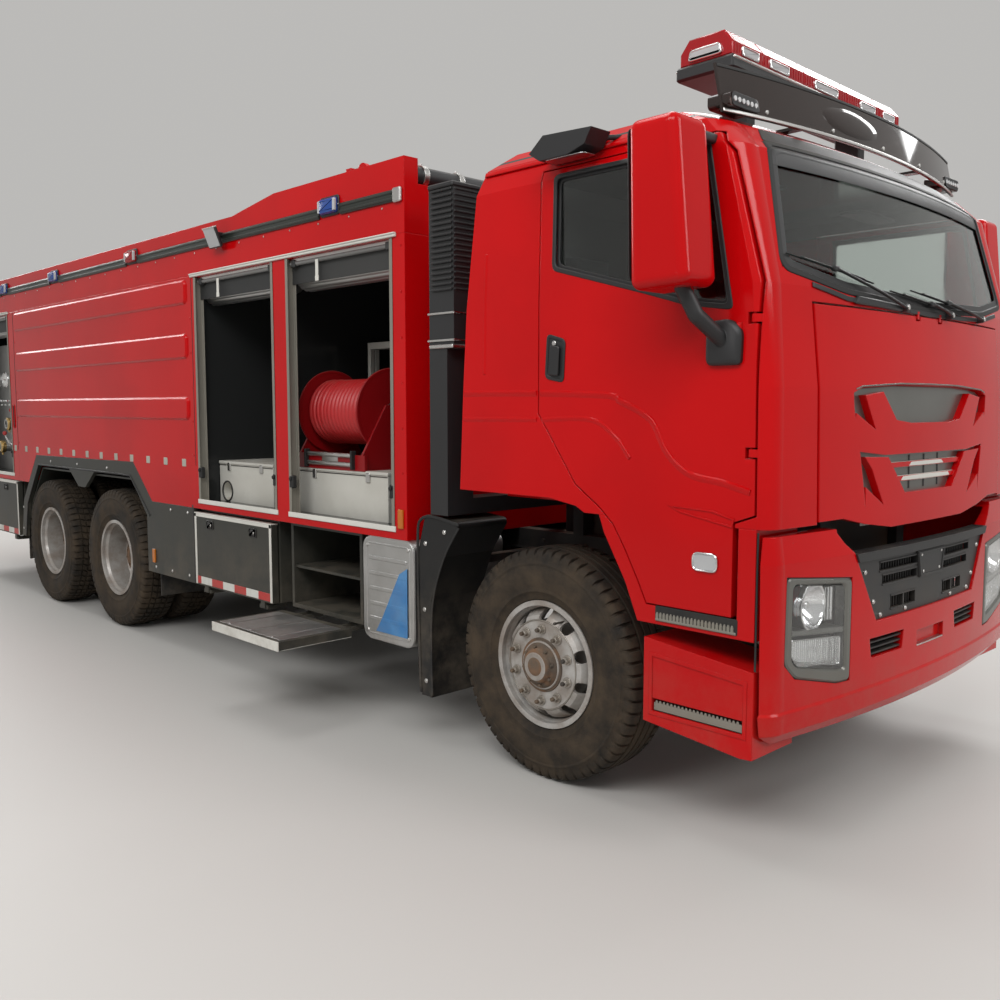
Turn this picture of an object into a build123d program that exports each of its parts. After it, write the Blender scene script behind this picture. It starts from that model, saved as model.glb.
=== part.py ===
from build123d import *
import math
import os

# A six-wheeled fire truck with a forward cab and an equipment body.
# Millimetres. +X is forward, +Y the truck's left, +Z up, ground at zero.
# Stations along the truck are measured from the front axle; every node is moved
# at the end, so that the origin lies on the ground under the middle of the truck.

# Overall sizes
overall_length = 9750
front_overhang = 1300
tail_x = front_overhang - overall_length
wheelbase = 4578
bogie_spacing = 1360
bogie_front_x = -wheelbase
bogie_rear_x = -wheelbase - bogie_spacing
bogie_middle_x = -wheelbase - bogie_spacing / 2
body_width = 2500
cab_width = 2490
body_y = body_width / 2
cab_y = cab_width / 2

# Wheels
tyre_radius = 542.5
tyre_width = 300
tyre_bore = 288
tyre_facets = 48
bead_offset = 113
sidewall_radius = 405
shoulder = 38
rim_flange_radius = 298.5
rim_half_width = 128
front_track = 2060
twin_track = 1855
twin_spacing = 350
stud_circle = 335
hand_holes = 10
kingpin_inset = 160
kingpin_radius = 22
front_spindle_radius = 40
rear_spindle_radius = 60
fit = 0.05

# Chassis frame
frame_top = 1040
frame_height = 280
frame_bottom = frame_top - frame_height
rail_outer_y = 425
rail_web = 10
rail_flange = 80
rail_front_x = 1050

# Equipment body, side openings and lockers
body_front_x = -880
front_box_rear_x = -3160
tank_rear_x = bogie_rear_x - 722
rear_step_depth = 150
body_rear_x = tail_x + rear_step_depth
rail_rear_x = body_rear_x + 10
body_bottom = frame_top
floor_thickness = 50
wall = 40
post_depth = 60
deck_z = 2600
deck_thickness = 30
opening_top = 2585
opening_bottom = body_bottom + floor_thickness
front_post_x = -980
pillar_front_x = -1990
pillar_rear_x = -2130
opening_rear_x = -3120
rear_opening_front_x = tank_rear_x - 140
rear_opening_rear_x = body_rear_x + 150
divider_x = -2360
board_thickness = 90
board_top = 2910
board_front_top = 2975
board_step_front_x = -2100
board_step_rear_x = -2600
arch_ceiling = 1320
arch_line = [
    (bogie_front_x + 723, body_bottom), (bogie_front_x + 418, 1317), (bogie_rear_x - 262, 1297),
    (bogie_rear_x - 485, body_bottom),
]

swage_rows = [(1640, 1795), (2055, 2220), (2420, 2580)]
swage_depth = 14

# Lower lockers and their flaps
locker_bottom = 516
middle_locker_rear_x = -3210
locker_depth = 600
locker_wall = 25
flap_thickness = 45
flap_gap = 8
flap_hinge_y = body_y - 20
flap_hinge_z = 480
hinge_pin_radius = 8

# Cab
cab_wall = 50
cab_floor_z = 1280
cab_roof_z = 2880
door_gap = 6
door_front_gap = 9
door_inner_y = 1130
door_hinge_x = 1115
door_hinge_y = cab_y - 13
door_hinge_z = (1560, 2050)
door_pin_radius = 6
door_lug_radius = 12
door_lug_height = 30
door_lug_gap = 6
wing_inner_y = 950

# Bumper
bumper_rear_x = 1168
bumper_back_x = 1210

# Hose reel
reel_x = (-2070, -1470)
reel_y = -880
reel_z = 1700
reel_flange_radius = 250
reel_flange = 10
reel_core_radius = 90
hose_outer_radius = 195
reel_shaft_radius = 20
bracket_thickness = 16
bracket_gap = 6

# Roof monitor
monitor_x = -2520
monitor_y = -200
monitor_riser_top = 3120
monitor_axis_z = 3330
monitor_pipe_radius = 38


def block(x0, x1, y0, y1, z0, z1):
    # A box between two limits on each axis, in either order
    size = (abs(x1 - x0), abs(y1 - y0), abs(z1 - z0))
    return Pos((x0 + x1) / 2, (y0 + y1) / 2, (z0 + z1) / 2) * Box(*size)


def side_plate(points, y0, y1):
    # A plate whose outline is drawn in the side view as (x, z)
    face = Face(Wire.make_polygon([Vector(x, y0, z) for x, z in points]))
    return extrude(face, amount=abs(y1 - y0), dir=(0, math.copysign(1, y1 - y0), 0))


def front_plate(points, x0, x1):
    # A plate whose outline is drawn in the front view as (y, z)
    face = Face(Wire.make_polygon([Vector(x0, y, z) for y, z in points]))
    return extrude(face, amount=abs(x1 - x0), dir=(math.copysign(1, x1 - x0), 0, 0))


def turned(points, centre):
    # A ring turned about an axle along Y; points are (offset along it, radius)
    face = Face(Wire.make_polygon([Vector(0, y, r) for y, r in points]))
    return Pos(*centre) * revolve(face, axis=Axis.Y, revolution_arc=360)


def rod(start, end, radius):
    # A round bar between two points
    a = Vector(*start)
    b = Vector(*end)
    plane = Plane(origin=a, z_dir=b - a)
    return extrude(plane * Circle(radius), amount=(b - a).length)


def left_and_right(right):
    return [right, mirror(right, about=Plane.XZ)]


def swap_side(shape, side):
    # Shapes are drawn on the right (side -1) and mirrored for the left (side 1)
    return shape if side < 0 else mirror(shape, about=Plane.XZ)


# Cab outline, as horizontal sections from the floor to the roof:
# height, rear x, side y, side's front x, corner x, corner y, nose x
cab_sections = [
    (1280, -477, 1245, 1150, 1205, 1160, 1262),
    (1800, -450, 1245, 1140, 1192, 1150, 1250),
    (2180, -424, 1245, 1110, 1150, 1120, 1222),
    (2700, -366, 1232, 975, 1015, 1075, 1095),
    (2810, -330, 1195, 860, 910, 1020, 985),
    (2880, -210, 1120, 700, 770, 940, 850),
]


def cab_ring(row, inset, z):
    # One section: straight rear and sides, rounded corners and a bowed front
    rear_x, side_y, side_front_x, corner_x, corner_y, nose_x = row[1:]
    y = side_y - inset
    rear = rear_x + inset
    corner = (corner_x - inset, corner_y - inset)
    front = side_front_x - inset * 0.8
    mid = ((front + corner[0]) / 2 + 12, (y + corner[1]) / 2 + 12)
    edges = [
        Edge.make_line((rear, y, z), (rear, -y, z)),
        Edge.make_line((rear, -y, z), (front, -y, z)),
        Edge.make_three_point_arc((front, -y, z), (mid[0], -mid[1], z), (corner[0], -corner[1], z)),
        Edge.make_three_point_arc(
            (corner[0], -corner[1], z), (nose_x - inset, 0, z), (corner[0], corner[1], z)
        ),
        Edge.make_three_point_arc((corner[0], corner[1], z), (mid[0], mid[1], z), (front, y, z)),
        Edge.make_line((front, y, z), (rear, y, z)),
    ]
    return Wire(edges)


def cab_body(inset, floor_lift=0, roof_drop=0):
    # The cab's outer form, pulled in by an even inset
    last = len(cab_sections) - 1
    rings = []
    for i, row in enumerate(cab_sections):
        z = row[0]
        if i == 0:
            z += floor_lift
        if i == last:
            z -= roof_drop
        rings.append(cab_ring(row, inset, z))
    return Solid.make_loft(rings, ruled=True)


# Chassis


def make_chassis_frame():
    rails = []
    for side in (-1, 1):
        y0 = side * (rail_outer_y - rail_web)
        y1 = side * rail_outer_y
        y2 = side * (rail_outer_y - rail_flange)
        web = block(rail_rear_x, rail_front_x, y0, y1, frame_bottom, frame_top)
        top = block(rail_rear_x, rail_front_x, y2, y1, frame_top - rail_web, frame_top)
        low = block(rail_rear_x, rail_front_x, y2, y1, frame_bottom, frame_bottom + rail_web)
        rails.append(web + top + low)
    frame = rails[0] + rails[1]
    inner = rail_outer_y - rail_web
    for x in (rail_rear_x + 140, bogie_rear_x - 962, bogie_middle_x, -3600, -2400, -1300):
        frame += block(x - 40, x + 40, -inner, inner, 900, 1000)
    frame += block(980, rail_front_x, -inner, inner, 800, 900)
    for side in (-1, 1):
        frame += block(rail_front_x, bumper_back_x, side * 345, side * rail_outer_y, 780, 900)
        # Cab mounts on the rails, front and rear
        for x in (-470, 900):
            frame += block(x, x + 70, side * 345, side * rail_outer_y, frame_top, cab_floor_z)
        # Step box brackets, tied to the rail ahead of the front wheel
        frame += block(700, 780, side * rail_outer_y, side * wing_inner_y, 760, 785)
        # Mudguard and tank brackets behind the front wheel
        frame += block(-780, -720, side * rail_outer_y, side * 900, 900, 940)
        frame += block(-1120, -1040, side * rail_outer_y, side * 620, 800, 860)
    return [frame]


def make_front_axle():
    half = kingpin_y
    beam = front_plate(
        [(-half, 592), (-700, 592), (-560, 540), (560, 540), (700, 592), (half, 592),
         (half, 493), (700, 493), (560, 430), (-560, 430), (-700, 493), (-half, 493)],
        -45, 45)
    for side in (-1, 1):
        beam += Pos(0, side * kingpin_y, tyre_radius) * Cylinder(38, 99)
        beam += Pos(0, side * kingpin_y, tyre_radius) * Cylinder(kingpin_radius, 190)
        y0 = side * 345
        y1 = side * rail_outer_y
        spring = side_plate(
            [(-720, 720), (-640, 700), (-150, 608), (150, 608), (640, 700), (720, 720),
             (720, 745), (640, 738), (150, 668), (-150, 668), (-640, 738), (-720, 745)], y0, y1)
        beam += spring
        beam += block(-90, 90, y0, y1, 540, 608)
        for x in (-690, 690):
            beam += block(x - 30, x + 30, y0, y1, 738, frame_bottom)
    return [beam]


def make_rear_axles():
    shapes = []
    middle_x = bogie_middle_x
    for x in (bogie_front_x, bogie_rear_x):
        tube = Pos(x, 0, tyre_radius) * Rot(90, 0, 0) * Cylinder(78, 1190)
        pumpkin = Pos(x, 0, tyre_radius) * Rot(90, 0, 0) * Cylinder(215, 240)
        nose = rod((x, 0, tyre_radius + 40), (x + 330, 0, tyre_radius + 40), 90)
        spindle = Pos(x, 0, tyre_radius) * Rot(90, 0, 0) * Cylinder(
            rear_spindle_radius, twin_track + 60)
        shapes.append(tube + pumpkin + nose + spindle)
    housing = shapes[0] + shapes[1]
    for side in (-1, 1):
        y0 = side * (rail_outer_y + 15)
        y1 = side * (rail_outer_y + 95)
        x0 = bogie_front_x + 100
        x1 = bogie_rear_x - 100
        housing += side_plate(
            [(x0, 665), (middle_x + 150, 655), (middle_x - 150, 655), (x1, 665),
             (x1, 700), (middle_x - 150, 780), (middle_x + 150, 780), (x0, 700)], y0, y1)
        for x in (bogie_front_x, bogie_rear_x):
            housing += block(x - 60, x + 60, y0, y1, tyre_radius, 670)
        housing += block(middle_x - 120, middle_x + 120, side * 345, y1, 560, 656)
        housing += block(middle_x - 120, middle_x + 120, side * 345, side * rail_outer_y, 600,
                         frame_bottom)
    shaft_z = tyre_radius + 40
    coupling_x = gearbox_rear_x - 110
    housing += rod((bogie_front_x + 300, 0, shaft_z), (coupling_x + 20, 0, 800), 52)
    housing += rod((coupling_x, 0, 800), (gearbox_rear_x, 0, 800), 60)
    housing += rod((bogie_rear_x + 320, 0, shaft_z), (bogie_front_x - 180, 0, shaft_z), 48)
    return [housing]


gearbox_rear_x = -1140


def make_engine_block():
    engine = block(-550, 600, -330, 330, 620, 1240)
    gearbox = block(gearbox_rear_x, -550, -240, 240, 640, 990)
    radiator = block(810, 930, -335, 335, 640, 1250)
    hoses = block(600, 810, -60, 60, 1000, 1120)
    return [engine + gearbox + radiator + hoses]


# Running gear


kingpin_y = front_track / 2 - kingpin_inset


def make_tyre(x, y):
    # Many flat facets, standing on one of them, so that ten tyres stay light.
    # The rows are the section's corners: offset along the axle and radius to the flats.
    half = tyre_width / 2
    rows = [(bead_offset, tyre_bore), (half, sidewall_radius), (half - shoulder, tyre_radius)]
    section = [(-a, r) for a, r in rows] + [(a, r) for a, r in reversed(rows)]
    step = 2 * math.pi / tyre_facets

    def corner(row, facet):
        angle = step * (facet + 0.5)
        reach = row[1] / math.cos(step / 2)
        return Vector(x + reach * math.cos(angle), y + row[0], tyre_radius + reach * math.sin(angle))

    facets = []
    for low, high in zip(section, section[1:] + section[:1]):
        for i in range(tyre_facets):
            corners = [corner(low, i), corner(low, i + 1), corner(high, i + 1), corner(high, i)]
            facets.append(Face(Wire.make_polygon(corners)))
    return Part() + Solid(Shell(facets))


def rim_barrel(offset):
    # Barrel with its two flanges; offset is the rim's middle along the axle
    w = rim_half_width
    r = tyre_bore
    f = rim_flange_radius
    return [
        (offset - w, r - 14), (offset - w, f), (offset - w + 9, f), (offset - w + 9, r),
        (offset + w - 9, r), (offset + w - 9, f), (offset + w, f), (offset + w, r - 14),
        (offset + w - 25, r - 16), (offset + w - 45, r - 26), (offset - w + 45, r - 26),
        (offset - w + 25, r - 16),
    ]


def hand_hole_tools(radius, centre, y0, y1):
    tools = []
    for i in range(hand_holes):
        angle = 2 * math.pi * (i + 0.5) / hand_holes
        x = centre[0] + radius * math.cos(angle)
        z = centre[2] + radius * math.sin(angle)
        tools.append(rod((x, y0, z), (x, y1, z), 29))
    return tools


def make_front_rim(side):
    # Drawn for the left wheel, outward is +Y
    y = front_track / 2
    centre = (0, y, tyre_radius)
    rim = turned(rim_barrel(0), centre)
    disc = [
        (20, 264), (70, 244), (112, 222), (124, 205), (124, 95), (136, 95), (136, 212),
        (124, 230), (82, 254), (44, 264),
    ]
    rim += turned(disc, centre)
    for tool in hand_hole_tools(232, centre, y + 30, y + 180):
        rim -= tool
    bore = front_spindle_radius + fit
    hub = [
        (-60, bore), (60, bore), (60, 0.001), (186, 0.001), (186, 62), (178, 78), (150, 84),
        (146, 112), (124, 118), (60, 130), (40, 205), (-92, 205), (-92, 185), (-20, 185),
        (-20, 90), (-60, 90),
    ]
    rim += turned(hub, centre)
    if side < 0:
        rim = mirror(rim, about=Plane.XZ)
    return rim


def make_rear_rims(x, side):
    # Twin rims on one hub, drawn for the left side; the discs meet between the tyres
    y = twin_track / 2
    centre = (x, y, tyre_radius)
    rim = turned(rim_barrel(-twin_spacing / 2), centre)
    rim += turned(rim_barrel(twin_spacing / 2), centre)
    for way in (1, -1):
        disc = [
            (0, 100), (0, 215), (20, 238), (70, 256), (90, 264), (114, 264), (80, 244),
            (34, 226), (12, 205), (12, 100),
        ]
        rim += turned([(way * a, r) for a, r in disc], centre)
    for tool in hand_hole_tools(232, centre, y - 120, y + 120):
        rim -= tool
    bore = rear_spindle_radius + fit
    hub = [
        (-290, bore), (40, bore), (40, 0.001), (168, 0.001), (168, 88), (150, 104), (40, 118),
        (30, 140), (-40, 140), (-60, 200), (-290, 200), (-290, 180), (-100, 180), (-100, 100),
        (-290, 100),
    ]
    rim += turned(hub, centre)
    if side < 0:
        rim = mirror(rim, about=Plane.XZ)
    return rim


def make_knuckle(side):
    # Fork round the axle's eye, with the wheel's spindle; drawn on the left
    z = tyre_radius
    y = kingpin_y
    bore = kingpin_radius + fit
    knuckle = Pos(0, y, z + 50 + 20.5) * Cylinder(42, 40)
    knuckle += Pos(0, y, z - 50 - 20.5) * Cylinder(42, 40)
    knuckle += block(-34, 34, y + 43, y + 58, z - 90.5, z + 90.5)
    knuckle += block(-34, 34, y, y + 45, z + 50.5, z + 90.5)
    knuckle += block(-34, 34, y, y + 45, z - 90.5, z - 50.5)
    knuckle -= Pos(0, y, z) * Cylinder(bore, 200)
    knuckle += rod((0, y + 55, z), (0, front_track / 2 + 58, z), front_spindle_radius)
    # Steering arm, reaching back below the spring
    knuckle += block(-210, -32, y - 20, y + 20, z - 88, z - 60)
    return swap_side(mirror(knuckle, about=Plane.XZ), side)


# Lower side pieces


def make_side_tanks():
    right = block(-1260, -820, -body_y, -620, 477, 1040)
    right = fillet(right.edges().filter_by(Axis.Y), 70)
    return left_and_right(right)


def make_cab_steps():
    right = side_plate(
        [(646, 800), (1153, 745), (1153, 410), (1100, 406), (646, 452)], -cab_y, -wing_inner_y)
    right -= side_plate(
        [(690, 725), (1110, 690), (1110, 500), (690, 500)], -cab_y - 5, -wing_inner_y - 60)
    tread = block(690, 1110, -cab_y, -wing_inner_y - 60, 490, 500)
    right += tread
    return left_and_right(right)


def make_skirts():
    # Dark lower panels: skirt and arch trim in one, wheel guards and front mudguards
    f = bogie_front_x
    m = bogie_middle_x
    r = bogie_rear_x
    x = middle_locker_rear_x
    right = side_plate(
        [(f + 678, 515), (x, 515), (x, body_bottom)] + arch_line
        + [(r - 637, 865), (r - 712, 529), (r - 612, 529), (r - 532, 850), (r - 212, 1210),
           (m - 182, 1210), (m + 18, 1070), (m + 158, 1070), (m + 358, 1210), (f + 358, 1210),
           (f + 628, 930), (f + 628, 515)],
        -body_y, -body_y + 30)
    guard = side_plate(
        [(f + 588, 700), (f + 568, 960), (f + 348, 1175), (r - 192, 1175), (r - 482, 850),
         (r - 562, 700), (r - 577, 700), (r - 497, 860), (r - 202, 1190), (f + 356, 1190),
         (f + 584, 967), (f + 606, 700)],
        -body_y + 30, -600)
    mudguard = side_plate(
        [(-780, 250), (-800, 1000), (-745, 1190), (-483, 1165), (-610, 985), (-700, 760),
         (-715, 500), (-700, 250)], -1240, -900)
    top_edges = mudguard.edges().filter_by(Axis.Y).group_by(Axis.Z)[-2:]
    mudguard = fillet([e for group in top_edges for e in group], 24)
    return left_and_right(right + guard) + left_and_right(mudguard)


locker_rows = [
    # name, rear x, front x, top
    ("front", -2070, -1345, 985),
    ("middle", middle_locker_rear_x, -2200, 1010),
    ("rear", body_rear_x + 100, tank_rear_x - 60, 1030),
]


def make_locker_boxes():
    boxes = []
    for name, x0, x1, top in locker_rows:
        outer_y = body_y - flap_thickness - 10
        box = block(x0, x1, -outer_y, -outer_y + locker_depth, locker_bottom, body_bottom)
        box -= block(x0 + locker_wall, x1 - locker_wall, -outer_y - 5,
                     -outer_y + locker_depth - locker_wall, locker_bottom + locker_wall,
                     body_bottom - locker_wall)
        for x in hinge_stations(x0, x1):
            for end in (-1, 1):
                a = x + end * 33
                b = x + end * 48
                box += block(a, b, -outer_y + 95, -flap_hinge_y - 8, 468, 492)
                box += block(a, b, -outer_y + 35, -outer_y + 95, 468, locker_bottom)
            box += rod((x - 48, -flap_hinge_y, flap_hinge_z), (x + 48, -flap_hinge_y, flap_hinge_z),
                       hinge_pin_radius)
        boxes.append(box)
    shelf = block(-2045, -1370, -1180, -640, 760, 775)
    boxes[0] += shelf
    return [s for b in boxes for s in left_and_right(b)]


def hinge_stations(x0, x1):
    return (x0 + 140, x1 - 140)


def make_flap(x0, x1, top, side, opened):
    # A bottom-hinged flap, drawn shut on the right side
    outer_y = body_y
    x0 = x0 + 10
    x1 = x1 - 10
    plate = block(x0, x1, -outer_y, -outer_y + flap_thickness, locker_bottom, top)
    for x in hinge_stations(x0 - 10, x1 + 10):
        plate += block(x - 25, x + 25, -outer_y + 6, -outer_y + 34, flap_hinge_z, locker_bottom)
        plate += rod((x - 25, -flap_hinge_y, flap_hinge_z), (x + 25, -flap_hinge_y, flap_hinge_z), 14)
        plate -= rod((x - 30, -flap_hinge_y, flap_hinge_z), (x + 30, -flap_hinge_y, flap_hinge_z),
                     hinge_pin_radius + fit)
    if opened:
        hinge = Axis((0, -flap_hinge_y, flap_hinge_z), (1, 0, 0))
        plate = plate.rotate(hinge, 90)
    return swap_side(plate, side)


# Equipment body


def make_front_body():
    x0 = front_box_rear_x
    x1 = body_front_x
    y = body_y
    shell = block(x0, x1, -y, y, body_bottom, opening_bottom)
    shell += block(x1 - wall, x1, -y, y, opening_bottom, deck_z)
    shell += block(x0, opening_rear_x, -y, y, opening_bottom, deck_z)
    shell += block(x0, x1, -wall / 2, wall / 2, opening_bottom, deck_z)
    divider_y = y - 260
    shell += block(divider_x - wall / 2, divider_x + wall / 2, -divider_y, divider_y, opening_bottom, deck_z)
    for side in (-1, 1):
        outer = side * y
        inner = side * (y - post_depth)
        shell += block(front_post_x, x1, inner, outer, opening_bottom, deck_z)
        shell += block(pillar_rear_x, pillar_front_x, inner, outer, opening_bottom, deck_z)
        shell += block(x0, x1, inner, outer, opening_top, deck_z)
    return [shell]


def make_tank_section():
    x0 = tank_rear_x
    x1 = front_box_rear_x
    y = body_y
    ring = block(x0, x1, -y, y, arch_ceiling, deck_z)
    ring -= block(x0, x1, -y + wall, y - wall, arch_ceiling + wall, deck_z - wall)
    for side in (-1, 1):
        outer = side * y
        inner = side * (y - wall)
        ring += side_plate(
            [(x0, body_bottom), (x0, arch_ceiling + wall), (x1, arch_ceiling + wall), (x1, body_bottom)]
            + arch_line, outer, inner)
        # Sills that stand on the chassis rails
        ring += block(x0, x1, side * 330, side * 420, frame_top, arch_ceiling)
    # Wide shallow beads pressed out of the side panels
    for low, high in swage_rows:
        bead = block(x0 + 40, x1 - 70, -y - swage_depth, -y + 5, low, high)
        bead = fillet(bead.edges().filter_by(Axis.Y), 35)
        bead = chamfer(bead.faces().sort_by(Axis.Y)[0].edges(), swage_depth - 2)
        for shape in left_and_right(bead):
            ring += shape
    return [ring]


def make_pump_body():
    x0 = body_rear_x
    x1 = tank_rear_x
    y = body_y
    shell = block(x0, x1, -y, y, body_bottom, opening_bottom)
    shell += block(rear_opening_front_x + 60, x1, -y, y, opening_bottom, deck_z)
    shell += block(x0, x0 + wall, -y, y, opening_bottom, deck_z)
    shell -= block(x0 - 5, x0 + wall + 5, -600, 600, opening_bottom, opening_top)
    for side in (-1, 1):
        outer = side * y
        inner = side * (y - post_depth)
        shell += block(rear_opening_front_x, x1, inner, outer, opening_bottom, deck_z)
        shell += block(x0, rear_opening_rear_x, inner, outer, opening_bottom, deck_z)
        shell += block(x0, x1, inner, outer, opening_top, deck_z)
    return [shell]


def make_side_boards():
    low = deck_z
    ring = None
    for side in (-1, 1):
        board = side_plate(
            [(body_front_x, low), (body_front_x, board_front_top), (board_step_front_x, board_front_top),
             (board_step_rear_x, board_top), (body_rear_x, board_top), (body_rear_x, low)],
            side * body_y, side * (body_y - board_thickness))
        ring = board if ring is None else ring + board
    inner = body_y - board_thickness
    ring += block(body_front_x - wall, body_front_x, -inner, inner, low, 2850)
    ring += block(body_rear_x, body_rear_x + wall, -inner, inner, low, board_top)
    return [ring]


def make_roof_deck():
    inner = body_y - board_thickness
    deck = block(body_rear_x + wall, body_front_x - wall, -inner, inner, deck_z, deck_z + deck_thickness)
    top = deck_z + deck_thickness
    for x in (bogie_front_x + 278, bogie_rear_x + 338):
        deck += Pos(x, 0, top + 30) * Cylinder(290, 60)
        deck += Pos(x, 0, top + 75) * Cylinder(310, 30)
    box_rear_x = body_rear_x + 400
    for side in (-1, 1):
        deck += block(box_rear_x, box_rear_x + 1000, side * 500, side * 900, top, top + 260)
    return [deck]


shutter_rows = [
    # side, rear x, front x, low z, closed
    (-1, pillar_front_x, front_post_x, opening_bottom, False),
    (-1, opening_rear_x, pillar_rear_x, opening_bottom, False),
    (-1, rear_opening_rear_x, rear_opening_front_x, opening_bottom, False),
    (1, pillar_front_x, front_post_x, opening_bottom, True),
    (1, opening_rear_x, pillar_rear_x, opening_bottom, True),
    (1, rear_opening_rear_x, rear_opening_front_x, opening_bottom, True),
]


def make_roller_shutters():
    shapes = []
    for side, x0, x1, low, closed in shutter_rows:
        roll_y = body_y - 150
        roll_z = opening_top - 90
        roll = rod((x0, -roll_y, roll_z), (x1, -roll_y, roll_z), 90 if not closed else 45)
        if closed:
            roll += block(x0, x1, -body_y + 22, -body_y + 40, low + 60, opening_top)
            roll += block(x0, x1, -body_y + 22, -roll_y, roll_z - 6, roll_z + 6)
            roll += block(x0, x1, -body_y + 10, -body_y + 45, low, low + 60)
        else:
            # Bottom rail under the header, with the hood that covers the roll
            roll += block(x0, x1, -body_y + 15, -body_y + 45, opening_top - 45, opening_top)
            roll += block(x0, x1, -body_y + 40, -body_y + 50, opening_top - 145, opening_top)
            roll += block(x0, x1, -body_y + 45, -roll_y, roll_z - 6, roll_z + 6)
        shapes.append(swap_side(roll, side))
    rear = block(body_rear_x + 10, body_rear_x + 28, -600, 600, opening_bottom, opening_top)
    shapes.append(rear)
    return shapes


def make_racking():
    # Pale boxes on the compartment floors and the slim shelf frame behind the reel
    low = opening_bottom
    reel_box = block(-2120, -1230, -1100, -450, low, 1365)
    locker = block(-3110, divider_x - 60, -1100, -450, low, 1360)
    locker -= rod((-3006, -1110, 1160), (-3006, -1040, 1160), 62)
    frame = None
    for x in (-2150, -1250):
        for y in (-520, -480):
            post = block(x - 15, x + 15, y - 15, y + 15, 1365, 2130)
            frame = post if frame is None else frame
            frame += post
    frame += block(-2165, -1235, -535, -465, 2100, 2130)
    frame += block(-2165, -1235, -535, -80, 2130, 2142)
    return [reel_box + frame, locker]


def make_reel_frame():
    x0, x1 = reel_x
    y0 = reel_y - 230
    y1 = reel_y + 230
    base = 1365
    frame = block(x0 - 40, x1 + 40, y0, y0 + 20, base, base + 90)
    frame += block(x0 - 40, x1 + 40, y1 - 20, y1, base, base + 60)
    frame += block(x0 - 40, x1 + 40, y0, y1, base, base + 8)
    for x, way in ((x0, -1), (x1, 1)):
        a = x + way * bracket_gap
        b = a + way * bracket_thickness
        plate = front_plate(
            [(y0, base), (y1, base), (y1, base + 60), (reel_y + 60, reel_z + 40),
             (reel_y - 60, reel_z + 40), (y0, base + 90)], a, b)
        frame += plate
        frame -= rod((a - 30, reel_y, reel_z), (b + 30, reel_y, reel_z), reel_shaft_radius + fit)
    return [frame]


def make_hose_reel():
    x0, x1 = reel_x
    y, z = reel_y, reel_z
    reel = rod((x0, y, z), (x1, y, z), reel_core_radius)
    reel += rod((x0, y, z), (x0 + reel_flange, y, z), reel_flange_radius)
    reel += rod((x1 - reel_flange, y, z), (x1, y, z), reel_flange_radius)
    reach = bracket_gap + bracket_thickness + 12
    reel += rod((x0 - reach, y, z), (x1 + reach, y, z), reel_shaft_radius)
    return [reel]


def make_reel_hose():
    x0, x1 = reel_x
    y, z = reel_y, reel_z
    coil = rod((x0 + reel_flange, y, z), (x1 - reel_flange, y, z), hose_outer_radius)
    coil -= rod((x0, y, z), (x1, y, z), reel_core_radius)
    return [coil]


outlet_radius = 32.5
outlet_y = -1130
outlet_z = (1330, 1330, 1560)
outlet_pitch = (rear_opening_front_x - rear_opening_rear_x) / 6
outlet_middle_x = rear_opening_rear_x + outlet_pitch * 3.5
outlet_x = (outlet_middle_x + outlet_pitch, outlet_middle_x - outlet_pitch, outlet_middle_x)


def make_pump_panel():
    # Panel with its hose outlets and gauges, behind the rear opening on the right
    face_y = -1000
    panel = block(rear_opening_rear_x - 10, rear_opening_front_x + 60, face_y, face_y + 30, opening_bottom, 2350)
    for x, z in zip(outlet_x, outlet_z):
        panel += rod((x, face_y, z), (x, outlet_y, z), outlet_radius + 16)
        panel += rod((x, face_y, z), (x, face_y - 20, z), outlet_radius + 40)
        panel -= rod((x, face_y + 35, z), (x, outlet_y - 5, z), outlet_radius)
    for i in range(4):
        x = rear_opening_rear_x + outlet_pitch * (1.1 + 1.35 * i)
        panel += rod((x, face_y, 2000), (x, face_y - 40, 2000), 75)
    return [panel]


def make_air_intake():
    duct = block(-690, -560, -1250, -1080, 1195, 2250)
    duct += block(-690, -510, -1250, -1080, 2010, 2790)
    duct += block(-690, -560, -1080, -160, 1195, 1275)
    duct += block(-690, -560, -240, -160, 990, 1195)
    bar_x = body_front_x - 50
    bar_z = board_front_top - 75
    bar_end = body_y - board_thickness
    bar = rod((bar_x, -bar_end, bar_z), (bar_x, bar_end, bar_z), 50)
    for y in (-900, -300, 300, 900):
        bar += block(bar_x - 20, body_front_x - 5, y - 20, y + 20, bar_z - 50, bar_z)
    return [duct, bar]


side_lamp_stations = (-1520, bogie_front_x + 538, bogie_rear_x + 368, tank_rear_x - 160)


def make_body_lamps():
    shapes = []
    for x in side_lamp_stations:
        lamp = block(x - 90, x + 90, -body_y - 34, -body_y, 2765, 2870)
        lamp = fillet(lamp.edges().filter_by(Axis.Y), 22)
        shapes += left_and_right(lamp)
    # Flood lamps, tilted to light the ground beside the truck
    flood = Pos(-2720, -body_y - 62, 2790) * Rot(22, 0, 0) * Box(150, 30, 130)
    flood += block(-2745, -2695, -body_y - 55, -body_y, 2790, 2830)
    shapes += left_and_right(flood)
    for side in (-1, 1):
        shapes.append(block(body_rear_x - 25, body_rear_x, side * 900, side * 1150, 1180, 1500))
        shapes.append(block(body_rear_x - 25, body_rear_x, side * 900, side * 1150, 2640, 2760))
    return shapes


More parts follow.
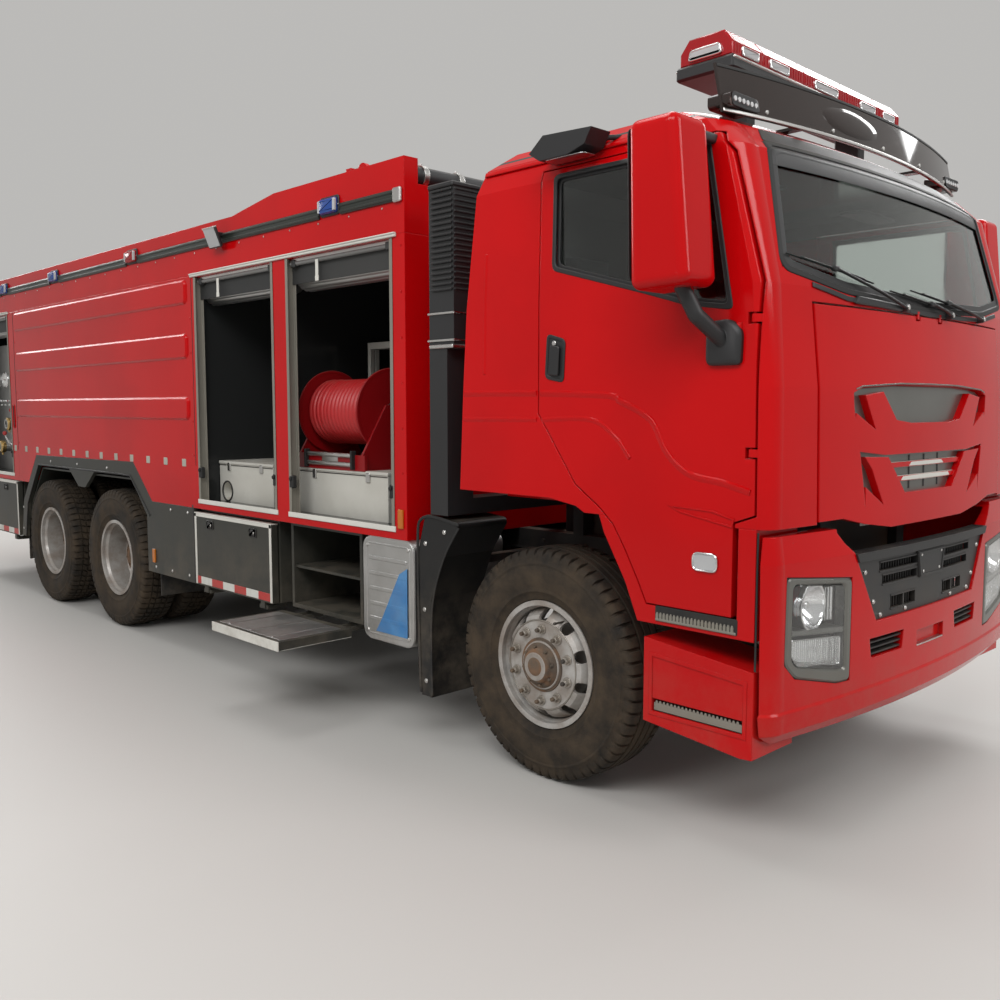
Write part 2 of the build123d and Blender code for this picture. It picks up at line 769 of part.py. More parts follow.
def make_rear_steps():
    half = body_y - 10
    low = 560
    bumper = block(tail_x, body_rear_x, -half, half, low, 640)
    bumper += block(body_rear_x - 40, body_rear_x, -half, half, 640, body_bottom)
    for side in (-1, 1):
        bumper += block(body_rear_x - 40, rail_rear_x + 40, side * 345, side * rail_outer_y, 600,
                        frame_bottom)
        bumper += block(body_rear_x, body_rear_x + 90, side * 900, side * 960, low, body_bottom)
    # Towing jaw with its vertical pin hole
    bumper += block(tail_x, body_rear_x, -60, 60, 700, 725)
    bumper += block(tail_x, body_rear_x, -60, 60, 795, 820)
    bumper -= Pos(tow_x, 0, 760) * Cylinder(tow_pin_radius, 200)
    ladder = None
    for y in (720, 1100):
        rail = block(body_rear_x - 110, body_rear_x - 75, y - 15, y + 15, 640, 3000)
        for z in (1120, 2540):
            rail += block(body_rear_x - 75, body_rear_x, y - 15, y + 15, z - 20, z + 20)
        ladder = rail if ladder is None else ladder + rail
    for i in range(8):
        z = 800 + i * 290
        ladder += rod((body_rear_x - 92, 720, z), (body_rear_x - 92, 1100, z), 14)
    return [bumper, ladder]


tow_x = tail_x + 60
tow_pin_radius = 20


def make_roof_fittings():
    top = deck_z + deck_thickness
    riser = Pos(monitor_x, monitor_y, top + 10) * Cylinder(110, 20)
    riser += rod((monitor_x, monitor_y, top), (monitor_x, monitor_y, monitor_riser_top), 45)
    return [riser]


def make_monitor_swivel():
    x, y = monitor_x, monitor_y
    low = monitor_riser_top + 0.3
    swivel = rod((x, y, low), (x, y, low + 60), 62)
    swivel += rod((x, y, low), (x, y, monitor_axis_z), monitor_pipe_radius)
    swivel += rod((x, y - 70, monitor_axis_z), (x, y + 70, monitor_axis_z), 46)
    return [swivel]


def make_monitor_barrel():
    x, y = monitor_x, monitor_y
    z = monitor_axis_z
    barrel = None
    for way in (-1, 1):
        cheek = rod((x, y + way * 70.3, z), (x, y + way * 100, z), 52)
        barrel = cheek if barrel is None else barrel + cheek
    barrel += block(x - 160, x + 20, y - 100, y - 70.3, z - 25, z + 25)
    barrel += block(x - 160, x + 20, y + 70.3, y + 100, z - 25, z + 25)
    barrel += block(x - 190, x - 130, y - 100, y + 100, z - 40, z + 40)
    barrel += rod((x - 150, y, z), (x - 620, y, z), 34)
    barrel += rod((x - 600, y, z), (x - 760, y, z), 46)
    return [barrel]


# Cab


door_outline = [
    (50, 2740), (50, 1700), (270, 1400), (400, 1315), (480, 1245), (545, 1145), (610, 1030),
    (655, 940), (1050, 940), (1050, 1300), (1140, 1333), (1135, 1680), (1129, 2180), (995, 2663),
    (940, 2740),
]
window_outline = [(127, 2318), (127, 2712), (905, 2712), (1027, 2090), (827, 2120), (613, 2184)]
arch_outline = [
    (-600, 1333), (113, 1330), (270, 1306), (364, 1256), (429, 1205), (484, 1113), (546, 1009),
    (618, 840), (618, 700), (-600, 700),
]
windscreen_outline = [
    (-1090, 2245), (-1010, 2735), (1010, 2735), (1090, 2245), (700, 2180), (0, 2150), (-700, 2180),
]
panel_half_width = 930
panel_bottom = 1290
panel_lip_outline = [
    (-760, 1291), (-590, 1257), (-370, 1228), (370, 1228), (590, 1257), (760, 1291),
]
panel_recess = 30
# Half outlines of the panel's pressed forms, as (y, z) from the outer edge inwards
recess_half = [
    (576, 1220), (600, 1377), (633, 1532), (665, 1634), (686, 1735), (690, 1785), (620, 1808), (300, 1823),
]
upper_wing_half = [
    (430, 1531), (655, 1552), (685, 1640), (668, 1705), (514, 1637), (600, 1776), (455, 1792), (335, 1675),
    (200, 1662),
]
lower_wing_half = [
    (376, 1212), (592, 1240), (592, 1407), (441, 1325), (541, 1477), (600, 1529), (403, 1522), (250, 1366),
]
intake_half = [(260, 1376), (380, 1524)]
panel_top = 2118
panel_thickness = 40
panel_gap = 8
panel_hinge_x = 1226
panel_hinge_z = panel_top - 6
panel_hinge_y = (-115, 115)
panel_pin_radius = 3


def grown(points, gap):
    # An outline moved outwards by an even gap
    wire = Wire.make_polygon([Vector(x, 0, z) for x, z in points])
    larger = wire.offset_2d(gap, kind=Kind.INTERSECTION)
    return Face(larger)


def door_cutter(gap):
    face = grown(door_outline, gap)
    inner_y = door_inner_y - 3 * gap
    return extrude(face, amount=400, dir=(0, -1, 0)).moved(Location((0, -inner_y, 0)))


def door_space(gap):
    # The door's own thickness of wall within its outline, drawn on the right
    skin = (Part() + cab_body(-gap)) - (Part() + cab_body(cab_wall + gap))
    skin += block(-477, 1162, -cab_y - gap, -cab_y + cab_wall + gap, 860, 1290)
    return skin & door_cutter(gap)


def door_pins(radius, reach):
    # The upright pins of the two hinges, reaching past their lugs into the door
    pins = None
    for z in door_hinge_z:
        low = (door_hinge_x, -door_hinge_y, z - reach)
        high = (door_hinge_x, -door_hinge_y, z + reach)
        pin = rod(low, high, radius)
        pins = pin if pins is None else pins + pin
    return pins


def door_lugs():
    # Lugs on the front pillar that lie in slots of the door's front edge
    lugs = door_pins(door_lug_radius, door_lug_height / 2)
    for z in door_hinge_z:
        low = z - door_lug_height / 2
        high = z + door_lug_height / 2
        y0 = -door_hinge_y - door_lug_radius
        y1 = -door_hinge_y + door_lug_radius
        lugs += block(door_hinge_x, door_hinge_x + 60, y0, y1, low, high)
    lugs = lugs & (Part() + cab_body(1))
    return lugs + door_pins(door_pin_radius, door_lug_height / 2 + 40)


def door_slots():
    # The slots that let the door turn round its lugs
    reach = door_lug_radius + 8
    slots = None
    for z in door_hinge_z:
        low = z - door_lug_height / 2 - door_lug_gap
        high = z + door_lug_height / 2 + door_lug_gap
        slot = block(door_hinge_x - reach, door_hinge_x + 60, -cab_y - 5, -door_inner_y, low, high)
        slots = slot if slots is None else slots + slot
    return slots


def door_opening():
    # The door's place in the cab, with a wider gap along its front edge, and room
    # beside the floor for that edge as it swings inwards
    space = door_space(door_gap)
    room = block(door_hinge_x - 65, door_hinge_x + 25, -cab_y + cab_wall, -cab_y + 85, 1312, 1345)
    return space + Pos(door_front_gap - door_gap, 0, 0) * space + room


def make_cab_wings():
    # The cab's sides below its floor, round the wheel arches and the upper steps
    wing = side_plate(
        [(400, cab_floor_z), (1150, cab_floor_z), (1150, 860), (560, 860)], -cab_y, -wing_inner_y)
    wing -= side_plate(arch_outline, -cab_y - 5, -wing_inner_y + 5)
    # Well above the upper step
    wing -= block(700, 1075, -cab_y - 5, -wing_inner_y - 40, 905, cab_floor_z)
    wing -= door_opening()
    return left_and_right(Part() + max(wing.solids(), key=lambda s: s.volume))


def make_cab_shell():
    outer = Part() + cab_body(0)
    inner = Part() + cab_body(cab_wall, cab_wall, cab_wall)
    shell = outer - inner
    opening = door_opening()
    lugs = door_lugs()
    arch_y = wing_inner_y - 30
    for side in (-1, 1):
        # Raised floor over the wheel arch, beside the seat
        shell += block(-440, 285, side * (arch_y - 8), side * (cab_y - cab_wall + 5), 1320, 1383)
        shell -= side_plate(arch_outline, side * arch_y, side * (cab_y + 5))
        shell -= swap_side(opening, side)
        shell += swap_side(lugs, side)
    shell -= front_plate(windscreen_outline, 700, 1400)
    # Opening behind the front panel, down through the floor's edge for the panel's lip
    w = panel_half_width + panel_gap
    shell -= block(900, 1400, -w, w, cab_sections[0][0] - 10, panel_top + panel_gap)
    for y in panel_hinge_y:
        shell += block(panel_hinge_x - 7, panel_hinge_x + 6, y - 10, y + 10, panel_hinge_z - 7, panel_top + 20)
        shell += rod((panel_hinge_x, y - 34, panel_hinge_z), (panel_hinge_x, y + 34, panel_hinge_z),
                     panel_pin_radius)
    return [max(shell.solids(), key=lambda s: s.volume)]


def both_halves(half):
    # A whole outline from its right half
    return [(y, z) for y, z in half] + [(-y, z) for y, z in reversed(half)]


def panel_skin(outer, inner, outline):
    # A layer of the cab's front between two insets, carried down below its floor
    layer = (Part() + cab_body(outer)) - (Part() + cab_body(inner))
    foot = cab_sections[0]
    rings = []
    for inset in (outer, inner):
        ring = [cab_ring(foot, inset, z) for z in (1200, foot[0])]
        rings.append(Part() + Solid.make_loft(ring, ruled=True))
    layer += rings[0] - rings[1]
    return layer & front_plate(outline, 1050, 1400)


def make_front_panel():
    w = panel_half_width
    outline = [(-w, panel_bottom)] + panel_lip_outline + [(w, panel_bottom), (w, panel_top), (-w, panel_top)]
    panel = panel_skin(-4, panel_thickness, outline)
    pressed = panel_skin(-10, panel_recess, both_halves(recess_half))
    for wing in (upper_wing_half, lower_wing_half):
        pressed -= front_plate(both_halves(wing), 1000, 1500)
    panel -= pressed
    panel -= front_plate(both_halves(intake_half), 1000, 1400)
    panel = Part() + max(panel.solids(), key=lambda s: s.volume)
    for z, half in ((1414, 315), (1474, 360)):
        panel += block(1215, 1245, -half, half, z, z + 22)
    for y in panel_hinge_y:
        panel -= block(panel_hinge_x - 26, panel_hinge_x + 20, y - 22, y + 22, panel_hinge_z - 14, panel_top + 9)
        panel -= rod((panel_hinge_x, y - 36, panel_hinge_z), (panel_hinge_x, y + 36, panel_hinge_z),
                     panel_pin_radius + fit)
    return [panel]


def make_cab_glass():
    skin = (Part() + cab_body(8)) - (Part() + cab_body(16))
    glass = skin & front_plate(windscreen_outline, 700, 1400)
    return glass.solids()


def make_mirror():
    # Main mirror: a tall rounded housing on a bent arm, steadied by a bracket at its top
    foot = block(930, 1072, -cab_y - 14, -cab_y + 5, 1886, 2036)
    foot = chamfer(foot.faces().sort_by(Axis.Y)[0].edges(), 8)
    mirror = foot + rod((1000, -cab_y + 5, 1965), (965, -1385, 2060), 24)
    mirror += rod((965, -1385, 2060), (915, -1425, 2220), 24)
    mirror += Pos(965, -1385, 2060) * Sphere(24)
    housing = side_plate([(765, 2150), (1020, 2160), (962, 2758), (750, 2758)], -1320, -1530)
    mirror += fillet(housing.edges(), 38)
    mirror += block(800, 930, -1340, -cab_y + 28, 2700, 2730)
    return mirror


def make_kerb_mirror():
    # A hooded mirror over the right-hand door, held by two arms from the roof's edge
    hood = side_plate(
        [(80, 2790), (160, 2852), (425, 2838), (388, 2778), (295, 2752), (140, 2752)], -1345, -1225)
    arms = rod((380, -1270, 2815), (450, -1130, 2830), 11)
    arms += rod((330, -1270, 2820), (390, -1130, 2835), 11)
    return [hood + (arms - (Part() + cab_body(0)))]


def make_door(side):
    skin = (Part() + cab_body(0)) - (Part() + cab_body(cab_wall))
    wing = block(-477, 1150, -cab_y, -cab_y + cab_wall, 860, 1282)
    wing -= side_plate(arch_outline, -cab_y - 5, -wing_inner_y)
    whole = skin + wing
    door = whole & door_cutter(0)
    door = Part() + max(door.solids(), key=lambda s: s.volume)
    door -= door_slots()
    door -= door_pins(door_pin_radius + fit, door_lug_height / 2 + 42)
    door -= side_plate(window_outline, -1000, -1300)
    door += make_mirror()
    return swap_side(door, side)


def make_door_glass(side):
    pane = side_plate(window_outline, -cab_y + 30, -cab_y + 36)
    return swap_side(pane, side)


def make_sun_visor():
    # A bowed band ahead of the roof edge; rows are height, end x, middle x
    rows = ((2850, 875, 1000), (3040, 835, 955))
    rings = []
    for z, end_x, middle_x in rows:
        t = 12
        w = 1100
        rings.append(Wire([
            Edge.make_three_point_arc((end_x, -w, z), (middle_x, 0, z), (end_x, w, z)),
            Edge.make_line((end_x, w, z), (end_x - t, w, z)),
            Edge.make_three_point_arc((end_x - t, w, z), (middle_x - t, 0, z), (end_x - t, -w, z)),
            Edge.make_line((end_x - t, -w, z), (end_x, -w, z)),
        ]))
    visor = Part() + Solid.make_loft(rings, ruled=True)
    for y in (-560, 560):
        visor += block(780, 950, y - 25, y + 25, cab_roof_z, cab_roof_z + 12)
    # Lamp housings under the visor's ends
    for side in (-1, 1):
        housing = block(800, 900, side * 900, side * 1096, 2870, 2925)
        visor += fillet(housing.edges().filter_by(Axis.X), 18)
    return [visor]


def make_light_bar():
    base = block(430, 720, -800, 800, 3120, 3180)
    lens = block(440, 710, -790, 790, 3180, 3290)
    lens = chamfer(lens.faces().sort_by(Axis.Z)[-1].edges(), 45)
    lens = fillet(lens.edges().filter_by(Axis.Z), 40)
    stand = base
    for y in (-520, 520):
        stand += block(500, 640, y - 30, y + 30, cab_roof_z, 3120)
    return [stand, lens]


def make_cab_interior():
    floor = cab_floor_z + cab_wall
    shapes = []
    for y in (-650, 650):
        seat = block(-250, 270, y - 260, y + 260, floor, 1680)
        seat += block(-300, -150, y - 240, y + 240, 1600, 2350)
        shapes.append(seat)
    dash = block(780, 1050, -1050, 1050, 1800, 2080)
    dash += block(780, 1050, -250, 250, floor, 1800)
    column = rod((800, 650, 1850), (545, 650, 2010), 30)
    wheel = Pos(545, 650, 2010) * Rot(0, -58, 0) * Torus(215, 15)
    hub = Pos(545, 650, 2010) * Rot(0, -58, 0) * (Cylinder(60, 30) + Box(412, 30, 12))
    dash += column
    dash += hub
    dash += wheel
    shapes.append(dash)
    return shapes


# Front end


bumper_sections = [
    # height, rear x, side y, side's front x, corner x, corner y, nose x
    (457, 1000, 1205, 1120, 1178, 1100, 1268),
    (500, 1000, 1238, 1152, 1212, 1125, 1296),
    (578, 1000, 1245, 1160, 1220, 1130, 1300),
    (588, 1000, 1238, 1156, 1214, 1126, 1294),
    (1150, 1000, 1245, 1165, 1215, 1150, 1288),
    (1253, 1000, 1240, 1155, 1200, 1150, 1268),
]


def bumper_body(inset):
    rings = [cab_ring(row, inset, row[0]) for row in bumper_sections]
    return Part() + Solid.make_loft(rings, ruled=True)


# Outlines in the bumper's face, as (y, z); the half ones from the outer edge inwards
grille_half = [(510, 850), (690, 1150), (757, 1195), (800, 1238), (800, 1270)]
grille_face_half = [(510, 850), (663, 1105)]
grille_shelf_half = [(666, 1110), (687, 1145)]
lamp_outline = [(705, 636), (705, 1055), (1135, 1100), (1135, 765), (1070, 703), (800, 640)]
lamp_pocket = [(746, 693), (752, 1030), (1092, 1064), (1090, 778), (1050, 745), (790, 697)]
lamp_divider = [(740, 838), (740, 862), (1096, 890), (1096, 868)]
lower_lamp = [(748, 697), (748, 828), (1090, 858), (1088, 780), (1050, 749), (790, 700)]
upper_lamp_y = 943
upper_lamp_z = 966
upper_lamp_radius = 86
fog_opening = [(285, 700), (270, 780), (560, 782), (545, 700)]


def on_side(outline, side):
    return [(side * y, z) for y, z in outline]


def bumper_layer(outer, inner, outline):
    # A layer of the bumper's face between two insets, within an outline
    layer = bumper_body(outer) - bumper_body(inner)
    return layer & front_plate(outline, 1100, 1400)


def make_bumper():
    bumper = bumper_body(0) - block(900, bumper_rear_x, -cab_y - 20, cab_y + 20, 300, 1400)
    bumper -= block(bumper_rear_x, bumper_back_x, -1090, 1090, 540, 1225)
    bumper -= front_plate(both_halves(grille_half), 1100, 1400)
    for side in (-1, 1):
        bumper -= front_plate(on_side(lamp_outline, side), 1020, 1400)
        bumper -= front_plate(on_side(fog_opening, side), 1100, 1400)
    bumper -= block(1270, 1400, -140, 140, 684, 754)
    return [Part() + max(bumper.solids(), key=lambda s: s.volume)]


def make_bumper_grille():
    # Bowed face with its openings and slats, a centre plate and a ledge along the top
    face = bumper_layer(12, 34, both_halves(grille_face_half))
    for side in (-1, 1):
        for y0, y1, z0, z1 in ((135, 450, 992, 1034), (135, 475, 1050, 1090), (145, 250, 880, 938),
                               (262, 375, 880, 938)):
            face -= block(1100, 1400, side * y0, side * y1, z0, z1)
    face += bumper_layer(4, 20, [(-118, 985), (118, 985), (145, 1104), (-145, 1104)])
    face += bumper_layer(-8, 60, both_halves(grille_shelf_half))
    face += bumper_layer(12, 34, [(-600, 1098), (600, 1098), (600, 1116), (-600, 1116)])
    shapes = [face]
    for side in (-1, 1):
        shapes.append(front_plate(on_side(fog_opening, side), 1214, 1235))
    return shapes


def make_headlamps():
    # Framed pocket with a round lamp above a divider and a square one below
    shapes = []
    for side in (-1, 1):
        lamp = bumper_body(-4) & front_plate(on_side(lamp_outline, side), 1020, 1400)
        lamp -= block(900, bumper_rear_x, -1300, 1300, 500, 1200)
        lamp -= front_plate(on_side(lamp_pocket, side), 1188, 1400)
        y = side * upper_lamp_y
        fill = rod((1180, y, upper_lamp_z), (1300, y, upper_lamp_z), upper_lamp_radius)
        fill += front_plate(on_side(lower_lamp, side), 1180, 1400)
        lamp += fill & bumper_body(14)
        lamp += front_plate(on_side(lamp_divider, side), 1180, 1400) & bumper_body(3)
        shapes.append(lamp)
    return shapes


nodes = {
    "chassis_frame": make_chassis_frame(),
    "front_axle": make_front_axle(),
    "rear_axles": make_rear_axles(),
    "engine_block": make_engine_block(),
    "side_tanks": make_side_tanks(),
    "cab_steps": make_cab_steps(),
    "skirts": make_skirts(),
    "locker_boxes": make_locker_boxes(),
    "bumper": make_bumper(),
    "bumper_grille": make_bumper_grille(),
    "headlamps": make_headlamps(),
    "front_body": make_front_body(),
    "tank_section": make_tank_section(),
    "pump_body": make_pump_body(),
    "side_boards": make_side_boards(),
    "roof_deck": make_roof_deck(),
    "roller_shutters": make_roller_shutters(),
    "racking": make_racking(),
    "reel_frame": make_reel_frame(),
    "hose_reel": make_hose_reel(),
    "reel_hose": make_reel_hose(),
    "pump_panel": make_pump_panel(),
    "air_intake": make_air_intake(),
    "body_lamps": make_body_lamps(),
    "rear_steps": make_rear_steps(),
    "monitor_riser": make_roof_fittings(),
    "monitor_swivel": make_monitor_swivel(),
    "monitor_barrel": make_monitor_barrel(),
    "cab_shell": make_cab_shell(),
    "cab_wings": make_cab_wings(),
    "front_panel": make_front_panel(),
    "cab_glass": make_cab_glass(),
    "sun_visor": make_sun_visor(),
    "kerb_mirror": make_kerb_mirror(),
    "light_bar": make_light_bar(),
    "cab_interior": make_cab_interior(),
}

for side, name in ((-1, "right"), (1, "left")):
    nodes["knuckle_" + name] = [make_knuckle(side)]
    nodes["front_rim_" + name] = [make_front_rim(side)]
    nodes["front_tyre_" + name] = [make_tyre(0, side * front_track / 2)]
    nodes["door_" + name] = [make_door(side)]
    nodes["door_glass_" + name] = [make_door_glass(side)]
    for number, x in ((1, bogie_front_x), (2, bogie_rear_x)):
        station = str(number) + "_" + name
        nodes["rear_rims_" + station] = [make_rear_rims(x, side)]
        nodes["rear_tyres_" + station] = [
            make_tyre(x, side * (twin_track - twin_spacing) / 2),
            make_tyre(x, side * (twin_track + twin_spacing) / 2),
        ]
    for row in locker_rows:
        nodes["flap_" + row[0] + "_" + name] = [make_flap(*row[1:], side, row[0] == "front")]

os.makedirs("parts", exist_ok=True)
to_origin = Pos(overall_length / 2 - front_overhang, 0, 0)
for name, shapes in nodes.items():
    solids = [s for shape in shapes for s in shape.solids()]
    export_step(to_origin * Compound(solids), "parts/" + name + ".step")
print(len(nodes), "nodes")
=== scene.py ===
import bmesh
import bpy
import math
from mathutils import Matrix, Vector


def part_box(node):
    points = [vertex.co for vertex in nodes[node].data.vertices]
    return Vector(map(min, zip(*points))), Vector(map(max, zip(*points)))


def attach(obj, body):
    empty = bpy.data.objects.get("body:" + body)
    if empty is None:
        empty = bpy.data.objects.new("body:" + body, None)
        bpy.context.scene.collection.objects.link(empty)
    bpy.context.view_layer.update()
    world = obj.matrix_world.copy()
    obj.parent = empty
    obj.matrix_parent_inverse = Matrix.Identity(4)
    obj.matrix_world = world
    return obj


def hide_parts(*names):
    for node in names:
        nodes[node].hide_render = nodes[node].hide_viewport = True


# A six-wheeled fire truck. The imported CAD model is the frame; everything here dresses it.
# Metres. Stations along the truck (x) are counted from the front axle, forward is +X,
# the truck's left is +Y and the ground is z = 0. Side pieces are drawn on the right (-Y).
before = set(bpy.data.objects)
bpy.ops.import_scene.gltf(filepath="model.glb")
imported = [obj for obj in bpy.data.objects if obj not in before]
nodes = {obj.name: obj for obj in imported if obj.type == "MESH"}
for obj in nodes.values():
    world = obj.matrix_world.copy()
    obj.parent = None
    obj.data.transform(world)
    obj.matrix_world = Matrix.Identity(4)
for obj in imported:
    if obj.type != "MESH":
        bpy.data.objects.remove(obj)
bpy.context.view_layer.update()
frontAxleX = sum(corner.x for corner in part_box("front_tyre_right")) / 2
print("frame loaded:", len(nodes), "CAD nodes")

# Camera, fitted to the photograph

cameraSetup = {
    "place": (3.049, -4.391, 1.730),
    "heading": 44.10,      # degrees from straight back towards the truck's left
    "tilt": 5.44,          # degrees down
    "lens": 35.25,
}


def addCamera(setup):
    data = bpy.data.cameras.new("photoCamera")
    data.lens = setup["lens"]
    data.sensor_width = 36
    data.clip_end = 300
    camera = bpy.data.objects.new("photoCamera", data)
    bpy.context.scene.collection.objects.link(camera)
    heading, tilt = math.radians(setup["heading"]), math.radians(setup["tilt"])
    look = Vector((-math.cos(heading) * math.cos(tilt), math.sin(heading) * math.cos(tilt), -math.sin(tilt)))
    camera.location = Vector(setup["place"]) + Vector((frontAxleX, 0, 0))
    camera.rotation_euler = look.to_track_quat("-Z", "Y").to_euler()
    bpy.context.scene.camera = camera


addCamera(cameraSetup)

# Small mesh builders. A piece collects points, faces and a material number for each face.


def newPiece():
    return {"points": [], "faces": [], "slots": []}


def addFaces(piece, points, faces, slot=0):
    start = len(piece["points"])
    piece["points"].extend(points)
    piece["faces"].extend([[start + i for i in face] for face in faces])
    piece["slots"].extend([slot] * len(faces))


def merge(piece, other, matrix=None):
    points = other["points"] if matrix is None else [matrix @ Vector(p) for p in other["points"]]
    start = len(piece["points"])
    piece["points"].extend(points)
    piece["faces"].extend([[start + i for i in face] for face in other["faces"]])
    piece["slots"].extend(other["slots"])


def mirrored(piece):
    return {
        "points": [(p[0], -p[1], p[2]) for p in piece["points"]],
        "faces": [face[::-1] for face in piece["faces"]],
        "slots": list(piece["slots"]),
    }


def bothSides(piece):
    other = mirrored(piece)
    merge(piece, other)
    return piece


def boxPattern():
    # Faces of a box with cut edges; three points stand at each corner
    def point(corner, axis):
        return (corner[0] * 4 + corner[1] * 2 + corner[2]) * 3 + axis

    def place(corner, axis):
        return Vector([(2 * corner[k] - 1) * (1 if k == axis else 0.8) for k in range(3)])

    corners = [(a, b, c) for a in (0, 1) for b in (0, 1) for c in (0, 1)]
    spots = [place(corner, axis) for corner in corners for axis in range(3)]
    faces = [[point(corner, axis) for axis in range(3)] for corner in corners]
    for axis in range(3):
        one, two = (axis + 1) % 3, (axis + 2) % 3
        for side in (0, 1):
            ring = []
            for u, v in ((0, 0), (1, 0), (1, 1), (0, 1)):
                corner = [0, 0, 0]
                corner[axis], corner[one], corner[two] = side, u, v
                ring.append(point(corner, axis))
            faces.append(ring)
        for u in (0, 1):
            for v in (0, 1):
                low, high = [0, 0, 0], [0, 0, 0]
                low[one], low[two], high[one], high[two], high[axis] = u, v, u, v, 1
                faces.append([point(low, one), point(high, one), point(high, two), point(low, two)])
    turned = []
    for face in faces:
        a, b, c = (spots[i] for i in face[:3])
        outward = (b - a).cross(c - a).dot(a + b + c) > 0
        turned.append(face if outward else face[::-1])
    return corners, turned


boxCorners, boxFaces = boxPattern()


def addBox(piece, x0, x1, y0, y1, z0, z1, slot=0, edge=0.003, turn=None):
    # turn is a matrix, applied about the box's own middle
    low = (min(x0, x1), min(y0, y1), min(z0, z1))
    high = (max(x0, x1), max(y0, y1), max(z0, z1))
    cut = min(edge, 0.3 * min(high[k] - low[k] for k in range(3)))
    points = []
    for corner in boxCorners:
        for axis in range(3):
            spot = []
            for k in range(3):
                outer = high[k] if corner[k] else low[k]
                inward = 0 if k == axis else (-cut if corner[k] else cut)
                spot.append(outer + inward)
            points.append(spot)
    if turn is not None:
        middle = Vector([(low[k] + high[k]) / 2 for k in range(3)])
        points = [middle + turn @ (Vector(p) - middle) for p in points]
    addFaces(piece, points, boxFaces, slot)


def sideways(direction):
    # Two unit vectors square to a direction
    direction = Vector(direction).normalized()
    rough = Vector((0, 0, 1)) if abs(direction.z) < 0.9 else Vector((1, 0, 0))
    one = direction.cross(rough).normalized()
    return one, one.cross(direction).normalized()


def ringFaces(rows, count, joined=False):
    # Quads between rows of points; joined closes the last row onto the first
    faces = []
    last = rows if joined else rows - 1
    for i in range(last):
        j = (i + 1) % rows
        for k in range(count):
            n = (k + 1) % count
            faces.append([i * count + k, i * count + n, j * count + n, j * count + k])
    return faces


def addRod(piece, start, end, radius, slot=0, sides=16, endRadius=None, edge=0.0):
    # A round bar, or a cone, with flat ends and an optional cut edge
    start, end = Vector(start), Vector(end)
    along = (end - start).normalized()
    endRadius = radius if endRadius is None else endRadius
    profile = [(0, radius - edge), (edge, radius)] if edge else [(0, radius)]
    reach = (end - start).length
    profile += [(reach - edge, endRadius), (reach, endRadius - edge)] if edge else [(reach, endRadius)]
    one, two = sideways(along)
    points = []
    for distance, r in profile:
        for k in range(sides):
            a = 2 * math.pi * k / sides
            points.append(start + along * distance + one * (r * math.cos(a)) - two * (r * math.sin(a)))
    faces = ringFaces(len(profile), sides)
    faces.append(list(range(sides))[::-1])
    faces.append([(len(profile) - 1) * sides + k for k in range(sides)])
    addFaces(piece, points, [f[::-1] for f in faces], slot)


def addTurned(piece, profile, centre, axis="y", sides=48, slot=0, closed=False, side=1):
    # A profile of (distance along the axis, radius) turned round it; side -1 mirrors it
    points = []
    for distance, r in profile:
        for k in range(sides):
            a = 2 * math.pi * k / sides
            u, v, w = r * math.cos(a), r * math.sin(a), side * distance
            spot = {"x": (w, u, v), "y": (u, w, v), "z": (u, v, w)}[axis]
            points.append((centre[0] + spot[0], centre[1] + spot[1], centre[2] + spot[2]))
    faces = ringFaces(len(profile), sides, joined=closed)
    if not closed:
        if profile[0][1] > 0.0005:
            faces.append(list(range(sides))[::-1])
        if profile[-1][1] > 0.0005:
            faces.append([(len(profile) - 1) * sides + k for k in range(sides)])
    area = 0
    for i, (a, r) in enumerate(profile):
        b, q = profile[(i + 1) % len(profile)]
        area += a * q - b * r
    turnOver = (area > 0) == (side > 0)
    if axis == "y":
        turnOver = not turnOver
    addFaces(piece, points, [f[::-1] for f in faces] if turnOver else faces, slot)


def turnOutward(piece):
    # Closed pieces: faces are turned so that they look out
    volume = 0.0
    for face in piece["faces"]:
        a = Vector(piece["points"][face[0]])
        for k in range(1, len(face) - 1):
            volume += a.dot(Vector(piece["points"][face[k]]).cross(Vector(piece["points"][face[k + 1]])))
    if volume < 0:
        piece["faces"] = [face[::-1] for face in piece["faces"]]
    return piece


def addRing(piece, profile, centre, axis="y", sides=48, slot=0, closed=True, side=1):
    # A turned part whose faces are sure to look out
    part = newPiece()
    addTurned(part, profile, centre, axis, sides, slot, closed, side)
    merge(piece, turnOutward(part))


def addTube(piece, path, radius, slot=0, sides=12, closed=False, flat=1.0):
    # A tube along points; flat squeezes it across
    path = [Vector(p) for p in path]
    count = len(path)
    rings = []
    one = None
    for i, p in enumerate(path):
        before = path[i - 1] if i or closed else p
        after = path[(i + 1) % count] if i < count - 1 or closed else p
        along = (after - before).normalized()
        if one is None:
            one = sideways(along)[0]
        one = (one - along * one.dot(along)).normalized()
        two = along.cross(one)
        for k in range(sides):
            a = 2 * math.pi * k / sides
            rings.append(p + one * (radius * math.cos(a)) + two * (radius * flat * math.sin(a)))
    faces = ringFaces(count, sides, joined=closed)
    if not closed:
        faces.append(list(range(sides))[::-1])
        faces.append([(count - 1) * sides + k for k in range(sides)])
    addFaces(piece, rings, faces, slot)


def bent(points, radius, steps=5):
    # A path with rounded corners
    points = [Vector(p) for p in points]
    path = [points[0]]
    for before, p, after in zip(points, points[1:], points[2:]):
        a, b = (before - p), (after - p)
        cut = min(radius, 0.45 * a.length, 0.45 * b.length)
        first, last = p + a.normalized() * cut, p + b.normalized() * cut
        for k in range(steps + 1):
            t = k / steps
            path.append(first * (1 - t) ** 2 + p * (2 * t * (1 - t)) + last * t ** 2)
    path.append(points[-1])
    return path


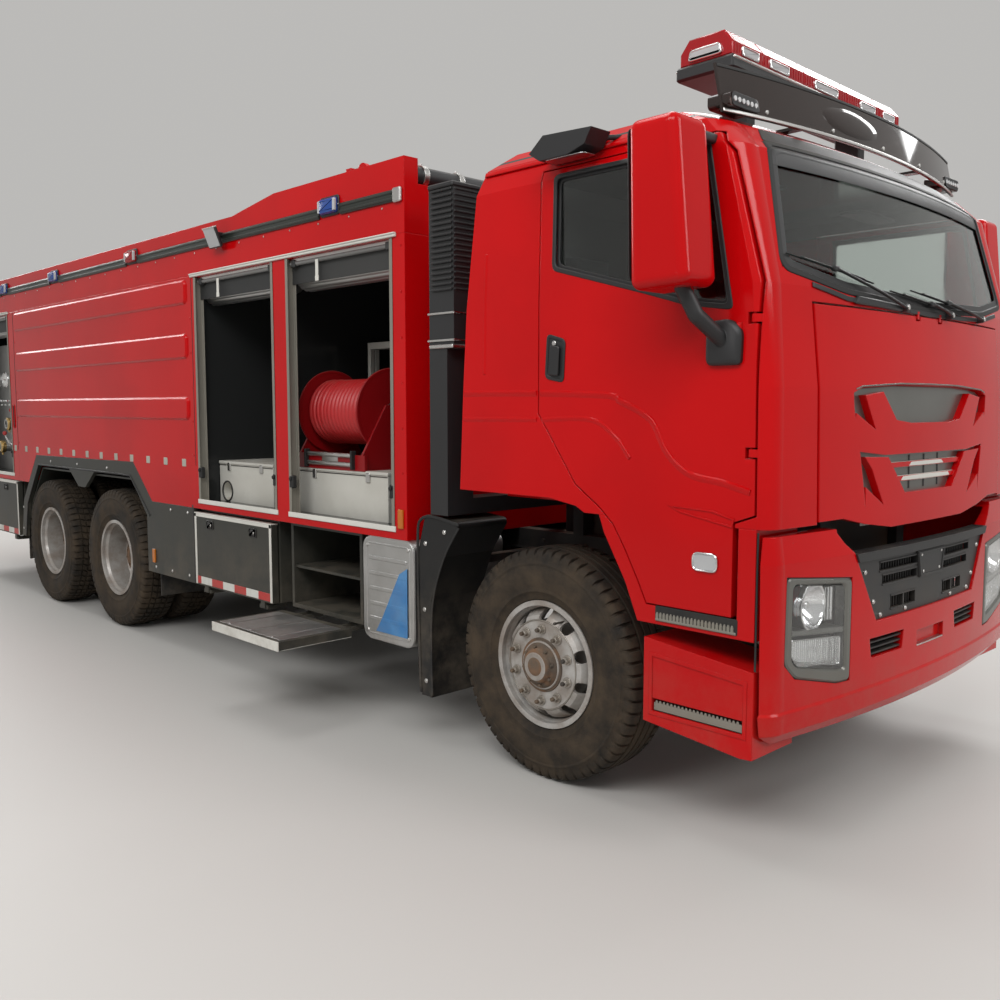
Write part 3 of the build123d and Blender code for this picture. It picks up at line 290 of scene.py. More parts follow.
def rounded(outline, radius, steps=4):
    # A closed outline with round corners; radius is one value or one for each corner
    count = len(outline)
    result = []
    for i in range(count):
        r = radius[i] if isinstance(radius, (list, tuple)) else radius
        p = Vector(outline[i])
        a, b = Vector(outline[i - 1]) - p, Vector(outline[(i + 1) % count]) - p
        cut = min(r, 0.45 * a.length, 0.45 * b.length)
        if cut < 0.0005:
            result.append(p)
            continue
        first, last = p + a.normalized() * cut, p + b.normalized() * cut
        for k in range(steps + 1):
            t = k / steps
            result.append(first * (1 - t) ** 2 + p * (2 * t * (1 - t)) + last * t ** 2)
    return [tuple(p) for p in result]


def rectangle(a0, a1, b0, b1, radius=0.0, steps=4):
    corners = [(a0, b0), (a1, b0), (a1, b1), (a0, b1)]
    return rounded(corners, radius, steps) if radius else corners


def signedArea(outline):
    return sum(a[0] * b[1] - b[0] * a[1] for a, b in zip(outline, outline[1:] + outline[:1])) / 2


def inset(outline, distance):
    # The outline moved inwards by an even distance
    count = len(outline)
    way = 1 if signedArea(outline) > 0 else -1
    result = []
    for i in range(count):
        p = Vector(outline[i])
        a, b = (p - Vector(outline[i - 1])).normalized(), (Vector(outline[(i + 1) % count]) - p).normalized()
        normal = Vector((-a.y - b.y, a.x + b.x)) * way
        if normal.length < 1e-6:
            normal = Vector((-a.y, a.x)) * way
        normal.normalize()
        lean = max(0.35, normal.dot(Vector((-a.y, a.x)) * way))
        result.append(tuple(p + normal * (distance / lean)))
    return result


def lifted(outline, axis, height):
    if axis == "x":
        return [(height, a, b) for a, b in outline]
    if axis == "y":
        return [(a, height, b) for a, b in outline]
    return [(a, b, height) for a, b in outline]


def addPlate(piece, outline, axis, low, high, slot=0, edge=0.002, hole=None):
    # A plate drawn as an outline square to an axis; a hole outline has as many points
    low, high = min(low, high), max(low, high)
    edge = min(edge, 0.3 * (high - low))
    outline = [tuple(p) for p in outline]
    if signedArea(outline) < 0:
        outline = outline[::-1]
        hole = hole[::-1] if hole else None
    rings = [lifted(inset(outline, edge), axis, low), lifted(outline, axis, low + edge),
             lifted(outline, axis, high - edge), lifted(inset(outline, edge), axis, high)]
    count = len(outline)
    if hole:
        rings += [lifted(inset(hole, -edge), axis, high), lifted(hole, axis, high - edge),
                  lifted(hole, axis, low + edge), lifted(inset(hole, -edge), axis, low)]
        faces = ringFaces(8, count, joined=True)
    else:
        faces = ringFaces(4, count)
        faces.append(list(range(count))[::-1])
        faces.append([3 * count + k for k in range(count)])
    if axis == "y":
        faces = [f[::-1] for f in faces]
    addFaces(piece, [p for ring in rings for p in ring], faces, slot)


def addLoft(piece, rings, slot=0):
    # A skin over rings of points, with both ends closed
    count = len(rings[0])
    faces = ringFaces(len(rings), count)
    faces.append(list(range(count))[::-1])
    faces.append([(len(rings) - 1) * count + k for k in range(count)])
    part = newPiece()
    addFaces(part, [p for ring in rings for p in ring], faces, slot)
    merge(piece, turnOutward(part))


def around(count, radius, start=0.0):
    # Places on a circle; start is a share of one step
    angles = [2 * math.pi * (k + start) / count for k in range(count)]
    return [(radius * math.cos(a), radius * math.sin(a)) for a in angles]


def spaced(start, stop, step):
    # Places a step apart, from start and short of stop
    places = []
    while (stop - start) * step > 0:
        places.append(start)
        start += step
    return places


def addHandle(piece, x, foot, top, half, bend, radius, slot, sides):
    # A bent bar along x; foot and top are places (y, z) at its ends and at its grip
    path = [(x - half, *foot), (x - half, *top), (x + half, *top), (x + half, *foot)]
    addTube(piece, bent(path, bend), radius, slot, sides)


def addBolt(piece, place, out, radius=0.009, slot=0, height=0.007):
    # A hexagon head on a washer
    place, out = Vector(place), Vector(out)
    addRod(piece, place, place + out * 0.0025, radius * 1.35, slot, sides=12)
    addRod(piece, place, place + out * height, radius, slot, sides=6)


def makeObject(piece, name, body, finishes, replaces=(), smoothAngle=35):
    mesh = bpy.data.meshes.new(name)
    mesh.from_pydata([(p[0] + frontAxleX, p[1], p[2]) for p in piece["points"]], [], piece["faces"])
    for finish in finishes:
        mesh.materials.append(materials[finish])
    mesh.polygons.foreach_set("material_index", piece["slots"])
    mesh.validate()
    mesh.shade_smooth()
    mesh.set_sharp_from_angle(angle=math.radians(smoothAngle))
    obj = bpy.data.objects.new(name, mesh)
    bpy.context.scene.collection.objects.link(obj)
    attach(obj, body)
    if replaces:
        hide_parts(*replaces)
    return obj


# Shared surface effects, each a shader node group built once


def newGroup(name, inputs, outputs):
    group = bpy.data.node_groups.new(name, "ShaderNodeTree")
    for label, kind, value in inputs:
        socket = group.interface.new_socket(name=label, in_out="INPUT", socket_type="NodeSocket" + kind)
        socket.default_value = value
    for label, kind in outputs:
        group.interface.new_socket(name=label, in_out="OUTPUT", socket_type="NodeSocket" + kind)
    return group, group.nodes.new("NodeGroupInput"), group.nodes.new("NodeGroupOutput")


def addNode(tree, kind, values=None, **settings):
    # values fills sockets: a plain value is set, a socket is linked
    node = tree.nodes.new("ShaderNode" + kind)
    for key, value in settings.items():
        setattr(node, key, value)
    for key, value in (values or {}).items():
        if isinstance(value, bpy.types.NodeSocket):
            tree.links.new(value, node.inputs[key])
        else:
            node.inputs[key].default_value = value
    return node


def maths(tree, operation, a, b=0.0, clamp=False):
    return addNode(tree, "Math", {0: a, 1: b}, operation=operation, use_clamp=clamp).outputs[0]


def smoothRange(tree, value, low, high, toLow=0.0, toHigh=1.0):
    settings = {"Value": value, "From Min": low, "From Max": high, "To Min": toLow, "To Max": toHigh}
    return addNode(tree, "MapRange", settings, interpolation_type="SMOOTHSTEP").outputs["Result"]


def makeGrainGroup():
    # Fine moulded or sprayed texture, with a slower cloud of variation
    group, start, end = newGroup("surfaceGrain", [
        ("Scale", "Float", 200.0), ("Stretch", "Vector", (1.0, 1.0, 1.0)), ("Cloud Scale", "Float", 1.5),
    ], [("Height", "Float"), ("Cloud", "Float")])
    place = addNode(group, "TexCoord").outputs["Object"]
    stretched = addNode(group, "VectorMath", {0: place, 1: start.outputs["Stretch"]}, operation="MULTIPLY")
    fine = addNode(group, "TexNoise", {"Vector": stretched.outputs[0], "Scale": start.outputs["Scale"],
                                       "Detail": 2.0, "Roughness": 0.6})
    cloud = addNode(group, "TexNoise", {"Vector": place, "Scale": start.outputs["Cloud Scale"], "Detail": 4.0})
    group.links.new(fine.outputs[0], end.inputs["Height"])
    group.links.new(cloud.outputs[0], end.inputs["Cloud"])
    return group


def makeDustGroup():
    # Road dust: thick near the ground, thin higher up, and lying on ledges
    group, start, end = newGroup("roadDust", [
        ("Thick Below", "Float", 0.3), ("Gone Above", "Float", 1.3), ("Amount", "Float", 0.5),
        ("On Ledges", "Float", 0.3), ("Patch Scale", "Float", 6.0),
    ], [("Mask", "Float")])
    place = addNode(group, "TexCoord").outputs["Object"]
    height = addNode(group, "SeparateXYZ", {0: place}).outputs["Z"]
    low = smoothRange(group, height, start.outputs["Thick Below"], start.outputs["Gone Above"], 1.0, 0.0)
    patches = addNode(group, "TexNoise", {"Vector": place, "Scale": start.outputs["Patch Scale"],
                                          "Detail": 6.0, "Roughness": 0.7}).outputs[0]
    broken = smoothRange(group, patches, 0.3, 0.72)
    fallen = maths(group, "MULTIPLY", maths(group, "MULTIPLY", low, broken), start.outputs["Amount"])
    up = addNode(group, "SeparateXYZ", {0: addNode(group, "NewGeometry").outputs["Normal"]}).outputs["Z"]
    ledge = maths(group, "MULTIPLY", smoothRange(group, up, 0.6, 0.95), start.outputs["On Ledges"])
    settled = maths(group, "MULTIPLY", ledge, smoothRange(group, patches, 0.35, 0.6))
    group.links.new(maths(group, "MAXIMUM", fallen, settled, clamp=True), end.inputs["Mask"])
    return group


def makeWearGroup():
    # Bare edges: where the rounded normal leaves the flat one, broken up by noise
    group, start, end = newGroup("edgeWear", [
        ("Width", "Float", 0.006), ("Amount", "Float", 0.5),
    ], [("Mask", "Float")])
    soft = addNode(group, "Bevel", {"Radius": start.outputs["Width"]}, samples=4).outputs[0]
    flat = addNode(group, "NewGeometry").outputs["Normal"]
    match = addNode(group, "VectorMath", {0: soft, 1: flat}, operation="DOT_PRODUCT").outputs["Value"]
    edge = smoothRange(group, match, 0.80, 0.99, 1.0, 0.0)
    place = addNode(group, "TexCoord").outputs["Object"]
    chips = addNode(group, "TexNoise", {"Vector": place, "Scale": 26.0, "Detail": 5.0,
                                        "Roughness": 0.75}).outputs[0]
    worn = maths(group, "MULTIPLY", edge, smoothRange(group, chips, 0.48, 0.62))
    group.links.new(maths(group, "MULTIPLY", worn, start.outputs["Amount"], clamp=True), end.inputs["Mask"])
    return group


def makeInsideGroup():
    # 1 inside a box given by its middle and half size
    group, start, end = newGroup("insideBox", [
        ("Middle", "Vector", (0.0, 0.0, 0.0)), ("Half Size", "Vector", (1.0, 1.0, 1.0)),
    ], [("Mask", "Float")])
    place = addNode(group, "TexCoord").outputs["Object"]
    away = addNode(group, "VectorMath", {0: place, 1: start.outputs["Middle"]}, operation="SUBTRACT").outputs[0]
    away = addNode(group, "VectorMath", {0: away}, operation="ABSOLUTE").outputs[0]
    room = addNode(group, "VectorMath", {0: start.outputs["Half Size"], 1: away}, operation="SUBTRACT").outputs[0]
    parts = addNode(group, "SeparateXYZ", {0: room})
    least = maths(group, "MINIMUM", maths(group, "MINIMUM", parts.outputs[0], parts.outputs[1]), parts.outputs[2])
    group.links.new(maths(group, "GREATER_THAN", least, 0.0), end.inputs["Mask"])
    return group


def makeTreadPlateGroup():
    # Raised lozenges of chequer plate, alternately leaning left and right
    group, start, end = newGroup("treadPlate", [("Pitch", "Float", 0.03)], [("Height", "Float")])
    place = addNode(group, "TexCoord").outputs["Object"]
    parts = addNode(group, "SeparateXYZ", {0: place})
    along = maths(group, "DIVIDE", parts.outputs[0], start.outputs["Pitch"])
    across = maths(group, "DIVIDE", parts.outputs[1], start.outputs["Pitch"])
    heights = []
    for way in (1, -1):
        u = maths(group, "ADD", along, maths(group, "MULTIPLY", across, float(way)))
        v = maths(group, "SUBTRACT", along, maths(group, "MULTIPLY", across, float(way)))
        u = maths(group, "ADD", u, 0.5 if way < 0 else 0.0)
        a = maths(group, "ABSOLUTE", maths(group, "SUBTRACT", maths(group, "FRACT", u), 0.5))
        b = maths(group, "ABSOLUTE", maths(group, "SUBTRACT", maths(group, "FRACT", v), 0.5))
        reach = maths(group, "ADD", maths(group, "MULTIPLY", a, 1.15), maths(group, "MULTIPLY", b, 4.2))
        heights.append(smoothRange(group, reach, 0.34, 0.5, 1.0, 0.0))
    group.links.new(maths(group, "MAXIMUM", heights[0], heights[1]), end.inputs["Height"])
    return group


groups = {
    "grain": makeGrainGroup(),
    "dust": makeDustGroup(),
    "wear": makeWearGroup(),
    "inside": makeInsideGroup(),
    "treadPlate": makeTreadPlateGroup(),
}


def placeGroup(tree, key, **values):
    node = tree.nodes.new("ShaderNodeGroup")
    node.node_tree = groups[key]
    for label, value in values.items():
        socket = node.inputs[label.replace("_", " ")]
        if isinstance(value, bpy.types.NodeSocket):
            tree.links.new(value, socket)
        else:
            socket.default_value = value
    return node


def blendColour(tree, mask, a, b):
    node = addNode(tree, "Mix", data_type="RGBA")
    for index, value in ((0, mask), (6, a), (7, b)):
        if isinstance(value, bpy.types.NodeSocket):
            tree.links.new(value, node.inputs[index])
        else:
            node.inputs[index].default_value = value if index == 0 else (*value, 1.0)
    return node.outputs[2]


# Finishes. Each row is one material; a key that is left out keeps the value of plainFinish.
#   colour, cloud      base colour, and the colour it drifts to in slow patches of cloudScale
#   rough, metal       roughness (and its drift) and metallic
#   shine              strength of the plain gloss on top
#   grain              scale, bump depth in metres and stretch of the fine texture
#   wave               depth of slow unevenness in big sheets
#   dust               height where thick, height where gone, amount, on ledges; dustColour is its colour
#   wear               width and amount of bare edges, and their colour
#   soften             radius that sharp CAD edges are rounded to in the shading
#   extra              a function that repaints some places, such as painted shade inside the bays and the cab
plainFinish = {
    "colour": (0.5, 0.5, 0.5), "cloud": None, "cloudScale": 1.5, "rough": 0.5, "roughDrift": 0.1, "metal": 0.0,
    "grain": (220.0, 0.0002, (1.0, 1.0, 1.0)), "wave": 0.0, "dust": (0.2, 1.2, 0.35, 0.15),
    "wear": None, "soften": 0.004, "dustColour": (0.235, 0.190, 0.140), "extra": None, "shine": 0.5,
}
redPaint = (0.490, 0.0018, 0.0030)
finishes = {
    "redPaint": {"colour": redPaint, "cloud": (0.440, 0.0016, 0.0028), "rough": 0.10, "roughDrift": 0.05,
                 "grain": (900.0, 0.00001, (1, 1, 1)), "wave": 0.0012, "dust": (0.2, 1.0, 0.16, 0.03),
                 "soften": 0.007, "shine": 0.20},
    # a darker copy of the red paint: painted shade on the reel parts inside the bay
    "shadedRed": {"colour": (0.24, 0.003, 0.005), "rough": 0.35, "dust": (0.3, 1.4, 0.3, 0.2), "shine": 0.3},
    "greyPaint": {"colour": (0.028, 0.029, 0.025), "cloud": (0.036, 0.036, 0.030), "rough": 0.36,
                  "dust": (0.3, 1.1, 0.30, 0.2), "soften": 0.005, "shine": 0.3},
    "chassisBlack": {"colour": (0.014, 0.014, 0.015), "rough": 0.48, "dust": (0.3, 1.2, 0.7, 0.6),
                     "wear": (0.004, 0.5, (0.10, 0.07, 0.05))},
    "castMetal": {"colour": (0.055, 0.050, 0.046), "cloud": (0.10, 0.055, 0.030), "rough": 0.62, "metal": 0.35,
                  "grain": (260.0, 0.0006, (1, 1, 1)), "dust": (0.4, 1.1, 0.8, 0.5)},
    "hubRust": {"colour": (0.060, 0.042, 0.030), "cloud": (0.150, 0.070, 0.030), "cloudScale": 14.0, "rough": 0.75,
                "grain": (180.0, 0.0009, (1, 1, 1)), "dust": (0.2, 1.0, 0.5, 0.4)},
    "aluminium": {"colour": (0.56, 0.56, 0.55), "cloud": (0.44, 0.44, 0.43), "rough": 0.34, "metal": 1.0,
                  "grain": (60.0, 0.0001, (1.0, 12.0, 12.0)), "dust": (0.2, 1.2, 0.4, 0.2)},
    "satinSteel": {"colour": (0.62, 0.61, 0.59), "rough": 0.24, "metal": 1.0, "dust": (0.2, 1.2, 0.3, 0.2)},
    "blackPlastic": {"colour": (0.013, 0.013, 0.014), "rough": 0.42, "grain": (700.0, 0.0002, (1, 1, 1)),
                     "dust": (0.2, 1.3, 0.35, 0.25)},
    "blackRubber": {"colour": (0.010, 0.010, 0.010), "rough": 0.62, "grain": (300.0, 0.0002, (1, 1, 1))},
    "tyreRubber": {"colour": (0.010, 0.0085, 0.007), "cloud": (0.022, 0.0165, 0.0115), "cloudScale": 4.0,
                   "rough": 0.70,
                   "grain": (240.0, 0.0005, (1, 1, 1)), "dust": (0.9, 1.3, 0.40, 0.2),
                   "dustColour": (0.125, 0.088, 0.055), "soften": 0.003, "shine": 0.3},
    "rimPaint": {"colour": (0.50, 0.49, 0.47), "cloud": (0.36, 0.33, 0.30), "cloudScale": 7.0, "rough": 0.36,
                 "metal": 0.45, "dust": (0.9, 1.2, 0.62, 0.4), "dustColour": (0.20, 0.150, 0.115)},
    "nutSteel": {"colour": (0.42, 0.39, 0.35), "rough": 0.35, "metal": 0.9, "dust": (0.9, 1.2, 0.5, 0.3)},
    "chrome": {"colour": (0.80, 0.80, 0.80), "rough": 0.07, "metal": 1.0, "roughDrift": 0.03,
               "dust": (0.2, 1.0, 0.25, 0.1)},
    "mirrorGlass": {"colour": (0.72, 0.74, 0.76), "rough": 0.03, "metal": 1.0, "dust": (0, 0.1, 0.0, 0.0)},
    "lampReflector": {"colour": (0.86, 0.86, 0.87), "rough": 0.12, "metal": 1.0, "dust": (0, 0.1, 0.0, 0.0)},
    "lampHousing": {"colour": (0.19, 0.19, 0.175), "rough": 0.25, "metal": 0.75, "dust": (0.2, 1.1, 0.3, 0.1)},
    "channelGrey": {"colour": (0.25, 0.235, 0.20), "rough": 0.5, "metal": 0.3, "dust": (0.3, 1.5, 0.4, 0.3)},
    "edgeWhite": {"colour": (0.66, 0.65, 0.60), "rough": 0.42, "dust": (0.2, 1.2, 0.5, 0.4)},
    "boxPaint": {"colour": (0.62, 0.61, 0.56), "cloud": (0.54, 0.53, 0.48), "rough": 0.4, "metal": 0.3,
                 "dust": (0.3, 1.5, 0.4, 0.5)},
    "stripeBlack": {"colour": (0.016, 0.021, 0.016), "rough": 0.30, "dust": (0.2, 1.0, 0.2, 0.2)},
    # dark parts, and the sheet of painted shade before the rolled shutters
    "darkPartsAndShade": {"colour": (0.020, 0.021, 0.021), "cloud": (0.032, 0.032, 0.031), "rough": 0.55,
                   "dust": (0.9, 1.7, 0.35, 0.4)},
    "cabTrim": {"colour": (0.055, 0.053, 0.050), "rough": 0.6, "grain": (900.0, 0.0001, (1, 1, 1)),
                "dust": (0, 0.5, 0, 0.15)},
    "seatCloth": {"colour": (0.040, 0.042, 0.048), "cloud": (0.060, 0.062, 0.068), "rough": 0.9,
                  "grain": (1100.0, 0.0008, (1.0, 2.0, 1.0)), "dust": (0, 0.5, 0, 0.1)},
    "hoseRed": {"colour": (0.42, 0.012, 0.014), "cloud": (0.34, 0.010, 0.012), "rough": 0.38,
                "grain": (420.0, 0.0004, (1, 1, 1)), "dust": (0.9, 1.9, 0.25, 0.2)},
    "brass": {"colour": (0.55, 0.38, 0.16), "rough": 0.28, "metal": 1.0, "dust": (0.3, 1.4, 0.3, 0.2)},
    "blueFilm": {"colour": (0.035, 0.170, 0.400), "cloud": (0.06, 0.22, 0.46), "cloudScale": 9.0, "rough": 0.28,
                 "wave": 0.0015, "dust": (0.2, 1.1, 0.35, 0.2)},
    "gaugeFace": {"colour": (0.72, 0.72, 0.70), "rough": 0.3, "dust": (0, 0.5, 0, 0.1)},
    "bareGreyPaint": {"colour": (0.16, 0.16, 0.155), "rough": 0.38, "dust": (0.3, 1.3, 0.4, 0.3)},
    "reflectorGrey": {"colour": (0.40, 0.39, 0.33), "rough": 0.30, "grain": (450.0, 0.0005, (1, 1, 1)),
                      "dust": (0.3, 1.6, 0.35, 0.2)},
}


def makeFinish(name, row):
    row = {**plainFinish, **row}
    material = bpy.data.materials.new(name)
    material.use_nodes = True
    tree = material.node_tree
    shader = tree.nodes["Principled BSDF"]
    scale, depth, stretch = row["grain"]
    grain = placeGroup(tree, "grain", Scale=scale, Stretch=stretch, Cloud_Scale=row["cloudScale"])
    cloud = smoothRange(tree, grain.outputs["Cloud"], 0.36, 0.66)
    colour = blendColour(tree, cloud, row["colour"], row["cloud"] or tuple(c * 0.88 for c in row["colour"]))
    rough = addNode(tree, "MapRange", {"Value": grain.outputs["Cloud"], "From Min": 0.3, "From Max": 0.7,
                                       "To Min": row["rough"],
                                       "To Max": row["rough"] + row["roughDrift"]}).outputs["Result"]
    if row["extra"]:
        colour = row["extra"](tree, colour)
    if row["wear"]:
        width, amount, bare = row["wear"]
        mask = placeGroup(tree, "wear", Width=width, Amount=amount).outputs["Mask"]
        colour = blendColour(tree, mask, colour, bare)
    low, high, amount, ledges = row["dust"]
    dust = placeGroup(tree, "dust", Thick_Below=low, Gone_Above=high, Amount=amount,
                      On_Ledges=ledges).outputs["Mask"]
    colour = blendColour(tree, dust, colour, row["dustColour"])
    rough = maths(tree, "ADD", rough, maths(tree, "MULTIPLY", dust, 0.45), clamp=True)
    tree.links.new(colour, shader.inputs["Base Color"])
    tree.links.new(rough, shader.inputs["Roughness"])
    shader.inputs["Metallic"].default_value = row["metal"]
    shader.inputs["Specular IOR Level"].default_value = row["shine"]
    normal = addNode(tree, "Bevel", {"Radius": row["soften"]}, samples=4).outputs[0]
    if row["wave"]:
        slow = addNode(tree, "TexNoise", {"Vector": addNode(tree, "TexCoord").outputs["Object"], "Scale": 2.3,
                                          "Detail": 1.0}).outputs[0]
        normal = addNode(tree, "Bump", {"Height": slow, "Distance": row["wave"], "Normal": normal}).outputs[0]
    bump = addNode(tree, "Bump", {"Height": grain.outputs["Height"], "Distance": depth, "Normal": normal})
    tree.links.new(bump.outputs[0], shader.inputs["Normal"])
    return material


materials = {name: makeFinish(name, row) for name, row in finishes.items()}


def makeGlass(name, colour, rough=0.02, transmission=1.0):
    # Clear or tinted glass; thin panes let light straight through
    material = bpy.data.materials.new(name)
    material.use_nodes = True
    tree = material.node_tree
    shader = tree.nodes["Principled BSDF"]
    shader.inputs["Metallic"].default_value = 0.0
    shader.inputs["Transmission Weight"].default_value = transmission
    shader.inputs["IOR"].default_value = 1.45
    smears = placeGroup(tree, "grain", Scale=3.0, Stretch=(1.0, 1.0, 2.5), Cloud_Scale=0.8)
    hazy = addNode(tree, "MapRange", {"Value": smears.outputs["Height"], "From Min": 0.45, "From Max": 0.8,
                                      "To Min": rough, "To Max": rough + 0.05}).outputs["Result"]
    tint = blendColour(tree, smears.outputs["Cloud"], colour, tuple(c * 0.94 for c in colour))
    tree.links.new(tint, shader.inputs["Base Color"])
    tree.links.new(hazy, shader.inputs["Roughness"])
    materials[name] = material


def makeLens(name, colour):
    # Moulded lens with fine vertical flutes
    material = bpy.data.materials.new(name)
    material.use_nodes = True
    tree = material.node_tree
    shader = tree.nodes["Principled BSDF"]
    shader.inputs["Transmission Weight"].default_value = 0.35
    shader.inputs["IOR"].default_value = 1.49
    grain = placeGroup(tree, "grain", Scale=160.0, Stretch=(1.0, 1.0, 0.2), Cloud_Scale=6.0)
    colour = blendColour(tree, grain.outputs["Cloud"], colour, tuple(c * 0.8 for c in colour))
    dust = placeGroup(tree, "dust", Amount=0.25).outputs["Mask"]
    colour = blendColour(tree, dust, colour, plainFinish["dustColour"])
    tree.links.new(colour, shader.inputs["Base Color"])
    rough = addNode(tree, "MapRange", {"Value": grain.outputs["Cloud"], "To Min": 0.08,
                                       "To Max": 0.16}).outputs["Result"]
    tree.links.new(rough, shader.inputs["Roughness"])
    bump = addNode(tree, "Bump", {"Height": grain.outputs["Height"], "Distance": 0.0008})
    tree.links.new(bump.outputs[0], shader.inputs["Normal"])
    materials[name] = material


makeGlass("paneGlass", (0.80, 0.86, 0.83))
makeGlass("lampGlass", (0.95, 0.96, 0.96), rough=0.01)
makeGlass("smokedVisor", (0.050, 0.036, 0.032), rough=0.06, transmission=0.5)
for lensName, lensColour in (("redLens", (0.50, 0.006, 0.012)), ("blueLens", (0.02, 0.09, 0.42)),
                             ("amberLens", (0.75, 0.22, 0.02)), ("clearLens", (0.70, 0.71, 0.72))):
    makeLens(lensName, lensColour)

# Finishes that change with the place on the truck: painted shade inside the bays, the cab and the gap behind the
# front wheel, and striped tape


def placeSocket(tree):
    return addNode(tree, "SeparateXYZ", {0: addNode(tree, "TexCoord").outputs["Object"]})


def paintShadeInside(low, high, inner=(0.020, 0.021, 0.021)):
    # Paints shade inside a body section: a dark colour everywhere inside a box; low and high are its corners from
    # the front axle
    middle = [(a + b) / 2 for a, b in zip(low, high)]
    half = [(b - a) / 2 for a, b in zip(low, high)]
    middle[0] += frontAxleX

    def extra(tree, colour):
        mask = placeGroup(tree, "inside", Middle=middle, Half_Size=half).outputs["Mask"]
        return blendColour(tree, mask, colour, inner)
    return extra


def cabShadeInside(low, high, inner, fronts):
    # As paintShadeInside, painted shade inside the cab, but kept behind the raked front. Each of fronts is a slope,
    # the height where it starts, how much it bows and its place at the middle
    inside = paintShadeInside(low, high, inner)

    def extra(tree, colour):
        place = placeSocket(tree)
        bow = maths(tree, "MULTIPLY", place.outputs["Y"], place.outputs["Y"])
        mask = None
        for slope, height, bowing, reach in fronts:
            above = maths(tree, "SUBTRACT", place.outputs["Z"], height)
            raked = maths(tree, "ADD", place.outputs["X"], maths(tree, "MULTIPLY", above, slope))
            raked = maths(tree, "ADD", raked, maths(tree, "MULTIPLY", bow, bowing))
            behind = maths(tree, "LESS_THAN", raked, reach + frontAxleX)
            mask = behind if mask is None else maths(tree, "MULTIPLY", mask, behind)
        return blendColour(tree, mask, colour, inside(tree, colour))
    return extra


def bandTape(axis, period, first, second):
    # Two colours in turn, along the truck or across it
    def extra(tree, colour):
        along = maths(tree, "FRACT", maths(tree, "DIVIDE", placeSocket(tree).outputs[axis], period))
        return blendColour(tree, maths(tree, "GREATER_THAN", along, 0.5), first, second)
    return extra


tapeRed, tapeWhite = (0.45, 0.01, 0.01), (0.62, 0.62, 0.58)
tapeRow = {"rough": 0.3, "grain": (450.0, 0.0004, (1, 1, 1)), "dust": (0.2, 1.1, 0.4, 0.2)}
placeFinishes = {
    # red paint with painted shade inside the bays and the tank section
    "bodyFront": {**finishes["redPaint"], "extra": paintShadeInside((-3.15, -1.195, 1.0), (-0.905, 1.195, 2.597))},
    "bodyPump": {**finishes["redPaint"], "extra": paintShadeInside((-8.275, -1.195, 1.0), (-6.67, 1.195, 2.597))},
    "bodyTank": {**finishes["redPaint"], "extra": paintShadeInside((-6.7, -1.215, 0.9), (-3.1, 1.215, 2.59))},
    # cab paint with painted shade inside the cab
    "cabPaint": {**finishes["redPaint"],
                 "extra": cabShadeInside((-0.38, -1.17, 1.3), (1.13, 1.17, 2.845), (0.045, 0.043, 0.040),
                                    ((0.250, 2.180, 0.058, 1.196), (1.000, 2.700, 0.060, 1.064)))},
    # grey paint with near-black painted shade in the gap between cab and body, behind the front wheel
    "skirtPaint": {**finishes["greyPaint"],
                   "extra": paintShadeInside((-0.85, -1.30, 0.2), (-0.45, 1.30, 1.25), (0.010, 0.010, 0.010))},
    "sideTape": {**tapeRow, "extra": bandTape("X", 0.30, tapeRed, tapeWhite)},
    "rearTape": {**tapeRow, "extra": bandTape("Y", 0.30, tapeRed, tapeWhite)},
}
materials.update({name: makeFinish(name, row) for name, row in placeFinishes.items()})


def addPlateBump(name, pitch):
    # Chequer plate: a duller aluminium with raised lozenges
    row = {**finishes["aluminium"], "cloud": (0.51, 0.51, 0.50), "rough": 0.42, "dust": (0.2, 1.2, 0.12, 0.1)}
    material = makeFinish(name, row)
    tree = material.node_tree
    shader = tree.nodes["Principled BSDF"]
    below = shader.inputs["Normal"].links[0].from_socket
    lozenges = placeGroup(tree, "treadPlate", Pitch=pitch).outputs["Height"]
    bump = addNode(tree, "Bump", {"Height": lozenges, "Distance": 0.002, "Normal": below})
    tree.links.new(bump.outputs[0], shader.inputs["Normal"])
    materials[name] = material


addPlateBump("treadPlate", 0.045)
print("finishes made:", len(materials))

# Finishes of the CAD nodes that stay

nodeFinishes = {
    "chassis_frame": "chassisBlack", "front_axle": "castMetal", "rear_axles": "castMetal",
    "engine_block": "castMetal", "side_tanks": "aluminium", "cab_steps": "redPaint", "skirts": "skirtPaint",
    "locker_boxes": "greyPaint", "bumper": "redPaint", "bumper_grille": "blackPlastic",
    "headlamps": "lampHousing", "front_body": "bodyFront", "tank_section": "bodyTank", "pump_body": "bodyPump",
    "side_boards": "redPaint", "roof_deck": "treadPlate", "roller_shutters": "aluminium", "racking": "boxPaint",
    "reel_frame": "shadedRed", "pump_panel": "aluminium", "air_intake": "blackPlastic", "body_lamps": "redLens",
    "rear_steps": "redPaint", "cab_wings": "redPaint", "kerb_mirror": "blackPlastic",
    "monitor_riser": "redPaint", "cab_shell": "cabPaint", "cab_glass": "paneGlass",
    "sun_visor": "smokedVisor", "light_bar": "redLens", "cab_interior": "cabTrim", "front_panel": "redPaint",
    "hose_reel": "shadedRed", "reel_hose": "hoseRed", "monitor_swivel": "redPaint", "monitor_barrel": "redPaint",
}
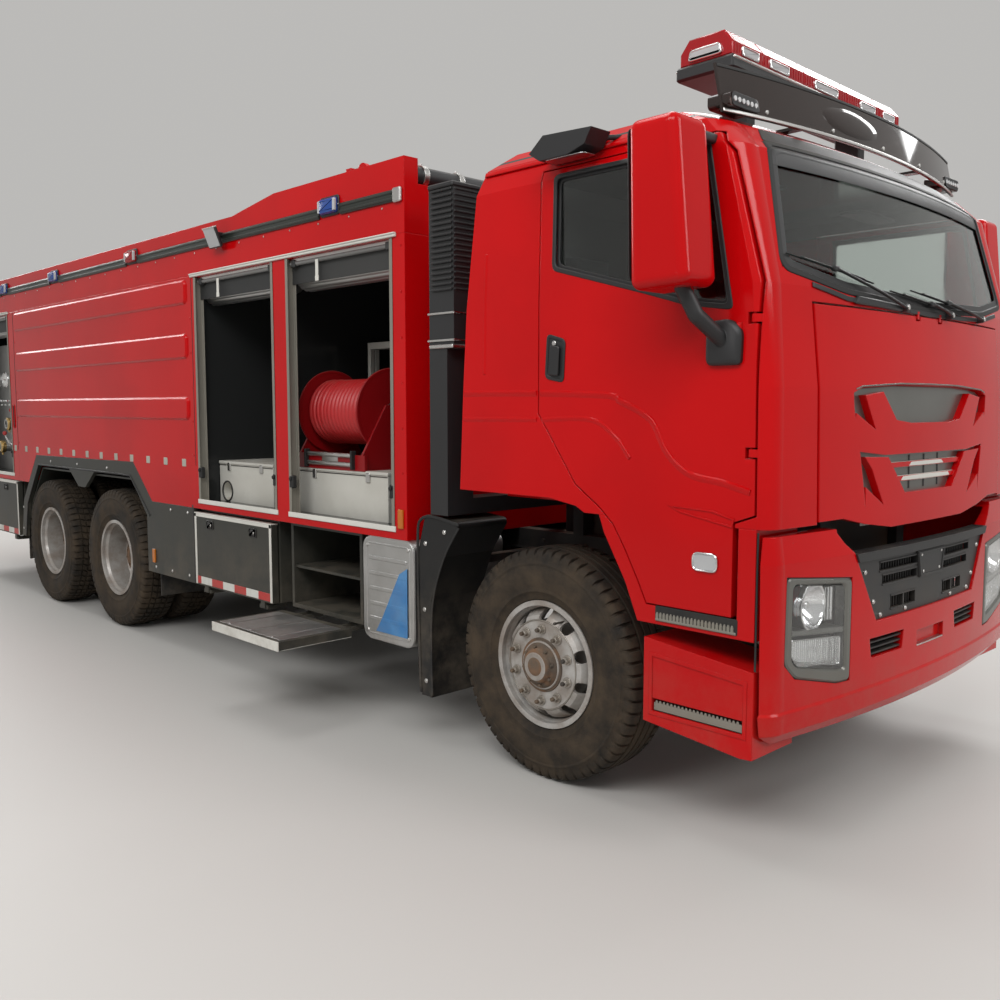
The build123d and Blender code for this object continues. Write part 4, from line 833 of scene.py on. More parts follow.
for side in ("right", "left"):
    nodeFinishes["knuckle_" + side] = "castMetal"
    nodeFinishes["front_rim_" + side] = "rimPaint"
    nodeFinishes["front_tyre_" + side] = "tyreRubber"
    nodeFinishes["door_" + side] = "cabPaint"
    nodeFinishes["door_glass_" + side] = "paneGlass"
    for axle in ("1", "2"):
        nodeFinishes["rear_rims_" + axle + "_" + side] = "rimPaint"
        nodeFinishes["rear_tyres_" + axle + "_" + side] = "tyreRubber"
    for flap in ("front", "middle", "rear"):
        nodeFinishes["flap_" + flap + "_" + side] = "greyPaint"
for nodeName, finish in nodeFinishes.items():
    mesh = nodes[nodeName].data
    mesh.materials.clear()
    mesh.materials.append(materials[finish])
print("CAD nodes finished:", len(nodeFinishes))

# Wheels

wheelLook = {
    "trackHalf": 1.030,
    "twinMiddle": 0.9275,
    "twinHalf": 0.175,
    "stations": {"1": -4.578, "2": -5.938},
    "axleHeight": 0.5425,
    "radius": 0.5425,
    "pitches": 60,
    "grooveDepth": 0.013,
    "notchDepth": 0.015,
    "nutCircle": 0.1675,
    "nuts": 10,
    "nutSize": 0.0165,
}


def tyrePiece(x, y, drive):
    # Half section from the middle outwards: offset, radius, how deep the cross notches cut it
    look = wheelLook
    top, groove, notch = look["radius"], look["grooveDepth"], look["notchDepth"]
    inner = 1.0 if drive else 0.0
    half = [
        (0.000, top, inner), (0.017, top, inner), (0.019, top - groove, 0), (0.027, top - groove, 0),
        (0.029, top - 0.0005, inner), (0.061, top - 0.001, inner), (0.063, top - groove, 0),
        (0.072, top - groove, 0), (0.074, top - 0.0015, 0.3), (0.100, top - 0.003, 1), (0.119, top - 0.006, 1),
        (0.130, top - 0.012, 1), (0.137, top - 0.024, 1), (0.1395, top - 0.040, 0.8), (0.1410, top - 0.052, 0),
        (0.1440, 0.476, 0), (0.1465, 0.473, 0), (0.1470, 0.465, 0), (0.1455, 0.462, 0), (0.1490, 0.440, 0),
        (0.1500, 0.415, 0), (0.1490, 0.390, 0), (0.1450, 0.366, 0), (0.1415, 0.350, 0), (0.1425, 0.347, 0),
        (0.1410, 0.340, 0), (0.1370, 0.337, 0), (0.1310, 0.322, 0), (0.1240, 0.310, 0), (0.1230, 0.304, 0),
        (0.1190, 0.301, 0), (0.1130, 0.289, 0),
    ]
    rows = [(-a, r, n) for a, r, n in reversed(half[1:])] + half
    angles = []
    for i in range(look["pitches"]):
        for part, low in ((0.0, 0), (0.70, 0), (0.75, 1), (0.95, 1)):
            angles.append((2 * math.pi * (i + part) / look["pitches"], low))
    points = []
    for offset, radius, depth in rows:
        for angle, low in angles:
            lean = 0.022 if offset < -0.03 else (-0.022 if offset > 0.03 else 0.0)
            r = radius - low * depth * notch
            points.append((x + r * math.cos(angle + lean * inner), y + offset,
                           look["axleHeight"] + r * math.sin(angle + lean * inner)))
    piece = newPiece()
    addFaces(piece, points, ringFaces(len(rows), len(angles), joined=True))
    return turnOutward(piece)


def wheelNuts(piece, x, face, out):
    # Hexagon nuts on round flanges, with the stud ends showing; out is -1 or 1
    size, way = wheelLook["nutSize"], Vector((0, out, 0))
    for u, w in around(wheelLook["nuts"], wheelLook["nutCircle"], 0.5):
        spot = Vector((x + u, face, wheelLook["axleHeight"] + w))
        addRod(piece, spot, spot + way * 0.006, size * 1.45, 0, sides=20, edge=0.0015)
        addRod(piece, spot + way * 0.005, spot + way * 0.027, size, 0, sides=6, edge=0.002)
        addRod(piece, spot + way * 0.026, spot + way * 0.043, size * 0.58, 1, sides=12, edge=0.002)


def hubPiece(x, face, out, outer, reach):
    # Hub with stepped rings, cap bolts and a domed cap; face is the disc's outer face
    piece = newPiece()
    z = wheelLook["axleHeight"]
    profile = [(0.000, outer + 0.022), (0.004, outer + 0.020), (0.006, outer + 0.004), (0.012, outer),
               (reach * 0.45, outer * 0.92), (reach * 0.55, outer * 0.80), (reach * 0.82, outer * 0.74),
               (reach * 0.92, outer * 0.66), (reach * 0.94, outer * 0.42), (reach * 0.99, outer * 0.38),
               (reach, outer * 0.24), (reach, 0.0004)]
    addRing(piece, profile, (x, face, z), closed=False, side=out)
    for u, w in around(8, outer * 0.84, 0.25):
        addBolt(piece, (x + u, face + out * reach * 0.50, z + w), (0, out, 0), 0.0075, 1, 0.010)
    return piece


def addWheels():
    look = wheelLook
    for side, name in ((-1, "right"), (1, "left")):
        body = "front_wheel_" + name
        y = side * look["trackHalf"]
        makeObject(tyrePiece(0, y, False), "tyre_front_" + name, body, ["tyreRubber"],
                   replaces=("front_tyre_" + name,))
        nuts = newPiece()
        wheelNuts(nuts, 0, y + side * 0.136, side)
        addTurned(nuts, [(0.1365, 0.212), (0.139, 0.2085), (0.139, 0.2065), (0.1365, 0.204)],
                  (0, y, look["axleHeight"]), axis="y", sides=64, slot=0, closed=True, side=side)
        a = math.radians(64)
        valve = Vector((0.238 * math.cos(a), y + side * 0.100, look["axleHeight"] + 0.238 * math.sin(a)))
        stem, cap = valve + Vector((0, side * 0.055, 0)), valve + Vector((0, side * 0.070, 0))
        addRod(nuts, valve, stem, 0.005, 1, sides=10)
        addRod(nuts, stem, cap, 0.0065, 1, sides=10, edge=0.001)
        makeObject(nuts, "wheel_nuts_front_" + name, body, ["nutSteel", "castMetal"])
        hub = hubPiece(0, y + side * 0.1362, side, 0.105, 0.052)
        makeObject(hub, "hub_front_" + name, body, ["hubRust", "castMetal"])
        for number, x in look["stations"].items():
            body = "rear_wheels_" + number + "_" + name
            middle = side * look["twinMiddle"]
            pair = tyrePiece(x, middle - look["twinHalf"], True)
            merge(pair, tyrePiece(x, middle + look["twinHalf"], True))
            makeObject(pair, "tyres_rear_" + number + "_" + name, body, ["tyreRubber"],
                       replaces=("rear_tyres_" + number + "_" + name,))
            nuts = newPiece()
            wheelNuts(nuts, x, middle + side * 0.012, side)
            makeObject(nuts, "wheel_nuts_rear_" + number + "_" + name, body, ["nutSteel", "castMetal"])
            hub = hubPiece(x, middle + side * 0.168, side, 0.092, 0.018)
            makeObject(hub, "hub_rear_" + number + "_" + name, body, ["hubRust", "castMetal"])


addWheels()
print("wheels dressed")

# Equipment body, outside

bodyLook = {
    "side": 1.250,
    "front": -0.880,
    "rear": -8.300,
    "openings": ((-1.990, -0.980), (-3.120, -2.130), (-8.150, -6.800)),   # rear and front x of each
    "openingLow": 1.090,
    "openingHigh": 2.585,
    "stripe": (2.760, 2.820),
    "lampStations": (-1.520, -4.040, -5.570, -6.820),
    "reflectors": (-6.730, -3.330, 13, 1.345),
    "slatPitch": 0.038,
    "tailLamps": ((1.180, 1.500, (0, 0, 1, 2)), (2.640, 2.760, (3,))),    # foot, top, slot of each field
    "ambers": ((-0.925, 1.150), (-3.840, 0.640)),
    "seams": (-3.160, -6.660),
    "handRecess": (-6.735, 1.640, 0.026, 0.085),     # x, z, radius, half of its straight part
}


def addStripe():
    # Dark rubbing strip along the whole side, broken by the lamps, with rivets below
    side = bodyLook["side"]
    low, high = bodyLook["stripe"]
    strip, metal = newPiece(), newPiece()
    stops = sorted([bodyLook["rear"]] + [x + k for x in bodyLook["lampStations"] for k in (-0.098, 0.098)]
                   + [bodyLook["front"] - 0.03])
    for start, stop in zip(stops[0::2], stops[1::2]):
        addBox(strip, start, stop, -side - 0.012, -side, low, high, 0, 0.004)
        addBox(strip, start, stop, -side - 0.017, -side - 0.010, low + 0.008, low + 0.020, 0, 0.002)
        addBox(strip, start, stop, -side - 0.017, -side - 0.010, high - 0.020, high - 0.008, 0, 0.002)
    addBox(metal, bodyLook["front"] - 0.075, bodyLook["front"] - 0.012, -side - 0.020, -side, low - 0.006,
           high + 0.006, 0, 0.006)
    for x in spaced(bodyLook["front"] - 0.18, bodyLook["rear"] + 0.1, -0.29):
        addRod(metal, (x, -side, low - 0.020), (x, -side - 0.0035, low - 0.020), 0.0055, 0, sides=10, edge=0.001)
    makeObject(bothSides(strip), "side_stripes", "chassis", ["stripeBlack"])
    makeObject(bothSides(metal), "stripe_fittings", "chassis", ["satinSteel"])


def addSideLamps():
    # Marker lamps let into the stripe: blue, red, blue, blue from the front
    side = bodyLook["side"]
    housings = newPiece()
    lens = newPiece()
    for i, x in enumerate(bodyLook["lampStations"]):
        outline = rectangle(x - 0.090, x + 0.090, 2.765, 2.870, 0.022, 4)
        addPlate(housings, outline, "y", -side - 0.010, -side, 0, 0.003)
        slot = 1 if i == 1 else 0
        outline = rectangle(x - 0.078, x + 0.078, 2.777, 2.858, 0.016, 4)
        rings = [lifted(outline, "y", -side - 0.008), lifted(outline, "y", -side - 0.022),
                 lifted(inset(outline, 0.006), "y", -side - 0.031),
                 lifted(inset(outline, 0.018), "y", -side - 0.034)]
        addLoft(lens, rings, slot)
        for k in (-1, 1):
            end = rectangle(x + k * 0.070 - 0.012, x + k * 0.070 + 0.012, 2.785, 2.850, 0.006, 3)
            addPlate(lens, end, "y", -side - 0.0335, -side - 0.020, 2, 0.002)
            addRod(housings, (x + k * 0.083, -side - 0.010, 2.818), (x + k * 0.083, -side - 0.013, 2.818), 0.0045,
                   1, sides=10)
    makeObject(bothSides(housings), "side_lamp_bases", "chassis", ["blackPlastic", "satinSteel"],
               replaces=("body_lamps",))
    makeObject(bothSides(lens), "side_lamp_lenses", "chassis", ["blueLens", "redLens", "clearLens"])


def addFloodLamps():
    # Tilted lamps that light the ground: ribbed housing, bright rim, clear face
    lamp = newPiece()
    turn = Matrix.Rotation(math.radians(22), 3, "X")
    place = Vector((-2.720, -bodyLook["side"] - 0.062, 2.790))

    def placePlate(outline, low, high, slot, edge=0.002):
        part = newPiece()
        addPlate(part, outline, "y", low, high, slot, edge)
        part["points"] = [place + turn @ Vector(p) for p in part["points"]]
        merge(lamp, part)

    frameOutline = rectangle(-0.075, 0.075, -0.065, 0.065, 0.012, 3)
    placePlate(frameOutline, -0.012, 0.006, 0, 0.004)
    placePlate(inset(frameOutline, 0.008), -0.015, -0.010, 2, 0.001)
    placePlate(rectangle(-0.073, 0.073, 0.057, 0.066), -0.016, 0.010, 1)
    for k in range(7):
        placePlate(rectangle(-0.062 + k * 0.019, -0.056 + k * 0.019, -0.055, 0.055), 0.006, 0.015, 0, 0.001)
    bracket = [(-2.745, -bodyLook["side"] - 0.055), (-2.695, -bodyLook["side"] - 0.055),
               (-2.695, -bodyLook["side"]), (-2.745, -bodyLook["side"])]
    addPlate(lamp, bracket, "z", 2.795, 2.825, 0, 0.004)
    makeObject(bothSides(lamp), "flood_lamps", "chassis", ["blackPlastic", "satinSteel", "clearLens"])


def addTailLamps():
    # Ribbed lenses in dark boxes at the rear corners
    rear = bodyLook["rear"]
    lamp = newPiece()
    for low, high, slots in bodyLook["tailLamps"]:
        addBox(lamp, rear - 0.012, rear, -0.900, -1.150, low, high, 4, 0.005)
        count = len(slots)
        for k, slot in enumerate(slots):
            a = low + 0.012 + (high - low - 0.024) * k / count
            b = low + 0.012 + (high - low - 0.024) * (k + 1) / count - 0.006
            outline = rectangle(-1.140, -0.910, a, b, 0.012, 3)
            addPlate(lamp, outline, "x", rear - 0.024, rear - 0.008, slot, 0.005)
            for n in range(5):
                y = -1.115 + n * 0.045
                addBox(lamp, rear - 0.0255, rear - 0.022, y, y + 0.008, a + 0.012, b - 0.012, slot, 0.001)
    makeObject(bothSides(lamp), "tail_lamps", "chassis",
               ["redLens", "amberLens", "clearLens", "blueLens", "blackPlastic"])


def slatCurtain(piece, x0, x1, y, low, high, out, slot):
    # Interlocking slats, each bowed outwards, hanging at y; out is -1 or 1
    pitch = bodyLook["slatPitch"]
    count = int((high - low) / pitch)
    step = (high - low) / count
    section = [(0.0, 0.000), (0.06, 0.006), (0.25, 0.0085), (0.5, 0.0095), (0.75, 0.0085), (0.94, 0.006)]
    front = []
    for k in range(count):
        front += [(low + step * (k + t), out * depth) for t, depth in section]
    front.append((high, 0.0))
    outline = [(y + d, z) for z, d in front] + [(y - out * 0.004, high), (y - out * 0.004, low)]
    addLoft(piece, [lifted(outline, "x", x) for x in (x0, x1)], slot)


def addShutters():
    # Right side rolled up under the header, left side and rear shut
    low, high = bodyLook["openingLow"], bodyLook["openingHigh"]
    side = bodyLook["side"]
    rolled, shut = newPiece(), newPiece()
    for x0, x1 in bodyLook["openings"]:
        roll = []
        for k in range(96):
            a = 2 * math.pi * k / 96
            r = 0.084 + 0.004 * abs(math.sin(8 * a))
            roll.append((-side + 0.150 + r * math.cos(a), high - 0.090 + r * math.sin(a)))
        addLoft(rolled, [lifted(roll, "x", x) for x in (x0 + 0.012, x1 - 0.012)], 0)
        # dark hood before the roll, a sheet of painted shade; bottom rail, brackets and pull strap
        addBox(rolled, x0 + 0.004, x1 - 0.004, -side + 0.045, -side + 0.050, high - 0.145, high, 1, 0.001)
        addRod(rolled, (x0 + 0.02, -side + 0.030, high - 0.030), (x1 - 0.02, -side + 0.030, high - 0.030), 0.013,
               2, sides=16)
        addBox(rolled, x0 + 0.01, x1 - 0.01, -side + 0.022, -side + 0.040, high - 0.030, high, 3, 0.002)
        for t in (0.06, 0.94):
            x = x0 + (x1 - x0) * t
            addBox(rolled, x - 0.018, x + 0.018, -side + 0.012, -side + 0.046, high - 0.052, high - 0.010, 1, 0.004)
        x = x0 + (x1 - x0) * 0.30
        addBox(rolled, x - 0.014, x + 0.014, -side + 0.014, -side + 0.017, high - 0.135, high - 0.030, 4, 0.0005)
        addBox(rolled, x - 0.016, x + 0.016, -side + 0.012, -side + 0.019, high - 0.150, high - 0.120, 4, 0.002)
        slatCurtain(shut, x0 + 0.006, x1 - 0.006, side - 0.030, low + 0.055, high, 1, 0)
        addBox(shut, x0 + 0.006, x1 - 0.006, side - 0.045, side - 0.010, low + 0.002, low + 0.060, 1, 0.006)
        middle = (x0 + x1) / 2
        addRod(shut, (middle - 0.16, side + 0.018, low + 0.030), (middle + 0.16, side + 0.018, low + 0.030), 0.009,
               2, sides=14)
        for t in (-0.16, 0.16):
            addBox(shut, middle + t - 0.012, middle + t + 0.012, side - 0.012, side + 0.026, low + 0.018,
                   low + 0.042, 2, 0.003)
    # the wide shutter across the back
    rear = bodyLook["rear"]
    turned = newPiece()
    slatCurtain(turned, -0.594, 0.594, 0, low + 0.055, high, 1, 0)
    turned["points"] = [(rear + 0.014 - p[1], p[0], p[2]) for p in (Vector(q) for q in turned["points"])]
    merge(shut, turnOutward(turned))
    addBox(shut, rear + 0.002, rear + 0.028, -0.594, 0.594, low + 0.002, low + 0.060, 1, 0.006)
    addRod(shut, (rear - 0.012, -0.18, low + 0.030), (rear - 0.012, 0.18, low + 0.030), 0.009, 2, sides=14)
    for y in (-0.18, 0.18):
        addBox(shut, rear - 0.020, rear + 0.006, y - 0.012, y + 0.012, low + 0.018, low + 0.042, 2, 0.003)
    makeObject(rolled, "shutters_rolled", "chassis",
               ["aluminium", "darkPartsAndShade", "bareGreyPaint", "satinSteel", "edgeWhite"],
               replaces=("roller_shutters",))
    makeObject(shut, "shutters_shut", "chassis", ["aluminium", "satinSteel", "blackPlastic"])


def addOpeningTrim():
    # Channels beside the openings, white header strip, sills, rubber latches
    side = bodyLook["side"]
    low, high = bodyLook["openingLow"], bodyLook["openingHigh"]
    trim = newPiece()
    for x0, x1 in bodyLook["openings"]:
        for x, way in ((x0, 1), (x1, -1)):
            addBox(trim, x, x + way * 0.005, -side - 0.003, -side + 0.058, low, high, 0, 0.001)
            addBox(trim, x, x + way * 0.024, -side - 0.004, -side + 0.002, low, high, 0, 0.001)
            addBox(trim, x, x + way * 0.024, -side + 0.052, -side + 0.058, low, high, 0, 0.001)
            z = low + 0.16
            addBox(trim, x + way * 0.004, x + way * 0.042, -side - 0.006, -side + 0.026, z, z + 0.075, 2, 0.006)
            addRod(trim, (x + way * 0.026, -side - 0.005, z + 0.055), (x + way * 0.026, -side - 0.016, z + 0.055),
                   0.011, 2, sides=14, edge=0.002)
        addBox(trim, x0 - 0.010, x1 + 0.010, -side - 0.004, -side + 0.060, low, low + 0.006, 1, 0.001)
        addBox(trim, x0 - 0.010, x1 + 0.010, -side - 0.007, -side + 0.001, low - 0.012, low + 0.018, 1, 0.002)
    header = ((bodyLook["openings"][1][0] - 0.035, bodyLook["openings"][0][1] + 0.035),
              (bodyLook["openings"][2][0] - 0.03, bodyLook["openings"][2][1] + 0.03))
    for x0, x1 in header:
        addBox(trim, x0, x1, -side - 0.014, -side + 0.001, high + 0.002, high + 0.022, 1, 0.003)
        addBox(trim, x0, x1, -side - 0.020, -side - 0.002, high + 0.016, high + 0.024, 1, 0.002)
    makeObject(bothSides(trim), "opening_trim", "chassis", ["channelGrey", "edgeWhite", "blackRubber"])


def addReflectors():
    # A row of pale squares along the side, and amber markers near the wheels
    side = bodyLook["side"]
    x0, x1, count, z = bodyLook["reflectors"]
    piece = newPiece()
    for i in range(count):
        x = x0 + (x1 - x0) * i / (count - 1)
        addPlate(piece, rectangle(x - 0.028, x + 0.028, z - 0.026, z + 0.026, 0.004, 2), "y", -side - 0.003,
                 -side + 0.001, 0, 0.001)
    for x, z in bodyLook["ambers"]:
        addPlate(piece, rectangle(x - 0.020, x + 0.020, z - 0.050, z + 0.050, 0.006, 3), "y", -side - 0.012,
                 -side + 0.001, 1, 0.003)
    makeObject(bothSides(piece), "side_reflectors", "chassis", ["reflectorGrey", "amberLens"])


def addBodyPanels():
    # Pressed seams, screw lines and the oval hand recess of the tank side
    side = bodyLook["side"]
    piece = newPiece()
    for x in bodyLook["seams"]:
        addBox(piece, x - 0.0025, x + 0.0025, -side - 0.0015, -side + 0.001, 1.330, 2.600, 1, 0.0005)
    middleX, middleZ, radius, half = bodyLook["handRecess"]
    ring = [(middleX + u, middleZ + w + (half if w > 0 else -half)) for u, w in around(32, radius)]
    addPlate(piece, ring, "y", -side - 0.006, -side + 0.001, 0, 0.003, hole=inset(ring, 0.006))
    addPlate(piece, inset(ring, 0.005), "y", -side - 0.0015, -side + 0.001, 1, 0.0005)
    for x in (bodyLook["front"] - 0.03, -3.185, -6.635):
        for z in spaced(1.16 if x > -1 else 1.40, 2.55, 0.23):
            addRod(piece, (x, -side, z), (x, -side - 0.003, z), 0.006, 0, sides=10, edge=0.001)
    makeObject(bothSides(piece), "panel_seams", "chassis", ["redPaint", "blackRubber"])


addStripe()
addSideLamps()
addFloodLamps()
addTailLamps()
addShutters()
addOpeningTrim()
addReflectors()
addBodyPanels()
print("body sides dressed")

# Cab front, bumper and headlamps. Rows of the bowed surfaces:
# height, side y, side's front x, corner x, corner y, nose x

frontLook = {
    "cab": [
        (1.280, 1.245, 1.150, 1.205, 1.160, 1.262), (1.800, 1.245, 1.140, 1.192, 1.150, 1.250),
        (2.180, 1.245, 1.110, 1.150, 1.120, 1.222), (2.700, 1.232, 0.975, 1.015, 1.075, 1.095),
        (2.810, 1.195, 0.860, 0.910, 1.020, 0.985), (2.880, 1.120, 0.700, 0.770, 0.940, 0.850),
    ],
    "bumper": [
        (0.457, 1.205, 1.120, 1.178, 1.100, 1.268), (0.500, 1.238, 1.152, 1.212, 1.125, 1.296),
        (0.578, 1.245, 1.160, 1.220, 1.130, 1.300), (0.588, 1.238, 1.156, 1.214, 1.126, 1.294),
        (1.150, 1.245, 1.165, 1.215, 1.150, 1.288), (1.253, 1.240, 1.155, 1.200, 1.150, 1.268),
    ],
    "recess": [(0.576, 1.240), (0.600, 1.377), (0.633, 1.532), (0.665, 1.634), (0.686, 1.735), (0.688, 1.783),
               (0.620, 1.806), (0.300, 1.821)],
    "insertDepth": 0.028,
    "bends": (0.5, 0.578, 0.588, 1.15, 1.8, 2.18, 2.7, 2.81),      # heights where the faces fold
    "intake": [(0.250, 1.362), (0.386, 1.534)],
    "slats": ((1.414, 0.305), (1.474, 0.350)),                     # foot, half width
    "pins": (-0.150, 0.0, 0.150),
    "paintedHighlightLine": [(0.672, 1.800), (0.620, 1.812), (0.300, 1.827), (0.0, 1.829)],
    # foot, top, inner and outer y of each opening
    "grilles": ((0.992, 1.034, 0.135, 0.450), (1.050, 1.090, 0.135, 0.475), (0.880, 0.938, 0.145, 0.375)),
    "grilleBolts": ((0.590, 1.060), (0.520, 0.930), (0.460, 0.868), (0.240, 0.868)),
    "plateBolts": ((-0.085, 1.010), (0.085, 1.010), (-0.105, 1.085), (0.105, 1.085)),
    "plateRim": [(-0.118, 0.985), (0.118, 0.985), (0.145, 1.104), (-0.145, 1.104)],
    "lampFrame": [(0.705, 0.636), (0.705, 1.055), (1.135, 1.100), (1.135, 0.765), (1.070, 0.703), (0.800, 0.640)],
    "lampPocket": [(0.746, 0.693), (0.752, 1.030), (1.092, 1.064), (1.090, 0.778), (1.050, 0.745), (0.790, 0.697)],
    "lowerLamp": [(0.756, 0.708), (0.756, 0.826), (1.080, 0.853), (1.078, 0.786), (1.044, 0.756), (0.794, 0.710)],
    "upperLamp": (0.943, 0.966, 0.086),
    "windscreen": [(-1.090, 2.245), (-1.010, 2.735), (1.010, 2.735), (1.090, 2.245), (0.700, 2.180), (0.000, 2.150),
                   (-0.700, 2.180)],
    "glassBand": [(-1.000, 2.742), (1.000, 2.742), (0.940, 2.806), (-0.940, 2.806)],
    "glassShade": [(-1.020, 2.640), (1.020, 2.640), (1.004, 2.722), (-1.004, 2.722)],
    "cowl": [(-0.930, 2.190), (-0.700, 2.152), (-0.350, 2.138), (0.0, 2.134), (0.350, 2.138), (0.700, 2.152),
             (0.930, 2.190)],
    "spindleCover": [(-0.660, 2.135), (-0.640, 2.168), (-0.240, 2.152), (-0.205, 2.128)],
    "wipers": [
        # base, middle of the blade, tip, as (y, z)
        ((-0.273, 2.140), (-0.778, 2.262), (-1.060, 2.296)),
        ((0.191, 2.136), (-0.003, 2.178), (-0.560, 2.224)),
        ((0.617, 2.146), (0.188, 2.196), (-0.270, 2.232)),
    ],
}


def rowAt(rows, z):
    if z <= rows[0][0]:
        return rows[0]
    for low, high in zip(rows, rows[1:]):
        if z <= high[0]:
            t = (z - low[0]) / (high[0] - low[0])
            return tuple(a + (b - a) * t for a, b in zip(low, high))
    return rows[-1]


def frontX(rows, y, z):
    # How far forward the bowed face lies
    _, sideY, sideX, cornerX, cornerY, nose = rowAt(rows, z)
    y = abs(y)
    if y > cornerY:
        return cornerX + (sideX - cornerX) * min(1.0, (y - cornerY) / (sideY - cornerY))
    rise = nose - cornerX
    reach = (cornerY ** 2 + rise ** 2) / (2 * rise)
    return nose - reach + math.sqrt(reach ** 2 - y ** 2)


def sideY(rows, x, z):
    # How far out the cab's side lies
    _, far, sideX, cornerX, cornerY, _ = rowAt(rows, z)
    if x <= sideX:
        return far
    return far + (cornerY - far) * min(1.0, (x - sideX) / (cornerX - sideX))


def drape(piece, surface, axis, step=0.05, heights=()):
    # Cuts a flat piece into small faces and lays it on a surface; axis is the way across it
    mesh = bmesh.new()
    corners = [mesh.verts.new(p) for p in piece["points"]]
    for face, slot in zip(piece["faces"], piece["slots"]):
        made = mesh.faces.new([corners[i] for i in face])
        made.material_index = slot
    bmesh.ops.triangulate(mesh, faces=[f for f in mesh.faces if len(f.verts) > 4])
    low = min(v.co[axis] for v in mesh.verts)
    high = max(v.co[axis] for v in mesh.verts)
    cuts = [(axis, low + step * (k + 1)) for k in range(int((high - low) / step))] + [(2, z) for z in heights]
    for way, place in cuts:
        point, normal = [0, 0, 0], [0, 0, 0]
        point[way], normal[way] = place, 1
        bmesh.ops.bisect_plane(mesh, geom=mesh.verts[:] + mesh.edges[:] + mesh.faces[:], dist=1e-5,
                               plane_co=point, plane_no=normal)
    mesh.verts.index_update()
    across = 1 - axis
    points = []
    for vertex in mesh.verts:
        spot = list(vertex.co)
        spot[across] += surface(spot[axis], spot[2])
        points.append(tuple(spot))
    result = {"points": points, "faces": [[v.index for v in f.verts] for f in mesh.faces],
              "slots": [f.material_index for f in mesh.faces]}
    mesh.free()
    return result


def onCab(y, z):
    return frontX(frontLook["cab"], y, z)


def onBumper(y, z):
    return frontX(frontLook["bumper"], y, z)


def onSide(x, z):
    return -sideY(frontLook["cab"], x, z)


def bothHalves(half):
    return [(y, z) for y, z in half] + [(-y, z) for y, z in reversed(half)]


def frontPlate(piece, outline, low, high, slot=0, edge=0.002, hole=None, surface=onBumper, step=0.05):
    part = newPiece()
    addPlate(part, outline, "x", low, high, slot, edge, hole)
    merge(piece, drape(part, surface, 1, step, frontLook["bends"]))


def ribbonPlate(piece, path, width, low, high, slot, edge=0.002):
    # A strip of even width along a path of (y, z), laid on the cab's front
    frontPlate(piece, strip(path, width), low, high, slot, edge, surface=onCab)


def strip(path, width):
    # Outline of a strip of even width along an open path
    path = [Vector(p) for p in path]
    left, right = [], []
    for i, p in enumerate(path):
        before = path[max(0, i - 1)]
        after = path[min(len(path) - 1, i + 1)]
        along = (after - before).normalized()
        across = Vector((-along.y, along.x)) * (width / 2)
        left.append(tuple(p + across))
        right.append(tuple(p - across))
    return left + right[::-1]


def addFrontPanel():
    # Grey insert in the pressed recess, dark intake with pale slats and pins
    look = frontLook
    piece = newPiece()
    depth = look["insertDepth"]
    frontPlate(piece, inset(bothHalves(look["recess"]), 0.004), -depth - 0.001, -depth + 0.0012, 0, 0.0005,
               surface=onCab)
    frontPlate(piece, bothHalves(look["intake"]), -0.052, -0.044, 1, 0.001, surface=onCab)
    for z, half in look["slats"]:
        frontPlate(piece, rectangle(-half - 0.006, half + 0.006, z - 0.001, z + 0.023, 0.006, 3), -0.034, -0.011,
                   2, 0.004, surface=onCab)
    for y in look["pins"]:
        frontPlate(piece, rectangle(y - 0.006, y + 0.006, 1.378, 1.522), -0.040, -0.024, 1, 0.002, surface=onCab)
    for k in range(9):
        z = 1.384 + k * 0.016
        frontPlate(piece, rectangle(-0.34, 0.34, z, z + 0.006), -0.043, -0.038, 1, 0.001, surface=onCab)
    # thin pale strip along the top edge of the recess: a painted highlight
    top = look["paintedHighlightLine"]
    ribbonPlate(piece, top + [(-y, z) for y, z in reversed(top[:-1])], 0.006, 0.003, 0.006, 0)
    makeObject(piece, "panel_insert", "front_panel", ["lampHousing", "blackPlastic", "edgeWhite"])


